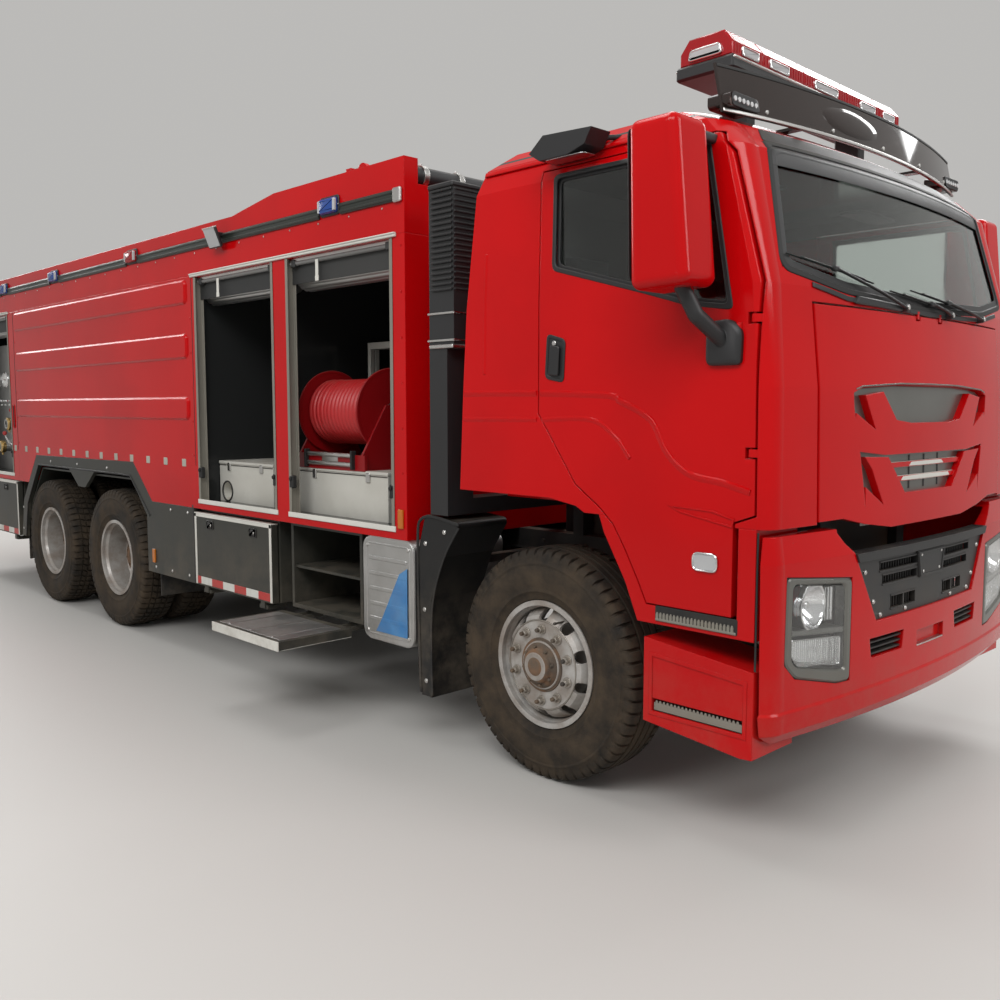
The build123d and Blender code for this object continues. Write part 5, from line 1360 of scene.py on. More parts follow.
def addGrille():
    # Slats, mesh and bolts of the bumper's grille; ribs on its ledge; empty plate recess
    look = frontLook
    piece = newPiece()
    for side in (-1, 1):
        for z0, z1, y0, y1 in look["grilles"]:
            a, b = side * y0, side * y1
            frontPlate(piece, rectangle(min(a, b), max(a, b), z0, z1), -0.050, -0.046, 0, 0.001)
            count = int(abs(b - a) / 0.022)
            for k in range(1, count):
                y = a + (b - a) * k / count
                frontPlate(piece, rectangle(y - 0.0025, y + 0.0025, z0, z1), -0.046, -0.030, 0, 0.001)
            for z in (z1, z0):
                lip = rectangle(min(a, b), max(a, b), z - 0.004, z + 0.004, 0.002, 2)
                frontPlate(piece, lip, -0.018, -0.008, 0, 0.002)
        for k in range(3):
            z = 0.712 + 0.024 * k
            spread = 0.280 + (z - 0.70) * -0.10, 0.548 + (z - 0.70) * 0.15
            a, b = side * spread[0], side * spread[1]
            frontPlate(piece, rectangle(min(a, b), max(a, b), z - 0.004, z + 0.004, 0.002, 2), -0.050, -0.010, 0,
                       0.002)
        for y, z in look["grilleBolts"]:
            x = onBumper(y, z) - 0.012
            addBolt(piece, (x, side * y, z), (1, 0, 0), 0.008, 1, 0.006)
    for y, z in look["plateBolts"]:
        addRod(piece, (onBumper(y, z) - 0.005, y, z), (onBumper(y, z) - 0.0015, y, z), 0.007, 1, sides=12,
               edge=0.001)
    # raised rim of the blank centre plate
    rim = look["plateRim"]
    frontPlate(piece, inset(rim, 0.004), -0.006, -0.0005, 0, 0.002, hole=inset(rim, 0.014))
    # ribs along the ledge
    for y in spaced(-0.650, 0.655, 0.020):
        x = onBumper(y, 1.145)
        addBox(piece, x - 0.050, x + 0.004, y - 0.003, y + 0.003, 1.1445, 1.1490, 0, 0.001)
    # bright foot of the plate recess, and the groove along the bumper's lip
    frontPlate(piece, rectangle(-0.138, 0.138, 0.684, 0.690, 0.002, 2), -0.024, 0.001, 1, 0.001)
    frontPlate(piece, rectangle(-1.120, 1.120, 0.579, 0.587), -0.006, -0.001, 2, 0.0005)
    makeObject(piece, "grille_details", "chassis", ["blackPlastic", "satinSteel", "blackRubber"])


def lampBowl(piece, y, z, radius, depth, slot):
    # A parabolic bowl facing forward behind the lamp's surface
    profile = []
    for k in range(15):
        r = radius * (1 - k / 14 * 0.82)
        profile.append((-depth * (1 - (r / radius) ** 2), r))
    profile += [(-depth - 0.004, radius * 0.16), (-depth - 0.004, radius + 0.004), (0, radius + 0.004)]
    addRing(piece, profile, (onBumper(y, z) - 0.018, y, z), "x", 40, slot)


def addHeadlamps():
    look = frontLook
    solid, clear = newPiece(), newPiece()
    frameOutline = rounded(look["lampFrame"], 0.030, 4)
    pocket = rounded(look["lampPocket"], 0.026, 4)
    frontPlate(solid, frameOutline, -0.055, 0.0035, 0, 0.010, hole=pocket)
    frontPlate(solid, inset(frameOutline, -0.001), -0.010, -0.002, 4, 0.002, hole=inset(frameOutline, 0.006))
    frontPlate(solid, inset(pocket, -0.006), -0.098, -0.092, 1, 0.002)
    y, z, r = look["upperLamp"]
    lampBowl(solid, y, z, r, 0.066, 2)
    # bezel, bulb shield and bulb
    addRing(solid, [(-0.020, r - 0.003), (-0.006, r - 0.001), (-0.002, r + 0.004), (-0.004, r + 0.011),
                    (-0.024, r + 0.013)], (onBumper(y, z) - 0.012, y, z), "x", 40, 3)
    x = onBumper(y, z)
    addRod(solid, (x - 0.082, y, z), (x - 0.050, y, z), 0.010, 3, sides=18, endRadius=0.008)
    addRod(solid, (x - 0.050, y, z), (x - 0.040, y, z), 0.016, 3, sides=20, endRadius=0.013, edge=0.001)
    # curved reflector beside the round lamp, in upright flutes
    for k in range(7):
        a = 1.044 + k * 0.0070
        frontPlate(solid, rectangle(a, a + 0.0062, 0.902, 1.050), -0.058 + 0.003 * k, -0.045 + 0.004 * k, 2, 0.002,
                   step=0.2)
    for k in range(6):
        a = 0.760 + k * 0.0150
        frontPlate(solid, rectangle(a, a + 0.0135, 0.885, 1.020), -0.060, -0.048 - 0.004 * k, 2, 0.003, step=0.2)
    # divider, and the square lamp's own bowl below it
    frontPlate(solid, [(0.740, 0.838), (0.740, 0.862), (1.096, 0.890), (1.096, 0.868)], -0.090, -0.010, 0, 0.003)
    lower = rounded(look["lowerLamp"], 0.014, 3)
    frontPlate(solid, lower, -0.075, -0.014, 3, 0.003, hole=inset(lower, 0.007))
    y0, z0 = 0.895, 0.785
    for k in range(9):
        a = 0.768 + k * 0.0345
        frontPlate(solid, rectangle(a, a + 0.0325, 0.722 + 0.003 * k, 0.822 + 0.003 * k), -0.078,
                   -0.060 + 0.010 * abs(k - 4) / 4, 2, 0.006, step=0.2)
    addRod(solid, (onBumper(y0, z0) - 0.062, y0, z0), (onBumper(y0, z0) - 0.030, y0, z0), 0.012, 3, sides=18,
           endRadius=0.009)
    # clear covers: one smooth over all, one fluted over the lower lamp
    frontPlate(clear, inset(pocket, 0.0005), -0.0075, -0.0035, 0, 0.001)
    for k in range(24):
        a = 0.766 + k * 0.0128
        frontPlate(clear, rectangle(a, a + 0.0092, 0.716 + 0.0011 * k, 0.826 + 0.0011 * k), -0.020, -0.015, 0,
                   0.002, step=0.2)
    makeObject(bothSides(solid), "headlamp_bodies", "chassis",
               ["lampHousing", "blackPlastic", "lampReflector", "chrome", "blackRubber"],
               replaces=("headlamps",))
    makeObject(bothSides(clear), "headlamp_glass", "chassis", ["lampGlass"])


def addWindscreen():
    # Rubber seal, black border and the wipers
    look = frontLook
    outline = look["windscreen"]
    piece = newPiece()
    sealOuter, sealInner = rounded(inset(outline, -0.012), 0.06, 5), rounded(inset(outline, 0.012), 0.05, 5)
    frontPlate(piece, sealOuter, -0.006, 0.0045, 0, 0.003, hole=sealInner, surface=onCab)
    rimOuter, rimInner = rounded(inset(outline, 0.008), 0.05, 5), rounded(inset(outline, 0.040), 0.04, 5)
    frontPlate(piece, rimOuter, -0.0025, -0.0008, 1, 0.0004, hole=rimInner, surface=onCab)
    # dark glass band over the windscreen, and a deeper border at the top of the glass itself
    frontPlate(piece, rounded(look["glassBand"], 0.014, 3), 0.0005, 0.0035, 1, 0.0015, surface=onCab)
    frontPlate(piece, look["glassShade"], -0.0022, -0.0010, 1, 0.0003, surface=onCab)
    # cowl along the foot of the glass, and a spindle cover
    ribbonPlate(piece, look["cowl"], 0.020, 0.001, 0.007, 1, 0.003)
    frontPlate(piece, rounded(look["spindleCover"], 0.010, 3), 0.001, 0.018, 1, 0.005, surface=onCab)
    for base, middle, tip in look["wipers"]:
        spots = [Vector((onCab(y, z), y, z)) for y, z in (base, middle, tip)]
        spindle, cap = spots[0] + Vector((0.034, 0, 0.004)), spots[0] + Vector((0.040, 0, 0.005))
        addRod(piece, spots[0], spindle, 0.016, 1, sides=20, edge=0.003)
        addRod(piece, spindle, cap, 0.011, 2, sides=16, edge=0.002)
        arm = [spots[0] + Vector((0.030, 0, 0)), spots[0] * 0.6 + spots[1] * 0.4 + Vector((0.040, 0, 0)),
               spots[1] + Vector((0.024, 0, 0))]
        addTube(piece, bent(arm, 0.1), 0.0085, 1, 8, flat=0.6)
        along = spots[2] - spots[1]
        half = min(0.36, along.length)
        way = along.normalized()
        blade = []
        for k in range(15):
            p = spots[1] + way * (half * (k / 7 - 1))
            blade.append(Vector((onCab(p.y, p.z) + 0.008, p.y, p.z)))
        addTube(piece, blade, 0.006, 0, 6, flat=0.5)
        bridge = [p + Vector((0.009, 0, 0)) for p in blade[2:13]]
        addTube(piece, bridge, 0.0055, 1, 6, flat=0.6)
        for k in (2, 5, 7, 9, 12):
            addRod(piece, blade[k], blade[k] + Vector((0.011, 0, 0)), 0.005, 1, sides=8)
        addBox(piece, spots[1].x + 0.008, spots[1].x + 0.030, spots[1].y - 0.020, spots[1].y + 0.020,
               spots[1].z - 0.010, spots[1].z + 0.010, 1, 0.004)
    makeObject(piece, "windscreen_trim", "chassis", ["blackRubber", "blackPlastic", "satinSteel"])


addFrontPanel()
addGrille()
addHeadlamps()
addWindscreen()
print("cab front dressed")

# Cab sides: doors, mirrors, steps, seams

cabLook = {
    "window": [(0.127, 2.318), (0.127, 2.712), (0.905, 2.712), (1.027, 2.090), (0.827, 2.120), (0.613, 2.184)],
    "crease": [(0.060, 1.788), (0.443, 1.775), (0.506, 1.751), (0.604, 1.712), (0.675, 1.665), (0.743, 1.551),
               (0.849, 1.471), (0.999, 1.445), (1.120, 1.415)],
    "flare": [(0.070, 1.672), (0.351, 1.675), (0.482, 1.606), (0.560, 1.520)],
    "handle": (0.087, 0.208, 1.832, 2.047),
    "marker": (0.874, 0.990, 1.100, 1.175),
    "lowerTread": (0.694, 1.106, -1.238, 0.501, 0.150),           # rear, front, outer edge, height, depth
    "pressing": [(0.750, 1.345), (0.811, 1.319), (1.048, 1.278), (1.058, 1.315), (0.957, 1.340)],
    "mirrorY": (-1.530, -1.320),
    "mirrorPlates": ((2.440, 2.725, 0.018, 0.026, -0.003, 5), (2.195, 2.415, 0.018, 0.026, -0.003, 5),
                     (2.185, 2.735, 0.010, 0.030, 0.0, 1)),       # foot, top, margin, corner, back, slot
}


def sidePlate(piece, outline, low, high, slot=0, edge=0.002, hole=None):
    # Distances count outwards from the cab's right side
    part = newPiece()
    addPlate(part, outline, "y", -high, -low, slot, edge, hole)
    merge(piece, drape(part, onSide, 0, 0.06, frontLook["bends"][4:]))


def addRidge(piece, path, width, height, slot=0):
    # A pressed crease: a low strip with a sloping lower face
    path = [Vector(p) for p in path]
    rows = []
    for i, p in enumerate(path):
        along = (path[min(len(path) - 1, i + 1)] - path[max(0, i - 1)]).normalized()
        across = Vector((-along.y, along.x))
        if across.y < 0:
            across = -across
        for t, out in ((0.5, -0.001), (0.32, height), (-0.10, height * 0.8), (-0.5, -0.001)):
            q = p + across * (width * t)
            rows.append((q.x, onSide(q.x, q.y) - out, q.y))
    faces = []
    for i in range(len(path) - 1):
        for k in range(3):
            faces.append([i * 4 + k, i * 4 + k + 1, i * 4 + k + 5, i * 4 + k + 4])
    faces.append([0, 3, 2, 1])
    last = (len(path) - 1) * 4
    faces.append([last, last + 1, last + 2, last + 3])
    part = newPiece()
    addFaces(part, rows, faces, slot)
    # the faces look away from the truck's middle
    total = Vector((0, 0, 0))
    for face in faces[:-2]:
        a, b, c = (Vector(rows[i]) for i in face[:3])
        total += (b - a).cross(c - a)
    if total.y > 0:
        part["faces"] = [f[::-1] for f in part["faces"]]
    merge(piece, part)


def smoothPath(points, steps=6):
    # A soft curve through points
    points = [Vector(p) for p in points]
    path = [points[0]]
    for i in range(len(points) - 1):
        a, b = points[i], points[i + 1]
        before, after = points[max(0, i - 1)], points[min(len(points) - 1, i + 2)]
        for k in range(1, steps + 1):
            t = k / steps
            path.append(0.5 * (2 * a + (b - before) * t + (2 * before - 5 * a + 4 * b - after) * t * t
                               + (3 * a - before - 3 * b + after) * t ** 3))
    return [tuple(p) for p in path]


def addDoorTrim(name, body, flip):
    look = cabLook
    piece = newPiece()
    window = look["window"]
    # window rubber and the inner black border
    for outer, corner, low, high, edge, inner, innerCorner in (
            (-0.006, 0.030, -0.010, 0.004, 0.003, 0.014, 0.024),
            (0.010, 0.024, -0.026, -0.012, 0.002, 0.026, 0.020)):
        hole = rounded(inset(window, inner), innerCorner, 4)
        sidePlate(piece, rounded(inset(window, outer), corner, 4), low, high, 1, edge, hole=hole)
    # handle: black dished plate, recess and pull
    x0, x1, z0, z1 = look["handle"]
    plate = rounded([(x0, z0 + 0.02), (x1 - 0.01, z0), (x1, z1 - 0.03), (x0 + 0.012, z1)], 0.026, 4)
    sidePlate(piece, plate, -0.001, 0.005, 1, 0.002, hole=inset(plate, 0.014))
    sidePlate(piece, inset(plate, 0.013), -0.0005, 0.0012, 1, 0.0006)
    grip = rounded([(x0 + 0.030, z0 + 0.035), (x1 - 0.034, z0 + 0.030), (x1 - 0.028, z1 - 0.060),
                    (x0 + 0.040, z1 - 0.050)], 0.012, 3)
    sidePlate(piece, grip, 0.006, 0.016, 1, 0.004)
    addRod(piece, (x0 + 0.055, onSide(x0, 2.0) - 0.001, z1 - 0.045),
           (x0 + 0.055, onSide(x0, 2.0) - 0.006, z1 - 0.045), 0.012, 2, sides=20, edge=0.002)
    # pressed creases, painted like the door
    for path, width, height in ((smoothPath(look["crease"]), 0.030, 0.007),
                                (smoothPath(look["flare"]), 0.024, 0.005)):
        addRidge(piece, path, width, height, 0)
    sidePlate(piece, look["pressing"], 0.0, 0.004, 0, 0.003, hole=inset(look["pressing"], 0.009))
    # clear marker lamp with a bright rim
    x0, x1, z0, z1 = look["marker"]
    rim = rectangle(x0, x1, z0, z1, 0.030, 5)
    sidePlate(piece, rim, 0.0, 0.011, 3, 0.004, hole=inset(rim, 0.008))
    sidePlate(piece, inset(rim, 0.007), 0.0, 0.006, 4, 0.002)
    # mirror: two glasses on a dark back, which leans with the housing
    low, high = look["mirrorY"]
    mirror = newPiece()
    for z0, z1, margin, radius, back, slot in look["mirrorPlates"]:
        outline = rectangle(low + margin, high - margin, z0, z1, radius, 4)
        addPlate(mirror, outline, "x", back, back + 0.004, slot, 0.001)
    mirror["points"] = [(0.765 - 0.015 * (p[2] - 2.150) / 0.608 - 0.004 + p[0], p[1],
                         p[2]) for p in mirror["points"]]
    merge(piece, mirror)
    # black sleeve over the bent arm, and its moulded foot
    addTube(piece, bent([(1.000, -1.246, 1.965), (0.965, -1.385, 2.060), (0.915, -1.425, 2.190)], 0.010), 0.0300,
            1, 20)
    foot = rounded([(0.926, 1.882), (1.076, 1.882), (1.080, 2.010), (1.030, 2.052), (0.926, 2.045)],
                   [0.030, 0.022, 0.030, 0.030, 0.022], 5)
    rows = ((0.0, -1.2455), (0.0, -1.2600), (0.006, -1.2680), (0.016, -1.2740))
    addLoft(piece, [lifted(inset(foot, cut), "y", y) for cut, y in rows], 1)
    addPlate(piece, rectangle(0.796, 0.934, 2.697, 2.733, 0.010, 3), "y", -1.332, -1.214, 1, 0.003)
    makeObject(mirrored(piece) if flip else piece, name, body,
               ["redPaint", "blackPlastic", "satinSteel", "chrome", "clearLens", "mirrorGlass"])


def addStepTreads():
    # Toothed treads: the upper one under the door, the lower one in the step box
    piece = newPiece()
    # under the door: a thin black plate, painted shade that stands for the slot, with a toothed strip along its
    # foot
    addPlate(piece, rectangle(0.700, 1.080, 0.874, 0.936, 0.006, 2), "y", -1.2462, -1.2440, 2, 0.0005)
    for x in spaced(0.706, 1.062, 0.0165):
        tooth = [(x, 0.884), (x + 0.012, 0.884), (x + 0.012, 0.902), (x + 0.008, 0.911), (x + 0.004, 0.911),
                 (x, 0.902)]
        addPlate(piece, tooth, "y", -1.2520, -1.2455, 0, 0.001)
    addBox(piece, 0.704, 1.076, -1.2530, -1.2455, 0.876, 0.886, 0, 0.002)
    x0, x1, y, z, depth = cabLook["lowerTread"]
    addBox(piece, x0, x1, y, y + depth, z, z + 0.006, 0, 0.002)
    addBox(piece, x0, x1, y, y + 0.006, z, z + 0.034, 0, 0.002)
    addBox(piece, x0, x1, y + depth - 0.006, y + depth, z, z + 0.034, 0, 0.002)
    for row in range(4):
        rowY = y + 0.022 + row * 0.034
        for x in spaced(x0 + 0.014, x1 - 0.01, 0.026):
            addRod(piece, (x, rowY, z + 0.005), (x, rowY, z + 0.013), 0.0070, 0, sides=8, endRadius=0.0045)
    for x in spaced(x0 + 0.006, x1 - 0.01, 0.018):
        tooth = [(x, z + 0.033), (x + 0.014, z + 0.033), (x + 0.010, z + 0.044), (x + 0.004, z + 0.044)]
        addPlate(piece, tooth, "y", y, y + 0.005, 0, 0.001)
    # pressed edge round the lower step's opening
    frameOutline = [(0.690, 0.725), (1.110, 0.690), (1.110, 0.500), (0.690, 0.500)]
    addPlate(piece, inset(frameOutline, -0.018), "y", -1.2475, -1.244, 1, 0.002, hole=frameOutline)
    addPlate(piece, [(0.688, 0.552), (1.112, 0.552), (1.112, 0.692), (0.688, 0.727)], "y", -1.2435, -1.2350, 1,
             0.002)
    # rubber strip in the seam between cab and bumper
    addBox(piece, 1.1515, 1.1585, -1.244, -1.236, 0.750, 1.270, 2, 0.002)
    makeObject(bothSides(piece), "step_treads", "chassis", ["channelGrey", "redPaint", "blackRubber"])


def addCabSeams():
    # Creases of the fixed cab sides, roof gutter, rear seam, kerb mirror glass
    piece = newPiece()
    addRidge(piece, smoothPath([(-0.440, 1.790), (-0.200, 1.790), (0.036, 1.788)]), 0.030, 0.007, 0)
    addRidge(piece, [(-0.445, 1.668), (-0.200, 1.671), (0.036, 1.672)], 0.024, 0.005, 0)
    addRidge(piece, [(-0.300, 1.880), (-0.296, 2.150), (-0.290, 2.430)], 0.020, 0.005, 0)
    gutter = newPiece()
    addPlate(gutter, strip([(-0.330, 2.792), (0.500, 2.792), (0.860, 2.780)], 0.020), "y", -0.012, 0.0, 0, 0.003)
    merge(piece, drape(gutter, onSide, 0, 0.08))
    makeObject(bothSides(piece), "cab_creases", "chassis", ["redPaint"])
    kerb = newPiece()
    addPlate(kerb, rounded([(0.150, -1.335), (0.375, -1.335), (0.375, -1.238), (0.150, -1.238)], 0.030, 4), "z",
             2.7495, 2.7525, 1, 0.001)
    for x in (0.385, 0.335):
        addRod(kerb, (x, -1.262, 2.818), (x, -1.262, 2.846), 0.014, 0, sides=16, edge=0.002)
    makeObject(kerb, "kerb_mirror_glass", "chassis", ["blackPlastic", "mirrorGlass"])


addDoorTrim("door_trim_right", "door_right", False)
addDoorTrim("door_trim_left", "door_left", True)
addStepTreads()
addCabSeams()
print("cab sides dressed")

# Roof: visor, light bar, intake, front of the deck, monitor

roofLook = {
    "visorRows": ((2.850, 0.875, 1.000), (3.040, 0.835, 0.955)),   # height, end x, middle x
    "visorHalf": 1.100,
    "housingFront": 0.900,
    "bar": (0.440, 0.710, 0.790, 3.120, 3.180, 3.290),             # rear, front, half width, base, lens foot, top
    "intake": (-0.670, -0.520, 2.256, 2.790),
    "tube": (-0.930, 2.900, 0.050),
    "tubeClamps": (-1.10, -0.86, -0.20, 0.40, 1.04),
    "visorBolts": (-0.86, -0.43, 0.0, 0.43, 0.86),
    "barCovers": (0.15, 0.22, 0.26, 0.22, 0.15),                   # share of the width
    "barModules": ((-0.655, 0.13), (-0.42, 0.16), (0.0, 0.22), (0.42, 0.16), (0.655, 0.13)),   # middle, width
    "manholes": (-4.300, -5.600),
    "boxHinges": (-7.70, -7.40, -7.10),
    "walkStrips": ((-3.30, -1.10), (-6.75, -3.60)),
    "boardHandles": (-1.5, -2.9, -4.3, -5.7, -7.1),
}


def visorX(y, z):
    (z0, end0, middle0), (z1, end1, middle1) = roofLook["visorRows"]
    t = (z - z0) / (z1 - z0)
    end, middle = end0 + (end1 - end0) * t, middle0 + (middle1 - middle0) * t
    return middle + (end - middle) * (y / roofLook["visorHalf"]) ** 2


def lampX(y, z):
    # The visor's face, or the flat face of the lamp housings at its ends
    return max(visorX(y, z), roofLook["housingFront"])


def addVisor():
    # Bright strip along the foot, lamp rows at the ends, a round bulge, fixings
    strips, leds = newPiece(), newPiece()
    low = roofLook["visorRows"][0][0]
    frontPlate(strips, rectangle(-1.098, 1.098, low + 0.002, low + 0.016), -0.002, 0.004, 0, 0.002, surface=visorX)
    frontPlate(strips, rectangle(-1.096, 1.096, 3.026, 3.038), -0.002, 0.003, 1, 0.001, surface=visorX)
    for y in roofLook["visorBolts"]:
        addRod(strips, (visorX(y, 2.885) - 0.002, y, 2.885), (visorX(y, 2.885) + 0.006, y, 2.885), 0.009, 0,
               sides=16, edge=0.002)
    for side in (-1, 1):
        outline = rounded([(side * 0.905, 2.872), (side * 1.085, 2.872), (side * 1.085, 2.925),
                           (side * 0.905, 2.925)], 0.016, 3)
        frontPlate(leds, outline, 0.0005, 0.006, 1, 0.002, surface=lampX)
        for k in range(6):
            y = side * (0.925 + 0.029 * k)
            addRod(leds, (lampX(y, 2.898) + 0.004, y, 2.898), (lampX(y, 2.898) + 0.010, y, 2.898), 0.010, 0,
                   sides=18, edge=0.001)
    bulge = newPiece()
    addTurned(bulge, [(0.0, 0.150), (0.006, 0.140), (0.014, 0.100), (0.018, 0.050), (0.019, 0.0)], (0, 0, 0), "x",
              40, 2)
    spread = [(x * 0.6, y * 1.5 - 0.26, 2.945 + z * 0.40) for x, y, z in bulge["points"]]
    bulge["points"] = [(visorX(y, z) + x, y, z) for x, y, z in spread]
    merge(strips, turnOutward(bulge))
    makeObject(strips, "visor_strips", "chassis", ["satinSteel", "blackRubber", "smokedVisor"])
    makeObject(leds, "visor_lamps", "chassis", ["clearLens", "blackPlastic"])


def addLightBar():
    # Dark base with end caps and feet; red and clear modules under a chamfered red cover
    rear, front, half, foot, low, top = roofLook["bar"]
    base, lens = newPiece(), newPiece()
    addBox(base, rear - 0.010, front + 0.010, -half - 0.010, half + 0.010, foot, low, 0, 0.010)
    addBox(base, rear - 0.014, front + 0.014, -half - 0.004, half + 0.004, low - 0.020, low - 0.006, 1, 0.004)
    for y in (-0.52, 0.52):
        addBox(base, 0.500, 0.640, y - 0.030, y + 0.030, 2.880, foot + 0.002, 0, 0.008)
        addBox(base, 0.470, 0.670, y - 0.050, y + 0.050, 2.880, 2.892, 1, 0.003)
        for x in (0.485, 0.655):
            addBolt(base, (x, y, 2.892), (0, 0, 1), 0.009, 1)
    section = [(rear + 0.004, low), (rear + 0.004, 3.235), (rear + 0.048, top - 0.002),
               (front - 0.048, top - 0.002), (front - 0.004, 3.235), (front - 0.004, low)]
    # five red covers side by side, with clear lamps in chromed frames along their front
    y = -half + 0.002
    for share in roofLook["barCovers"]:
        wide = share * (2 * half - 0.004)
        part = newPiece()
        addPlate(part, section, "y", y + 0.001, y + wide - 0.001, 0, 0.006)
        merge(lens, turnOutward(part))
        for k in range(int(wide / 0.022)):
            a = y + 0.012 + k * 0.022
            if a + 0.010 < y + wide - 0.010:
                addBox(lens, front - 0.006, front - 0.0015, a, a + 0.006, low + 0.010, 3.228, 0, 0.001)
                addBox(lens, rear + 0.0015, rear + 0.006, a, a + 0.006, low + 0.010, 3.228, 0, 0.001)
        y += wide
    for middle, wide in roofLook["barModules"]:
        outline = rectangle(middle - wide / 2, middle + wide / 2, low + 0.006, 3.226, 0.008, 3)
        addPlate(base, outline, "x", front - 0.008, front + 0.004, 2, 0.003, hole=inset(outline, 0.007))
        addPlate(lens, inset(outline, 0.006), "x", front - 0.006, front + 0.001, 1, 0.002)
    for side in (-1, 1):
        outline = rounded([(rear + 0.050, low + 0.012), (front - 0.050, low + 0.012), (front - 0.060, 3.240),
                           (rear + 0.060, 3.240)],
                          0.016, 3)
        a, b = side * (half - 0.004), side * (half + 0.008)
        addPlate(base, outline, "y", min(a, b), max(a, b), 2, 0.003, hole=inset(outline, 0.012))
        addPlate(lens, inset(outline, 0.011), "y", min(a, b),
                 side * (half + 0.004) if side > 0 else max(a, b) - 0.001, 1, 0.002)
    makeObject(base, "light_bar_base", "chassis", ["blackPlastic", "satinSteel", "chrome"],
               replaces=("light_bar",))
    makeObject(lens, "light_bar_lenses", "chassis", ["redLens", "clearLens"])


def addIntake():
    # Louvred air intake behind the cab, filter lid, clamps of the crosswise tube
    x0, x1, z0, z1 = roofLook["intake"]
    piece = newPiece()
    for z in spaced(z0 + 0.030, z1 - 0.03, 0.026):
        addBox(piece, x0 + 0.004, x1 + 0.004, -1.262, -1.248, z, z + 0.012, 0, 0.003)
        addBox(piece, x1 + 0.002, x1 + 0.014, -1.245, -1.085, z, z + 0.012, 0, 0.003)
    addBox(piece, x0 - 0.018, x1 + 0.016, -1.263, -1.070, z1 - 0.020, z1 + 0.004, 0, 0.006)
    addBox(piece, x0 - 0.012, x1 + 0.014, -1.2625, -1.075, 2.012, 2.030, 1, 0.004)
    for z in (2.050, 2.180):
        addTube(piece, [(x0 - 0.022, -1.254, z), (x1 + 0.014, -1.254, z), (x1 + 0.014, -1.076, z),
                        (x0 - 0.022, -1.076, z)], 0.006, 1, 8,
                closed=True)
    x, z, r = roofLook["tube"]
    for y in roofLook["tubeClamps"]:
        addRing(piece, [(y - 0.016, r + 0.001), (y - 0.016, r + 0.007), (y + 0.016, r + 0.007),
                        (y + 0.016, r + 0.001)], (x, 0, z), "y", 32, 1)
        addBolt(piece, (x, y, z + r + 0.004), (0, 0, 1), 0.008, 1, 0.012)
    makeObject(piece, "intake_details", "chassis", ["blackPlastic", "satinSteel"])


def addDeckDetails():
    # Manhole hinges and toggles, box lids, walk strips, hatch handles, handles on the side boards
    piece = newPiece()
    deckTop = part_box("roof_deck")[1].z - 0.26
    for x in roofLook["manholes"]:
        addTurned(piece, [(0, 0.316), (0.004, 0.322), (0.014, 0.322), (0.018, 0.314)], (x, 0, deckTop + 0.084),
                  "z", 56, 1)
        for u, v in around(6, 0.325):
            p = Vector((x + u, v, deckTop + 0.060))
            addRod(piece, p, p + Vector((0, 0, 0.050)), 0.012, 1, sides=14, edge=0.002)
            addRod(piece, p + Vector((0, 0, 0.030)), p + Vector((0, 0, 0.042)), 0.022, 1, sides=6)
        addTube(piece, bent([(x - 0.10, -0.08, deckTop + 0.096), (x - 0.10, -0.08, deckTop + 0.150),
                             (x - 0.10, 0.08, deckTop + 0.150),
                             (x - 0.10, 0.08, deckTop + 0.096)], 0.025), 0.008, 1, 10)
    for side in (-1, 1):
        a, b = sorted((side * 0.490, side * 0.910))
        addBox(piece, -7.910, -6.890, a, b, deckTop + 0.245, deckTop + 0.268, 0, 0.006)
        for x in roofLook["boxHinges"]:
            edge = side * 0.490
            addBox(piece, x - 0.02, x + 0.02, edge - side * 0.006, edge + side * 0.004, deckTop + 0.205,
                   deckTop + 0.262, 1, 0.003)
            foot, top = (side * 0.486, deckTop + 0.150), (side * 0.462, deckTop + 0.150)
            addHandle(piece, x, foot, top, 0.05, 0.012, 0.006, 1, 8)
        for x0, x1 in roofLook["walkStrips"]:
            a, b = sorted((side * 0.960, side * 1.140))
            addBox(piece, x0, x1, a, b, deckTop + 0.0005, deckTop + 0.006, 0, 0.002)
        for x in roofLook["boardHandles"]:
            addHandle(piece, x, (side * 1.205, 2.900), (side * 1.160, 2.900), 0.12, 0.02, 0.009, 2, 10)
    makeObject(piece, "deck_details", "chassis", ["treadPlate", "satinSteel", "redPaint"])


def addMonitor():
    # Flange bolts, handwheel and barrel rings of the roof monitor
    lowS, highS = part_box("monitor_swivel")
    lowB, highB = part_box("monitor_barrel")
    shift = Vector((frontAxleX, 0, 0))
    swivel, barrel = newPiece(), newPiece()
    middle = (lowS + highS) / 2 - shift
    for u, v in around(8, 0.050):
        addBolt(swivel, (middle.x + u, middle.y + v, lowS.z + 0.060), (0, 0, 1), 0.006, 0, 0.008)
    addTurned(swivel, [(0.062, 0.034), (0.062, 0.052), (0.072, 0.052), (0.072, 0.034)],
              (middle.x, middle.y, highS.z - 0.046), "y", 28, 0, closed=True)
    axis = (highB.z + lowB.z) / 2
    y = (lowB.y + highB.y) / 2
    x = lowB.x - frontAxleX
    for t, r in ((0.05, 0.052), (0.16, 0.050)):
        addRing(barrel, [(x + t, r - 0.012), (x + t, r), (x + t + 0.014, r), (x + t + 0.014, r - 0.012)],
                (0, y, axis), "x", 32, 0)
    makeObject(swivel, "monitor_bolts", "monitor_swivel", ["satinSteel"])
    makeObject(barrel, "monitor_rings", "monitor_barrel", ["brass"])


addVisor()
addLightBar()
addIntake()
addDeckDetails()
addMonitor()
print("roof dressed")

# Open bays, lockers, flaps, lower side

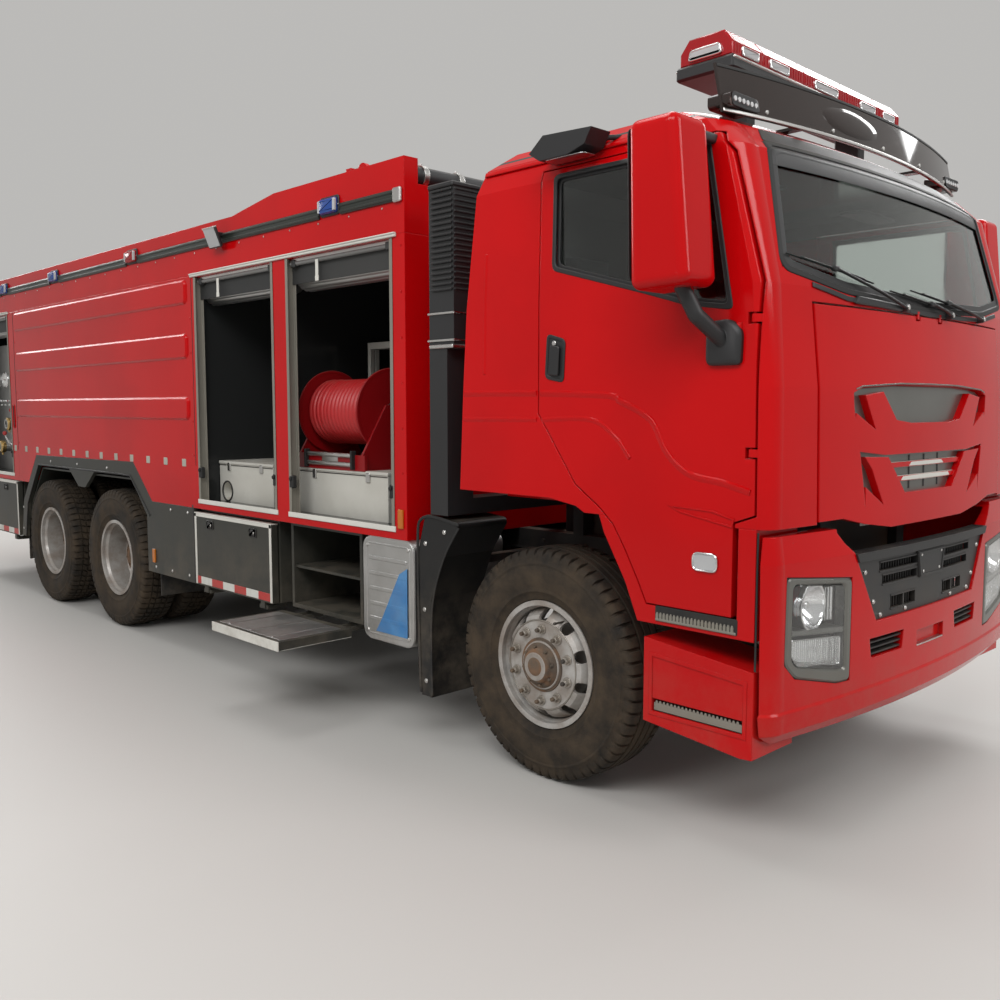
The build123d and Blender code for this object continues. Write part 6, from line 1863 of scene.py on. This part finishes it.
bayLook = {
    "hose": (0.180, 0.0145, 15),               # winding radius, strand radius, turns
    "reelY": -0.880,
    "reelZ": 1.700,
    "flaps": {                                  # rear x, front x, top
        "front": (-2.060, -1.355, 0.985), "middle": (-3.200, -2.210, 1.010), "rear": (-8.190, -6.730, 1.030),
    },
    "flapLow": 0.516,
    "flapDepth": 0.045,
    "hinge": (-1.230, 0.480),
    "edging": 0.024,
    "tank": (-1.260, -0.820, 0.477, 1.040),
    "guardEdges": ((0.016, -1.246, [(-0.788, 0.262), (-0.806, 0.990), (-0.758, 1.172), (-0.490, 1.156)]),
                   (0.012, -1.244, [(-0.698, 0.262), (-0.704, 0.500), (-0.690, 0.750), (-0.606, 0.975),
                                    (-0.492, 1.140)])),
    "guardBolts": ((-0.745, 0.330), (-0.755, 0.700), (-0.745, 1.040), (-0.600, 1.110)),
    "arch": [(-3.900, 0.930), (-4.220, 1.210), (-4.400, 1.214), (-6.150, 1.214), (-6.470, 0.850), (-6.550, 0.529)],
    "skirtBolts": ((-3.300, 0.560), (-3.300, 1.000), (-3.560, 0.560), (-3.820, 0.560), (-3.560, 1.000),
                   (-4.650, 1.250), (-5.250, 1.255), (-5.850, 1.255), (-6.600, 0.600), (-6.585, 0.800)),
    "outlets": ((-7.1375, 1.330), (-7.5875, 1.330), (-7.3625, 1.560)),
    "boxes": ((-2.120, -1.230, 1.365), (-3.110, -2.420, 1.360)),    # rear, front, top
}


def addHose():
    # One long strand wound along the drum, over its core
    radius, strand, turns = bayLook["hose"]
    low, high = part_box("reel_hose")
    x0, x1 = low.x - frontAxleX + strand, high.x - frontAxleX - strand
    y, z = bayLook["reelY"], bayLook["reelZ"]
    hose = newPiece()
    path = []
    steps = 40
    for k in range(turns * steps + 1):
        a = 2 * math.pi * k / steps
        path.append((x0 + (x1 - x0) * k / (turns * steps), y + radius * math.cos(a), z + radius * math.sin(a)))
    wide = (x1 - x0) / turns / 2 * 0.97
    addTube(hose, path, wide, 0, 10, flat=strand / wide)
    addRod(hose, (x0 - strand + 0.001, y, z), (x1 + strand - 0.001, y, z), radius - 0.004, 1, sides=64)
    makeObject(hose, "wound_hose", "hose_reel", ["hoseRed", "darkPartsAndShade"], replaces=("reel_hose",))
    flange = newPiece()
    for x, way in ((low.x - frontAxleX - 0.010, -1), (high.x - frontAxleX + 0.010, 1)):
        rim = [(x + way * 0.001, 0.236), (x + way * 0.001, 0.250), (x - way * 0.006, 0.253),
               (x - way * 0.012, 0.250), (x - way * 0.012, 0.236)]
        addRing(flange, rim, (0, y, z), "x", 64)
        addRing(flange, [(x, 0.020), (x, 0.052), (x + way * 0.0045, 0.050), (x + way * 0.0045, 0.020)], (0, y, z),
                "x", 36, 1)
        for v, w in around(6, 0.040):
            p = Vector((x, y + v, z + w))
            addRod(flange, p, p + Vector((way * 0.0055, 0, 0)), 0.005, 1, sides=6)
    makeObject(flange, "reel_rims", "hose_reel", ["shadedRed", "satinSteel"])


def addBayFittings():
    # Lids and seams of the pale boxes, reel guide rollers, bay lights, the frame's plate
    piece = newPiece()
    for x0, x1, top in bayLook["boxes"]:
        addBox(piece, x0 - 0.004, x1 + 0.004, -1.106, -0.450, top - 0.016, top + 0.004, 0, 0.004)
        addBox(piece, x0 + 0.004, x1 - 0.004, -1.103, -1.099, top - 0.026, top - 0.020, 1, 0.001)
        for t in (0.2, 0.8):
            x = x0 + (x1 - x0) * t
            addBox(piece, x - 0.018, x + 0.018, -1.110, -1.100, top - 0.060, top - 0.006, 2, 0.003)
    addRing(piece, [(-1.106, 0.062), (-1.106, 0.070), (-1.096, 0.072), (-1.096, 0.062)], (-3.006, 0, 1.160), "y",
            40, 3)
    for x0, x1 in bodyLook["openings"][:2]:
        addBox(piece, x0 + 0.10, x1 - 0.10, -1.120, -1.085, 2.560, 2.580, 4, 0.004)
    y = -1.118
    for z in (1.400, 1.452):
        addRod(piece, (-1.990, y, z), (-1.540, y, z), 0.013, 2, sides=20, edge=0.002)
    for x in (-2.000, -1.530):
        addBox(piece, x - 0.008, x + 0.008, y - 0.018, y + 0.018, 1.372, 1.480, 3, 0.003)
    addPlate(piece, rectangle(-1.850, -1.690, 1.398, 1.442, 0.004, 2), "y", -1.1125, -1.1095, 2, 0.0006)
    makeObject(piece, "bay_fittings", "chassis", ["boxPaint", "darkPartsAndShade", "satinSteel", "blackRubber",
                                                  "clearLens"])


def addPumpPanel():
    # Dials with ticks and needles, outlet caps with their lugs, levers and switches
    piece = newPiece()
    face = -1.040
    rear, pitch = -8.150, 0.225
    for i in range(4):
        x, z = rear + pitch * (1.1 + 1.35 * i), 2.000
        addRing(piece, [(face - 0.008, 0.066), (face - 0.010, 0.074), (face - 0.004, 0.081), (face + 0.006, 0.081),
                        (face + 0.006, 0.066)], (x, 0, z), "y", 40, 1)
        addRod(piece, (x, face, z), (x, face - 0.002, z), 0.066, 2, sides=40)
        for k in range(11):
            a = math.radians(225 - 27 * k)
            turn = Matrix.Rotation(-(a - math.pi / 2), 3, "Y")
            tickX, tickZ = x + 0.054 * math.cos(a), z + 0.054 * math.sin(a)
            addBox(piece, tickX - 0.0015, tickX + 0.0015, face - 0.003, face - 0.002, tickZ - 0.006, tickZ + 0.006,
                   3, 0.0003, turn)
        a = math.radians(200 - 30 * i)
        needleX, needleZ = x + 0.020 * math.cos(a), z + 0.020 * math.sin(a)
        turn = Matrix.Rotation(-(a - math.pi / 2), 3, "Y")
        addBox(piece, needleX - 0.002, needleX + 0.002, face - 0.0045, face - 0.0030, needleZ - 0.028,
               needleZ + 0.028, 4, 0.0005, turn)
        addRod(piece, (x, face - 0.002, z), (x, face - 0.007, z), 0.006, 3, sides=16)
    for x, z in bayLook["outlets"]:
        addRing(piece, [(-1.080, 0.0495), (-1.080, 0.062), (-1.116, 0.062), (-1.122, 0.056), (-1.129, 0.050),
                        (-1.129, 0.0335)], (x, 0, z), "y", 36, 5)
        for k in range(3):
            a = 2 * math.pi * k / 3 + 0.5
            p = Vector((x + 0.060 * math.cos(a), -1.100, z + 0.060 * math.sin(a)))
            addRod(piece, p, p + Vector((0.024 * math.cos(a), 0, 0.024 * math.sin(a))), 0.010, 5, sides=14,
                   edge=0.002)
        for u, w in around(6, 0.061):
            addBolt(piece, (x + u, -1.020, z + w), (0, -1, 0), 0.006, 1, 0.006)
        addTube(piece, bent([(x + 0.10, -1.001, z + 0.02), (x + 0.10, -1.060, z + 0.02),
                             (x + 0.10, -1.105, z + 0.12)], 0.03), 0.009, 1, 10)
        addTurned(piece, [(-0.022, 0.006), (-0.014, 0.018), (0.0, 0.022), (0.014, 0.018), (0.022, 0.006)],
                  (x + 0.10, -1.105, z + 0.135), "z", 20, 4)
    for k in range(10):
        x = rear + 0.16 + 0.115 * k
        addRod(piece, (x, -1.0, 1.790), (x, -1.010, 1.790), 0.016, 1, sides=20, edge=0.002)
        addRod(piece, (x, -1.010, 1.790), (x, -1.026 if k % 3 else -1.016, 1.790), 0.009, 6 if k % 3 == 0 else 1,
               sides=16, edge=0.002)
        addBox(piece, x - 0.022, x + 0.022, -1.0015, -0.9995, 1.742, 1.758, 2, 0.0004)
    for z in (1.150, 1.700, 1.860, 2.310):
        for x in (rear + 0.05, -7.475, -6.850):
            addBolt(piece, (x, -1.0, z), (0, -1, 0), 0.008, 1, 0.005)
    makeObject(piece, "pump_controls", "chassis",
               ["aluminium", "chrome", "gaugeFace", "blackPlastic", "hoseRed", "brass", "redLens"])


def dressFlap(name, side, opened):
    # White edging on three sides, hazard tape along the foot, latches, and an inner sheet with three ribs
    look = bayLook
    x0, x1, top = look["flaps"][name]
    low, edging = look["flapLow"], look["edging"]
    y = -bodyLook["side"]
    piece = newPiece()
    for a, b, c, d in ((x0, x0 + edging, low + 0.004, top), (x1 - edging, x1, low + 0.004, top),
                       (x0, x1, top - edging, top)):
        addBox(piece, a, b, y - 0.003, y + 0.001, c, d, 0, 0.001)
    addBox(piece, x0 - 0.001, x1 + 0.001, y - 0.004, y + look["flapDepth"] + 0.002, top - 0.004, top + 0.003, 0,
           0.001)
    addBox(piece, x0 + edging, x1 - edging, y - 0.0025, y + 0.001, low + 0.010, low + 0.060, 1, 0.0005)
    for t in (0.22, 0.78):
        x = x0 + (x1 - x0) * t
        outline = rectangle(x - 0.045, x + 0.045, top - 0.100, top - 0.040, 0.012, 3)
        addPlate(piece, outline, "y", y - 0.006, y + 0.001, 2, 0.003, hole=inset(outline, 0.008))
        addPlate(piece, inset(outline, 0.012), "y", y - 0.008, y + 0.001, 2, 0.003)
        addRod(piece, (x + 0.022, y - 0.008, top - 0.070), (x + 0.022, y - 0.012, top - 0.070), 0.008, 3, sides=16,
               edge=0.001)
    addBox(piece, x0 + 0.03, x1 - 0.03, y + look["flapDepth"], y + look["flapDepth"] + 0.003, low + 0.05,
           top - 0.03, 4, 0.001)
    for t in (0.18, 0.5, 0.82):
        x = x0 + (x1 - x0) * t
        addBox(piece, x - 0.006, x + 0.006, y + look["flapDepth"], y + look["flapDepth"] + 0.006, low + 0.06,
               top - 0.04, 4, 0.001)
    if opened:
        hinge = Vector((0, *look["hinge"]))
        turn = Matrix.Translation(hinge) @ Matrix.Rotation(math.radians(90), 4, "X") @ Matrix.Translation(-hinge)
        piece["points"] = [turn @ Vector(p) for p in piece["points"]]
    if side == "left":
        piece = mirrored(piece)
    body = "flap_%s_%s" % (name, side)
    makeObject(piece, body + "_trim", body, ["edgeWhite", "sideTape", "blackPlastic", "satinSteel", "aluminium"])


def addTankCover():
    # Ribbed aluminium cover with corner bolts and the blue film left on its lower corner
    x0, x1, z0, z1 = bayLook["tank"]
    y = -bodyLook["side"]
    piece = newPiece()
    outline = rectangle(x0 + 0.004, x1 - 0.004, z0 + 0.004, z1 - 0.004, 0.068, 7)
    addPlate(piece, outline, "y", y - 0.006, y + 0.002, 0, 0.004)
    addPlate(piece, inset(outline, 0.028), "y", y - 0.009, y - 0.004, 0, 0.003, hole=inset(outline, 0.036))
    for z in spaced(z0 + 0.110, z1 - 0.09, 0.082):
        addPlate(piece, rectangle(x0 + 0.060, x1 - 0.060, z, z + 0.020, 0.009, 3), "y", y - 0.0105, y - 0.004, 0,
                 0.004)
    film = [(x0 + 0.120, z0 + 0.052), (x1 - 0.050, z0 + 0.052), (x1 - 0.050, z0 + 0.420), (x1 - 0.115, z0 + 0.385),
            (x0 + 0.175, z0 + 0.130)]
    addPlate(piece, film, "y", y - 0.0112, y - 0.0098, 1, 0.0003)
    for x in (x0 + 0.045, x1 - 0.045):
        for z in (z0 + 0.048, z1 - 0.048):
            addBolt(piece, (x, y - 0.006, z), (0, -1, 0), 0.009, 2)
    # mudguard edges and bolts before it
    for wide, outside, path in bayLook["guardEdges"]:
        addPlate(piece, strip(smoothPath(path), wide), "y", outside, -1.236, 3, wide / 4)
    for x, z in bayLook["guardBolts"]:
        addBolt(piece, (x, -1.240, z), (0, -1, 0), 0.009, 2, 0.006)
    makeObject(bothSides(piece), "tank_covers", "chassis", ["aluminium", "blueFilm", "satinSteel", "blackRubber"])


def addSkirtDetails():
    # Bolts and a rolled lip along the dark skirts and arches
    piece = newPiece()
    addPlate(piece, strip(bayLook["arch"], 0.014), "y", -1.256, -1.246, 0, 0.003)
    for x, z in bayLook["skirtBolts"]:
        addBolt(piece, (x, -1.250, z), (0, -1, 0), 0.008, 1, 0.005)
    addBox(piece, -3.235, -3.215, -1.2505, -1.245, 0.520, 1.060, 0, 0.001)
    makeObject(bothSides(piece), "skirt_details", "chassis", ["blackPlastic", "satinSteel"])


addHose()
addBayFittings()
addPumpPanel()
for flapName in bayLook["flaps"]:
    for sideName in ("right", "left"):
        dressFlap(flapName, sideName, flapName == "front")
addTankCover()
addSkirtDetails()
print("bays and lockers dressed")

# Rear, chassis and the cab's inside

restLook = {
    "bumperTop": 0.640,
    "ladder": (0.720, 1.100, 8, 0.800, 0.290),       # rail y twice, rungs, lowest rung, pitch
    "frameY": 0.425,
    "seatY": (-0.650, 0.650),
    "seatBase": (-0.250, 0.270),
    "pads": {                                        # rear, front, half width, foot, top, channel axis, channels
        "seat_cushion": (-0.250, 0.270, 0.255, 1.585, 1.715, 0, 5),
        "seat_back": (-0.215, -0.085, 0.235, 1.700, 2.280, 2, 5),
        "head_rest": (-0.235, -0.145, 0.130, 2.300, 2.450, 2, 1),
    },
    "wheel": (0.545, 0.650, 2.010, 0.215, 58),       # x, y, z, radius, lean in degrees
}


def addRear():
    # Chequer step, hazard tape, ladder treads, towing pin, mud flaps, blank plate, camera
    look = restLook
    rear = bodyLook["rear"]
    piece = newPiece()
    addBox(piece, rear - 0.146, rear - 0.004, -1.232, 1.232, look["bumperTop"], look["bumperTop"] + 0.004, 1, 0.001)
    for y0, y1 in ((-1.236, -0.420), (0.420, 1.236)):
        addBox(piece, rear - 0.1515, rear - 0.149, y0, y1, 0.574, 0.626, 2, 0.0005)
    addBox(piece, rear - 0.0025, rear + 0.001, -1.225, 1.225, 1.108, 1.134, 3, 0.0005)
    for y in (-1.228, 1.228):
        addBox(piece, rear - 0.006, rear + 0.001, y - 0.014, y + 0.014, 1.140, 2.960, 4, 0.002)
    addBox(piece, rear - 0.008, rear + 0.001, -0.640, 0.640, 2.586, 2.604, 3, 0.002)
    for y in (-0.612, 0.612):
        addBox(piece, rear - 0.005, rear + 0.030, y - 0.013, y + 0.013, 1.092, 2.586, 4, 0.002)
    first, second, rungs, low, pitch = look["ladder"]
    for k in range(rungs):
        z = low + pitch * k
        for j in range(5):
            y = first + 0.045 + (second - first - 0.09) * j / 4
            band = [(rear - 0.092 + u, y, z + w) for u, w in around(12, 0.0150)]
            addTube(piece, band, 0.0022, 4, 5, closed=True)
    for y in (first, second):
        for z in (1.120, 2.540):
            addBolt(piece, (rear - 0.112, y, z), (-1, 0, 0), 0.008, 4)
        addBox(piece, rear - 0.114, rear - 0.071, y - 0.019, y + 0.019, 2.985, 3.004, 5, 0.004)
    addRod(piece, (rear - 0.090, 0, 0.690), (rear - 0.090, 0, 0.838), 0.0175, 4, sides=20, edge=0.003)
    addTube(piece, bent([(rear - 0.090, 0, 0.838), (rear - 0.090, 0, 0.868), (rear - 0.050, 0, 0.868)], 0.01),
            0.007, 4, 10)
    plate = rectangle(-0.790, -0.350, 0.668, 0.788, 0.010, 3)
    addPlate(piece, plate, "x", rear - 0.008, rear - 0.001, 3, 0.002)
    addPlate(piece, inset(plate, 0.006), "x", rear - 0.0095, rear - 0.006, 5, 0.001, hole=inset(plate, 0.012))
    addBox(piece, rear - 0.035, rear + 0.001, -0.030, 0.030, 2.680, 2.730, 5, 0.006)
    addRod(piece, (rear - 0.034, 0, 2.703), (rear - 0.046, 0, 2.700), 0.014, 5, sides=20, edge=0.002)
    for side in (-1, 1):
        a, b = sorted((side * 0.700, side * 1.200))
        addBox(piece, -6.640, -6.628, a, b, 0.300, 0.720, 5, 0.003)
        addBox(piece, -3.868, -3.856, a, b, 0.330, 0.900, 5, 0.003)
    makeObject(piece, "rear_details", "chassis",
               ["redPaint", "treadPlate", "rearTape", "edgeWhite", "satinSteel", "blackRubber"])


def addChassisDetails():
    # Bolts along the frame rails and over the rear axles, and the pipes beside them
    piece = newPiece()
    y = -restLook["frameY"] - 0.0005
    for x in spaced(0.55, -8.1, -0.31):
        for z in (0.865, 0.985):
            addBolt(piece, (x, y, z), (0, -1, 0), 0.010, 1, 0.008)
    for x in wheelLook["stations"].values():
        for dx in (-0.11, 0.11):
            addBolt(piece, (x + dx, y, 0.925), (0, -1, 0), 0.014, 1, 0.012)
    for z, r in ((0.905, 0.009), (0.935, 0.007), (0.880, 0.006)):
        addTube(piece, bent([(-0.30, -0.440, z), (-2.40, -0.440, z), (-2.60, -0.440, z + 0.02),
                             (-4.20, -0.440, z + 0.02)], 0.05), r, 0, 8)
    makeObject(bothSides(piece), "chassis_details", "chassis", ["blackRubber", "castMetal"])


def cushionPiece(x0, x1, y0, y1, z0, z1, along, channels):
    # A crowned pad: sides pull in between the corners, sewn channels across its face.
    # along is the axis that the channels follow in turn; the other face axis is y
    piece = newPiece()
    low, high = (x0, y0, z0), (x1, y1, z1)
    middle = [(a + b) / 2 for a, b in zip(low, high)]
    half = [(b - a) / 2 for a, b in zip(low, high)]
    thick = 2 if along == 0 else 0
    count = 24
    points, faces = [], []

    def spot(u, v, w):
        # u along, v across, w through; each from -1 to 1
        pull = 1 - 0.030 * (1 - v * v) * abs(u) ** 6
        squeeze = 1 - 0.030 * (1 - u * u) * abs(v) ** 6
        dome = (1 - abs(u) ** 6) * (1 - abs(v) ** 6)
        crown = 0.58 + 0.34 * dome ** 0.45 + 0.06 * dome
        seam = 0.035 * abs(math.cos(u * math.pi * channels / 2)) ** 10 if w > 0 else 0
        p = [0, 0, 0]
        p[along] = middle[along] + half[along] * u * pull
        p[1] = middle[1] + half[1] * v * squeeze
        p[thick] = middle[thick] + half[thick] * w * (crown - seam * dome)
        return tuple(p)

    for w in (-1, 1):
        for i in range(count + 1):
            for j in range(count + 1):
                points.append(spot(-1 + 2 * i / count, -1 + 2 * j / count, w))
    wide = count + 1
    top = wide * wide
    for i in range(count):
        for j in range(count):
            a = i * wide + j
            faces.append([a, a + 1, a + wide + 1, a + wide])
            faces.append([top + a, top + a + wide, top + a + wide + 1, top + a + 1])
    rim = [i * wide for i in range(count)] + [count * wide + j for j in range(count)] + \
        [(count - i) * wide + count for i in range(count)] + [count - j for j in range(count)]
    for k, a in enumerate(rim):
        b = rim[(k + 1) % len(rim)]
        faces.append([a, top + a, top + b, b][::-1])
    addFaces(piece, points, faces)
    return turnOutward(piece)


def addSeats():
    # Each seat: two padded cushions on dark shells, a head rest, belt and buckle
    look = restLook
    for number, y in enumerate(look["seatY"]):
        base = look["seatBase"]
        for pad, (x0, x1, half, z0, z1, along, channels) in look["pads"].items():
            piece = cushionPiece(x0, x1, y - half, y + half, z0, z1, along, channels)
            name = "%s_%d" % (pad, number)
            makeObject(piece, name, "chassis", ["seatCloth"], smoothAngle=60)
        shell = newPiece()
        for dy in (-0.060, 0.060):
            addRod(shell, (-0.190, y + dy, 2.260), (-0.190, y + dy, 2.340), 0.006, 1, sides=12)
        addBox(shell, base[0] + 0.02, base[1] - 0.02, y - 0.245, y + 0.245, 1.560, 1.600, 0, 0.012)
        addBox(shell, -0.05, 0.14, y + 0.262, y + 0.290, 1.640, 1.700, 0, 0.010)
        addBox(shell, -0.050, -0.020, y - 0.290, y - 0.262, 1.560, 1.760, 2, 0.004)
        addBox(shell, base[1] - 0.01, base[1] + 0.03, y - 0.20, y + 0.20, 1.340, 1.370, 1, 0.004)
        makeObject(shell, "seat_fittings_%d" % number, "chassis", ["blackPlastic", "satinSteel", "hoseRed"])


def addDashboard():
    # Hooded dials, centre stack, vents, glove lid, wheel rim grips, column stalks, gear lever
    piece = newPiece()
    hood = smoothPath([(0.330, 2.080), (0.400, 2.150), (0.650, 2.175), (0.900, 2.150), (0.970, 2.080)])
    addPlate(piece, hood, "x", 0.780, 0.900, 0, 0.012)
    addPlate(piece, rectangle(0.430, 0.870, 2.090, 2.150, 0.02, 3), "x", 0.774, 0.786, 1, 0.002)
    for y in (0.545, 0.755):
        addRod(piece, (0.774, y, 2.120), (0.771, y, 2.120), 0.027, 2, sides=32)
        addRod(piece, (0.771, y, 2.120), (0.770, y, 2.120), 0.005, 1, sides=12)
    addPlate(piece, rectangle(-0.235, 0.235, 1.500, 2.060, 0.03, 4), "x", 0.762, 0.786, 0, 0.010)
    addPlate(piece, rectangle(-0.150, 0.150, 1.905, 2.005, 0.012, 3), "x", 0.757, 0.765, 3, 0.002)
    for row in range(3):
        for k in range(5):
            y = -0.140 + 0.070 * k
            addPlate(piece, rectangle(y - 0.024, y + 0.024, 1.820 - 0.055 * row, 1.855 - 0.055 * row, 0.006, 2),
                     "x", 0.755, 0.765, 1, 0.002)
    for y in (-0.090, 0.0, 0.090):
        addRod(piece, (0.762, y, 1.640), (0.742, y, 1.640), 0.026, 1, sides=28, edge=0.003)
    for y in (-0.950, -0.330, 0.300, 0.990):
        for k in range(4):
            addBox(piece, 0.772, 0.782, y - 0.060, y + 0.060, 1.985 + 0.016 * k, 1.991 + 0.016 * k, 1, 0.002)
    addPlate(piece, rectangle(-0.860, -0.400, 1.830, 1.960, 0.02, 4), "x", 0.772, 0.784, 0, 0.004)
    addBox(piece, 0.768, 0.775, -0.660, -0.600, 1.930, 1.945, 4, 0.002)
    x, y, z, radius, lean = restLook["wheel"]
    turn = Matrix.Translation((x, y, z)) @ Matrix.Rotation(math.radians(-lean), 4, "Y")
    part = newPiece()
    for start in (35, 215):
        path = []
        for k in range(13):
            a = math.radians(start + 110 * k / 12)
            path.append((radius * math.cos(a), radius * math.sin(a), 0))
        addTube(part, path, 0.0185, 1, 12)
    addRod(part, (0, 0, 0.004), (0, 0, 0.030), 0.062, 1, sides=32, edge=0.008)
    merge(piece, part, turn)
    for way in (-1, 1):
        addTube(piece, bent([(0.620, y, 1.965), (0.610, y + way * 0.10, 1.975), (0.600, y + way * 0.21, 1.990)],
                            0.03), 0.009, 1, 8)
    addTube(piece, bent([(0.42, 0.16, 1.335), (0.40, 0.16, 1.60), (0.34, 0.20, 1.76)], 0.06), 0.012, 1, 10)
    addTurned(piece, [(-0.035, 0.010), (-0.020, 0.024), (0.005, 0.029), (0.025, 0.022), (0.034, 0.008)],
              (0.335, 0.203, 1.790), "z", 24, 1)
    for py in (0.520, 0.700, 0.800):
        addBox(piece, 0.700, 0.712, py - 0.035, py + 0.035, 1.400, 1.520, 1, 0.004,
               Matrix.Rotation(math.radians(-25), 3, "Y"))
    for y in (-0.560, 0.560):
        addBox(piece, 0.60, 0.72, y - 0.20, y + 0.20, 2.690, 2.706, 0, 0.006)
    makeObject(piece, "cab_fittings", "chassis", ["cabTrim", "blackPlastic", "gaugeFace", "darkPartsAndShade",
                                                  "satinSteel"])


addRear()
addChassisDetails()
addSeats()
addDashboard()
print("rear, chassis and cab inside dressed")

# Floor, daylight and studio lamps

studio = {
    "floorColour": (0.50, 0.49, 0.47),
    "floorReach": 70,
    "sky": 0.50,
    "room": (1.0, 0.985, 0.96),
    "fade": (8.0, 17.0),     # metres from the truck's middle where the floor starts and ends to fade
    "lamps": [
        # place, width, length, power, aimed at
        ((2.0, -7.5, 7.5), 3.0, 9.0, 620, (-2.0, 0.0, 1.4)),
        ((7.5, 1.5, 6.0), 4.0, 3.0, 230, (0.8, 0.0, 1.6)),
        ((-2.0, 8.5, 7.5), 3.0, 9.0, 560, (-2.0, 0.0, 1.4)),
        ((-13.0, -1.0, 6.0), 4.0, 3.0, 300, (-8.0, 0.0, 1.6)),
        ((-3.0, 0.0, 9.5), 8.0, 2.5, 260, (-3.0, 0.0, 2.0)),
    ],
}


def addStudio(setup):
    floor = bpy.data.meshes.new("studioFloor")
    reach = setup["floorReach"]
    floor.from_pydata([(-reach, -reach, 0), (reach, -reach, 0), (reach, reach, 0), (-reach, reach, 0)], [],
                      [(0, 1, 2, 3)])
    paper = bpy.data.materials.new("floorPaper")
    paper.use_nodes = True
    tree = paper.node_tree
    shader = tree.nodes["Principled BSDF"]
    grain = placeGroup(tree, "grain", Scale=12.0, Cloud_Scale=0.3)
    colour = blendColour(tree, grain.outputs["Cloud"], setup["floorColour"],
                         tuple(c * 0.96 for c in setup["floorColour"]))
    tree.links.new(colour, shader.inputs["Base Color"])
    shader.inputs["Roughness"].default_value = 0.55
    # far off the floor takes on the room's colour, so that no edge shows
    place = addNode(tree, "TexCoord").outputs["Object"]
    away = addNode(tree, "VectorMath", {0: place}, operation="LENGTH").outputs["Value"]
    far = smoothRange(tree, away, *setup["fade"])
    glow = addNode(tree, "Emission", {"Color": setup["room"] + (1.0,), "Strength": setup["sky"]})
    blend = addNode(tree, "MixShader", {0: far, 1: shader.outputs[0], 2: glow.outputs[0]})
    tree.links.new(blend.outputs[0], tree.nodes["Material Output"].inputs["Surface"])
    floor.materials.append(paper)
    obj = bpy.data.objects.new("studioFloor", floor)
    bpy.context.scene.collection.objects.link(obj)
    world = bpy.data.worlds.new("softRoom")
    world.use_nodes = True
    background = world.node_tree.nodes["Background"]
    background.inputs["Color"].default_value = setup["room"] + (1.0,)
    background.inputs["Strength"].default_value = setup["sky"]
    bpy.context.scene.world = world
    for number, (place, width, length, power, aim) in enumerate(setup["lamps"]):
        data = bpy.data.lights.new("softbox%d" % number, "AREA")
        data.shape = "RECTANGLE"
        data.size, data.size_y = length, width
        data.energy = power
        lamp = bpy.data.objects.new("softbox%d" % number, data)
        bpy.context.scene.collection.objects.link(lamp)
        lamp.location = (place[0] + frontAxleX, place[1], place[2])
        look = Vector(aim) - Vector(place)
        lamp.rotation_euler = look.to_track_quat("-Z", "Y").to_euler()


addStudio(studio)
bpy.context.scene.view_settings.view_transform = "Standard"
print("studio ready")
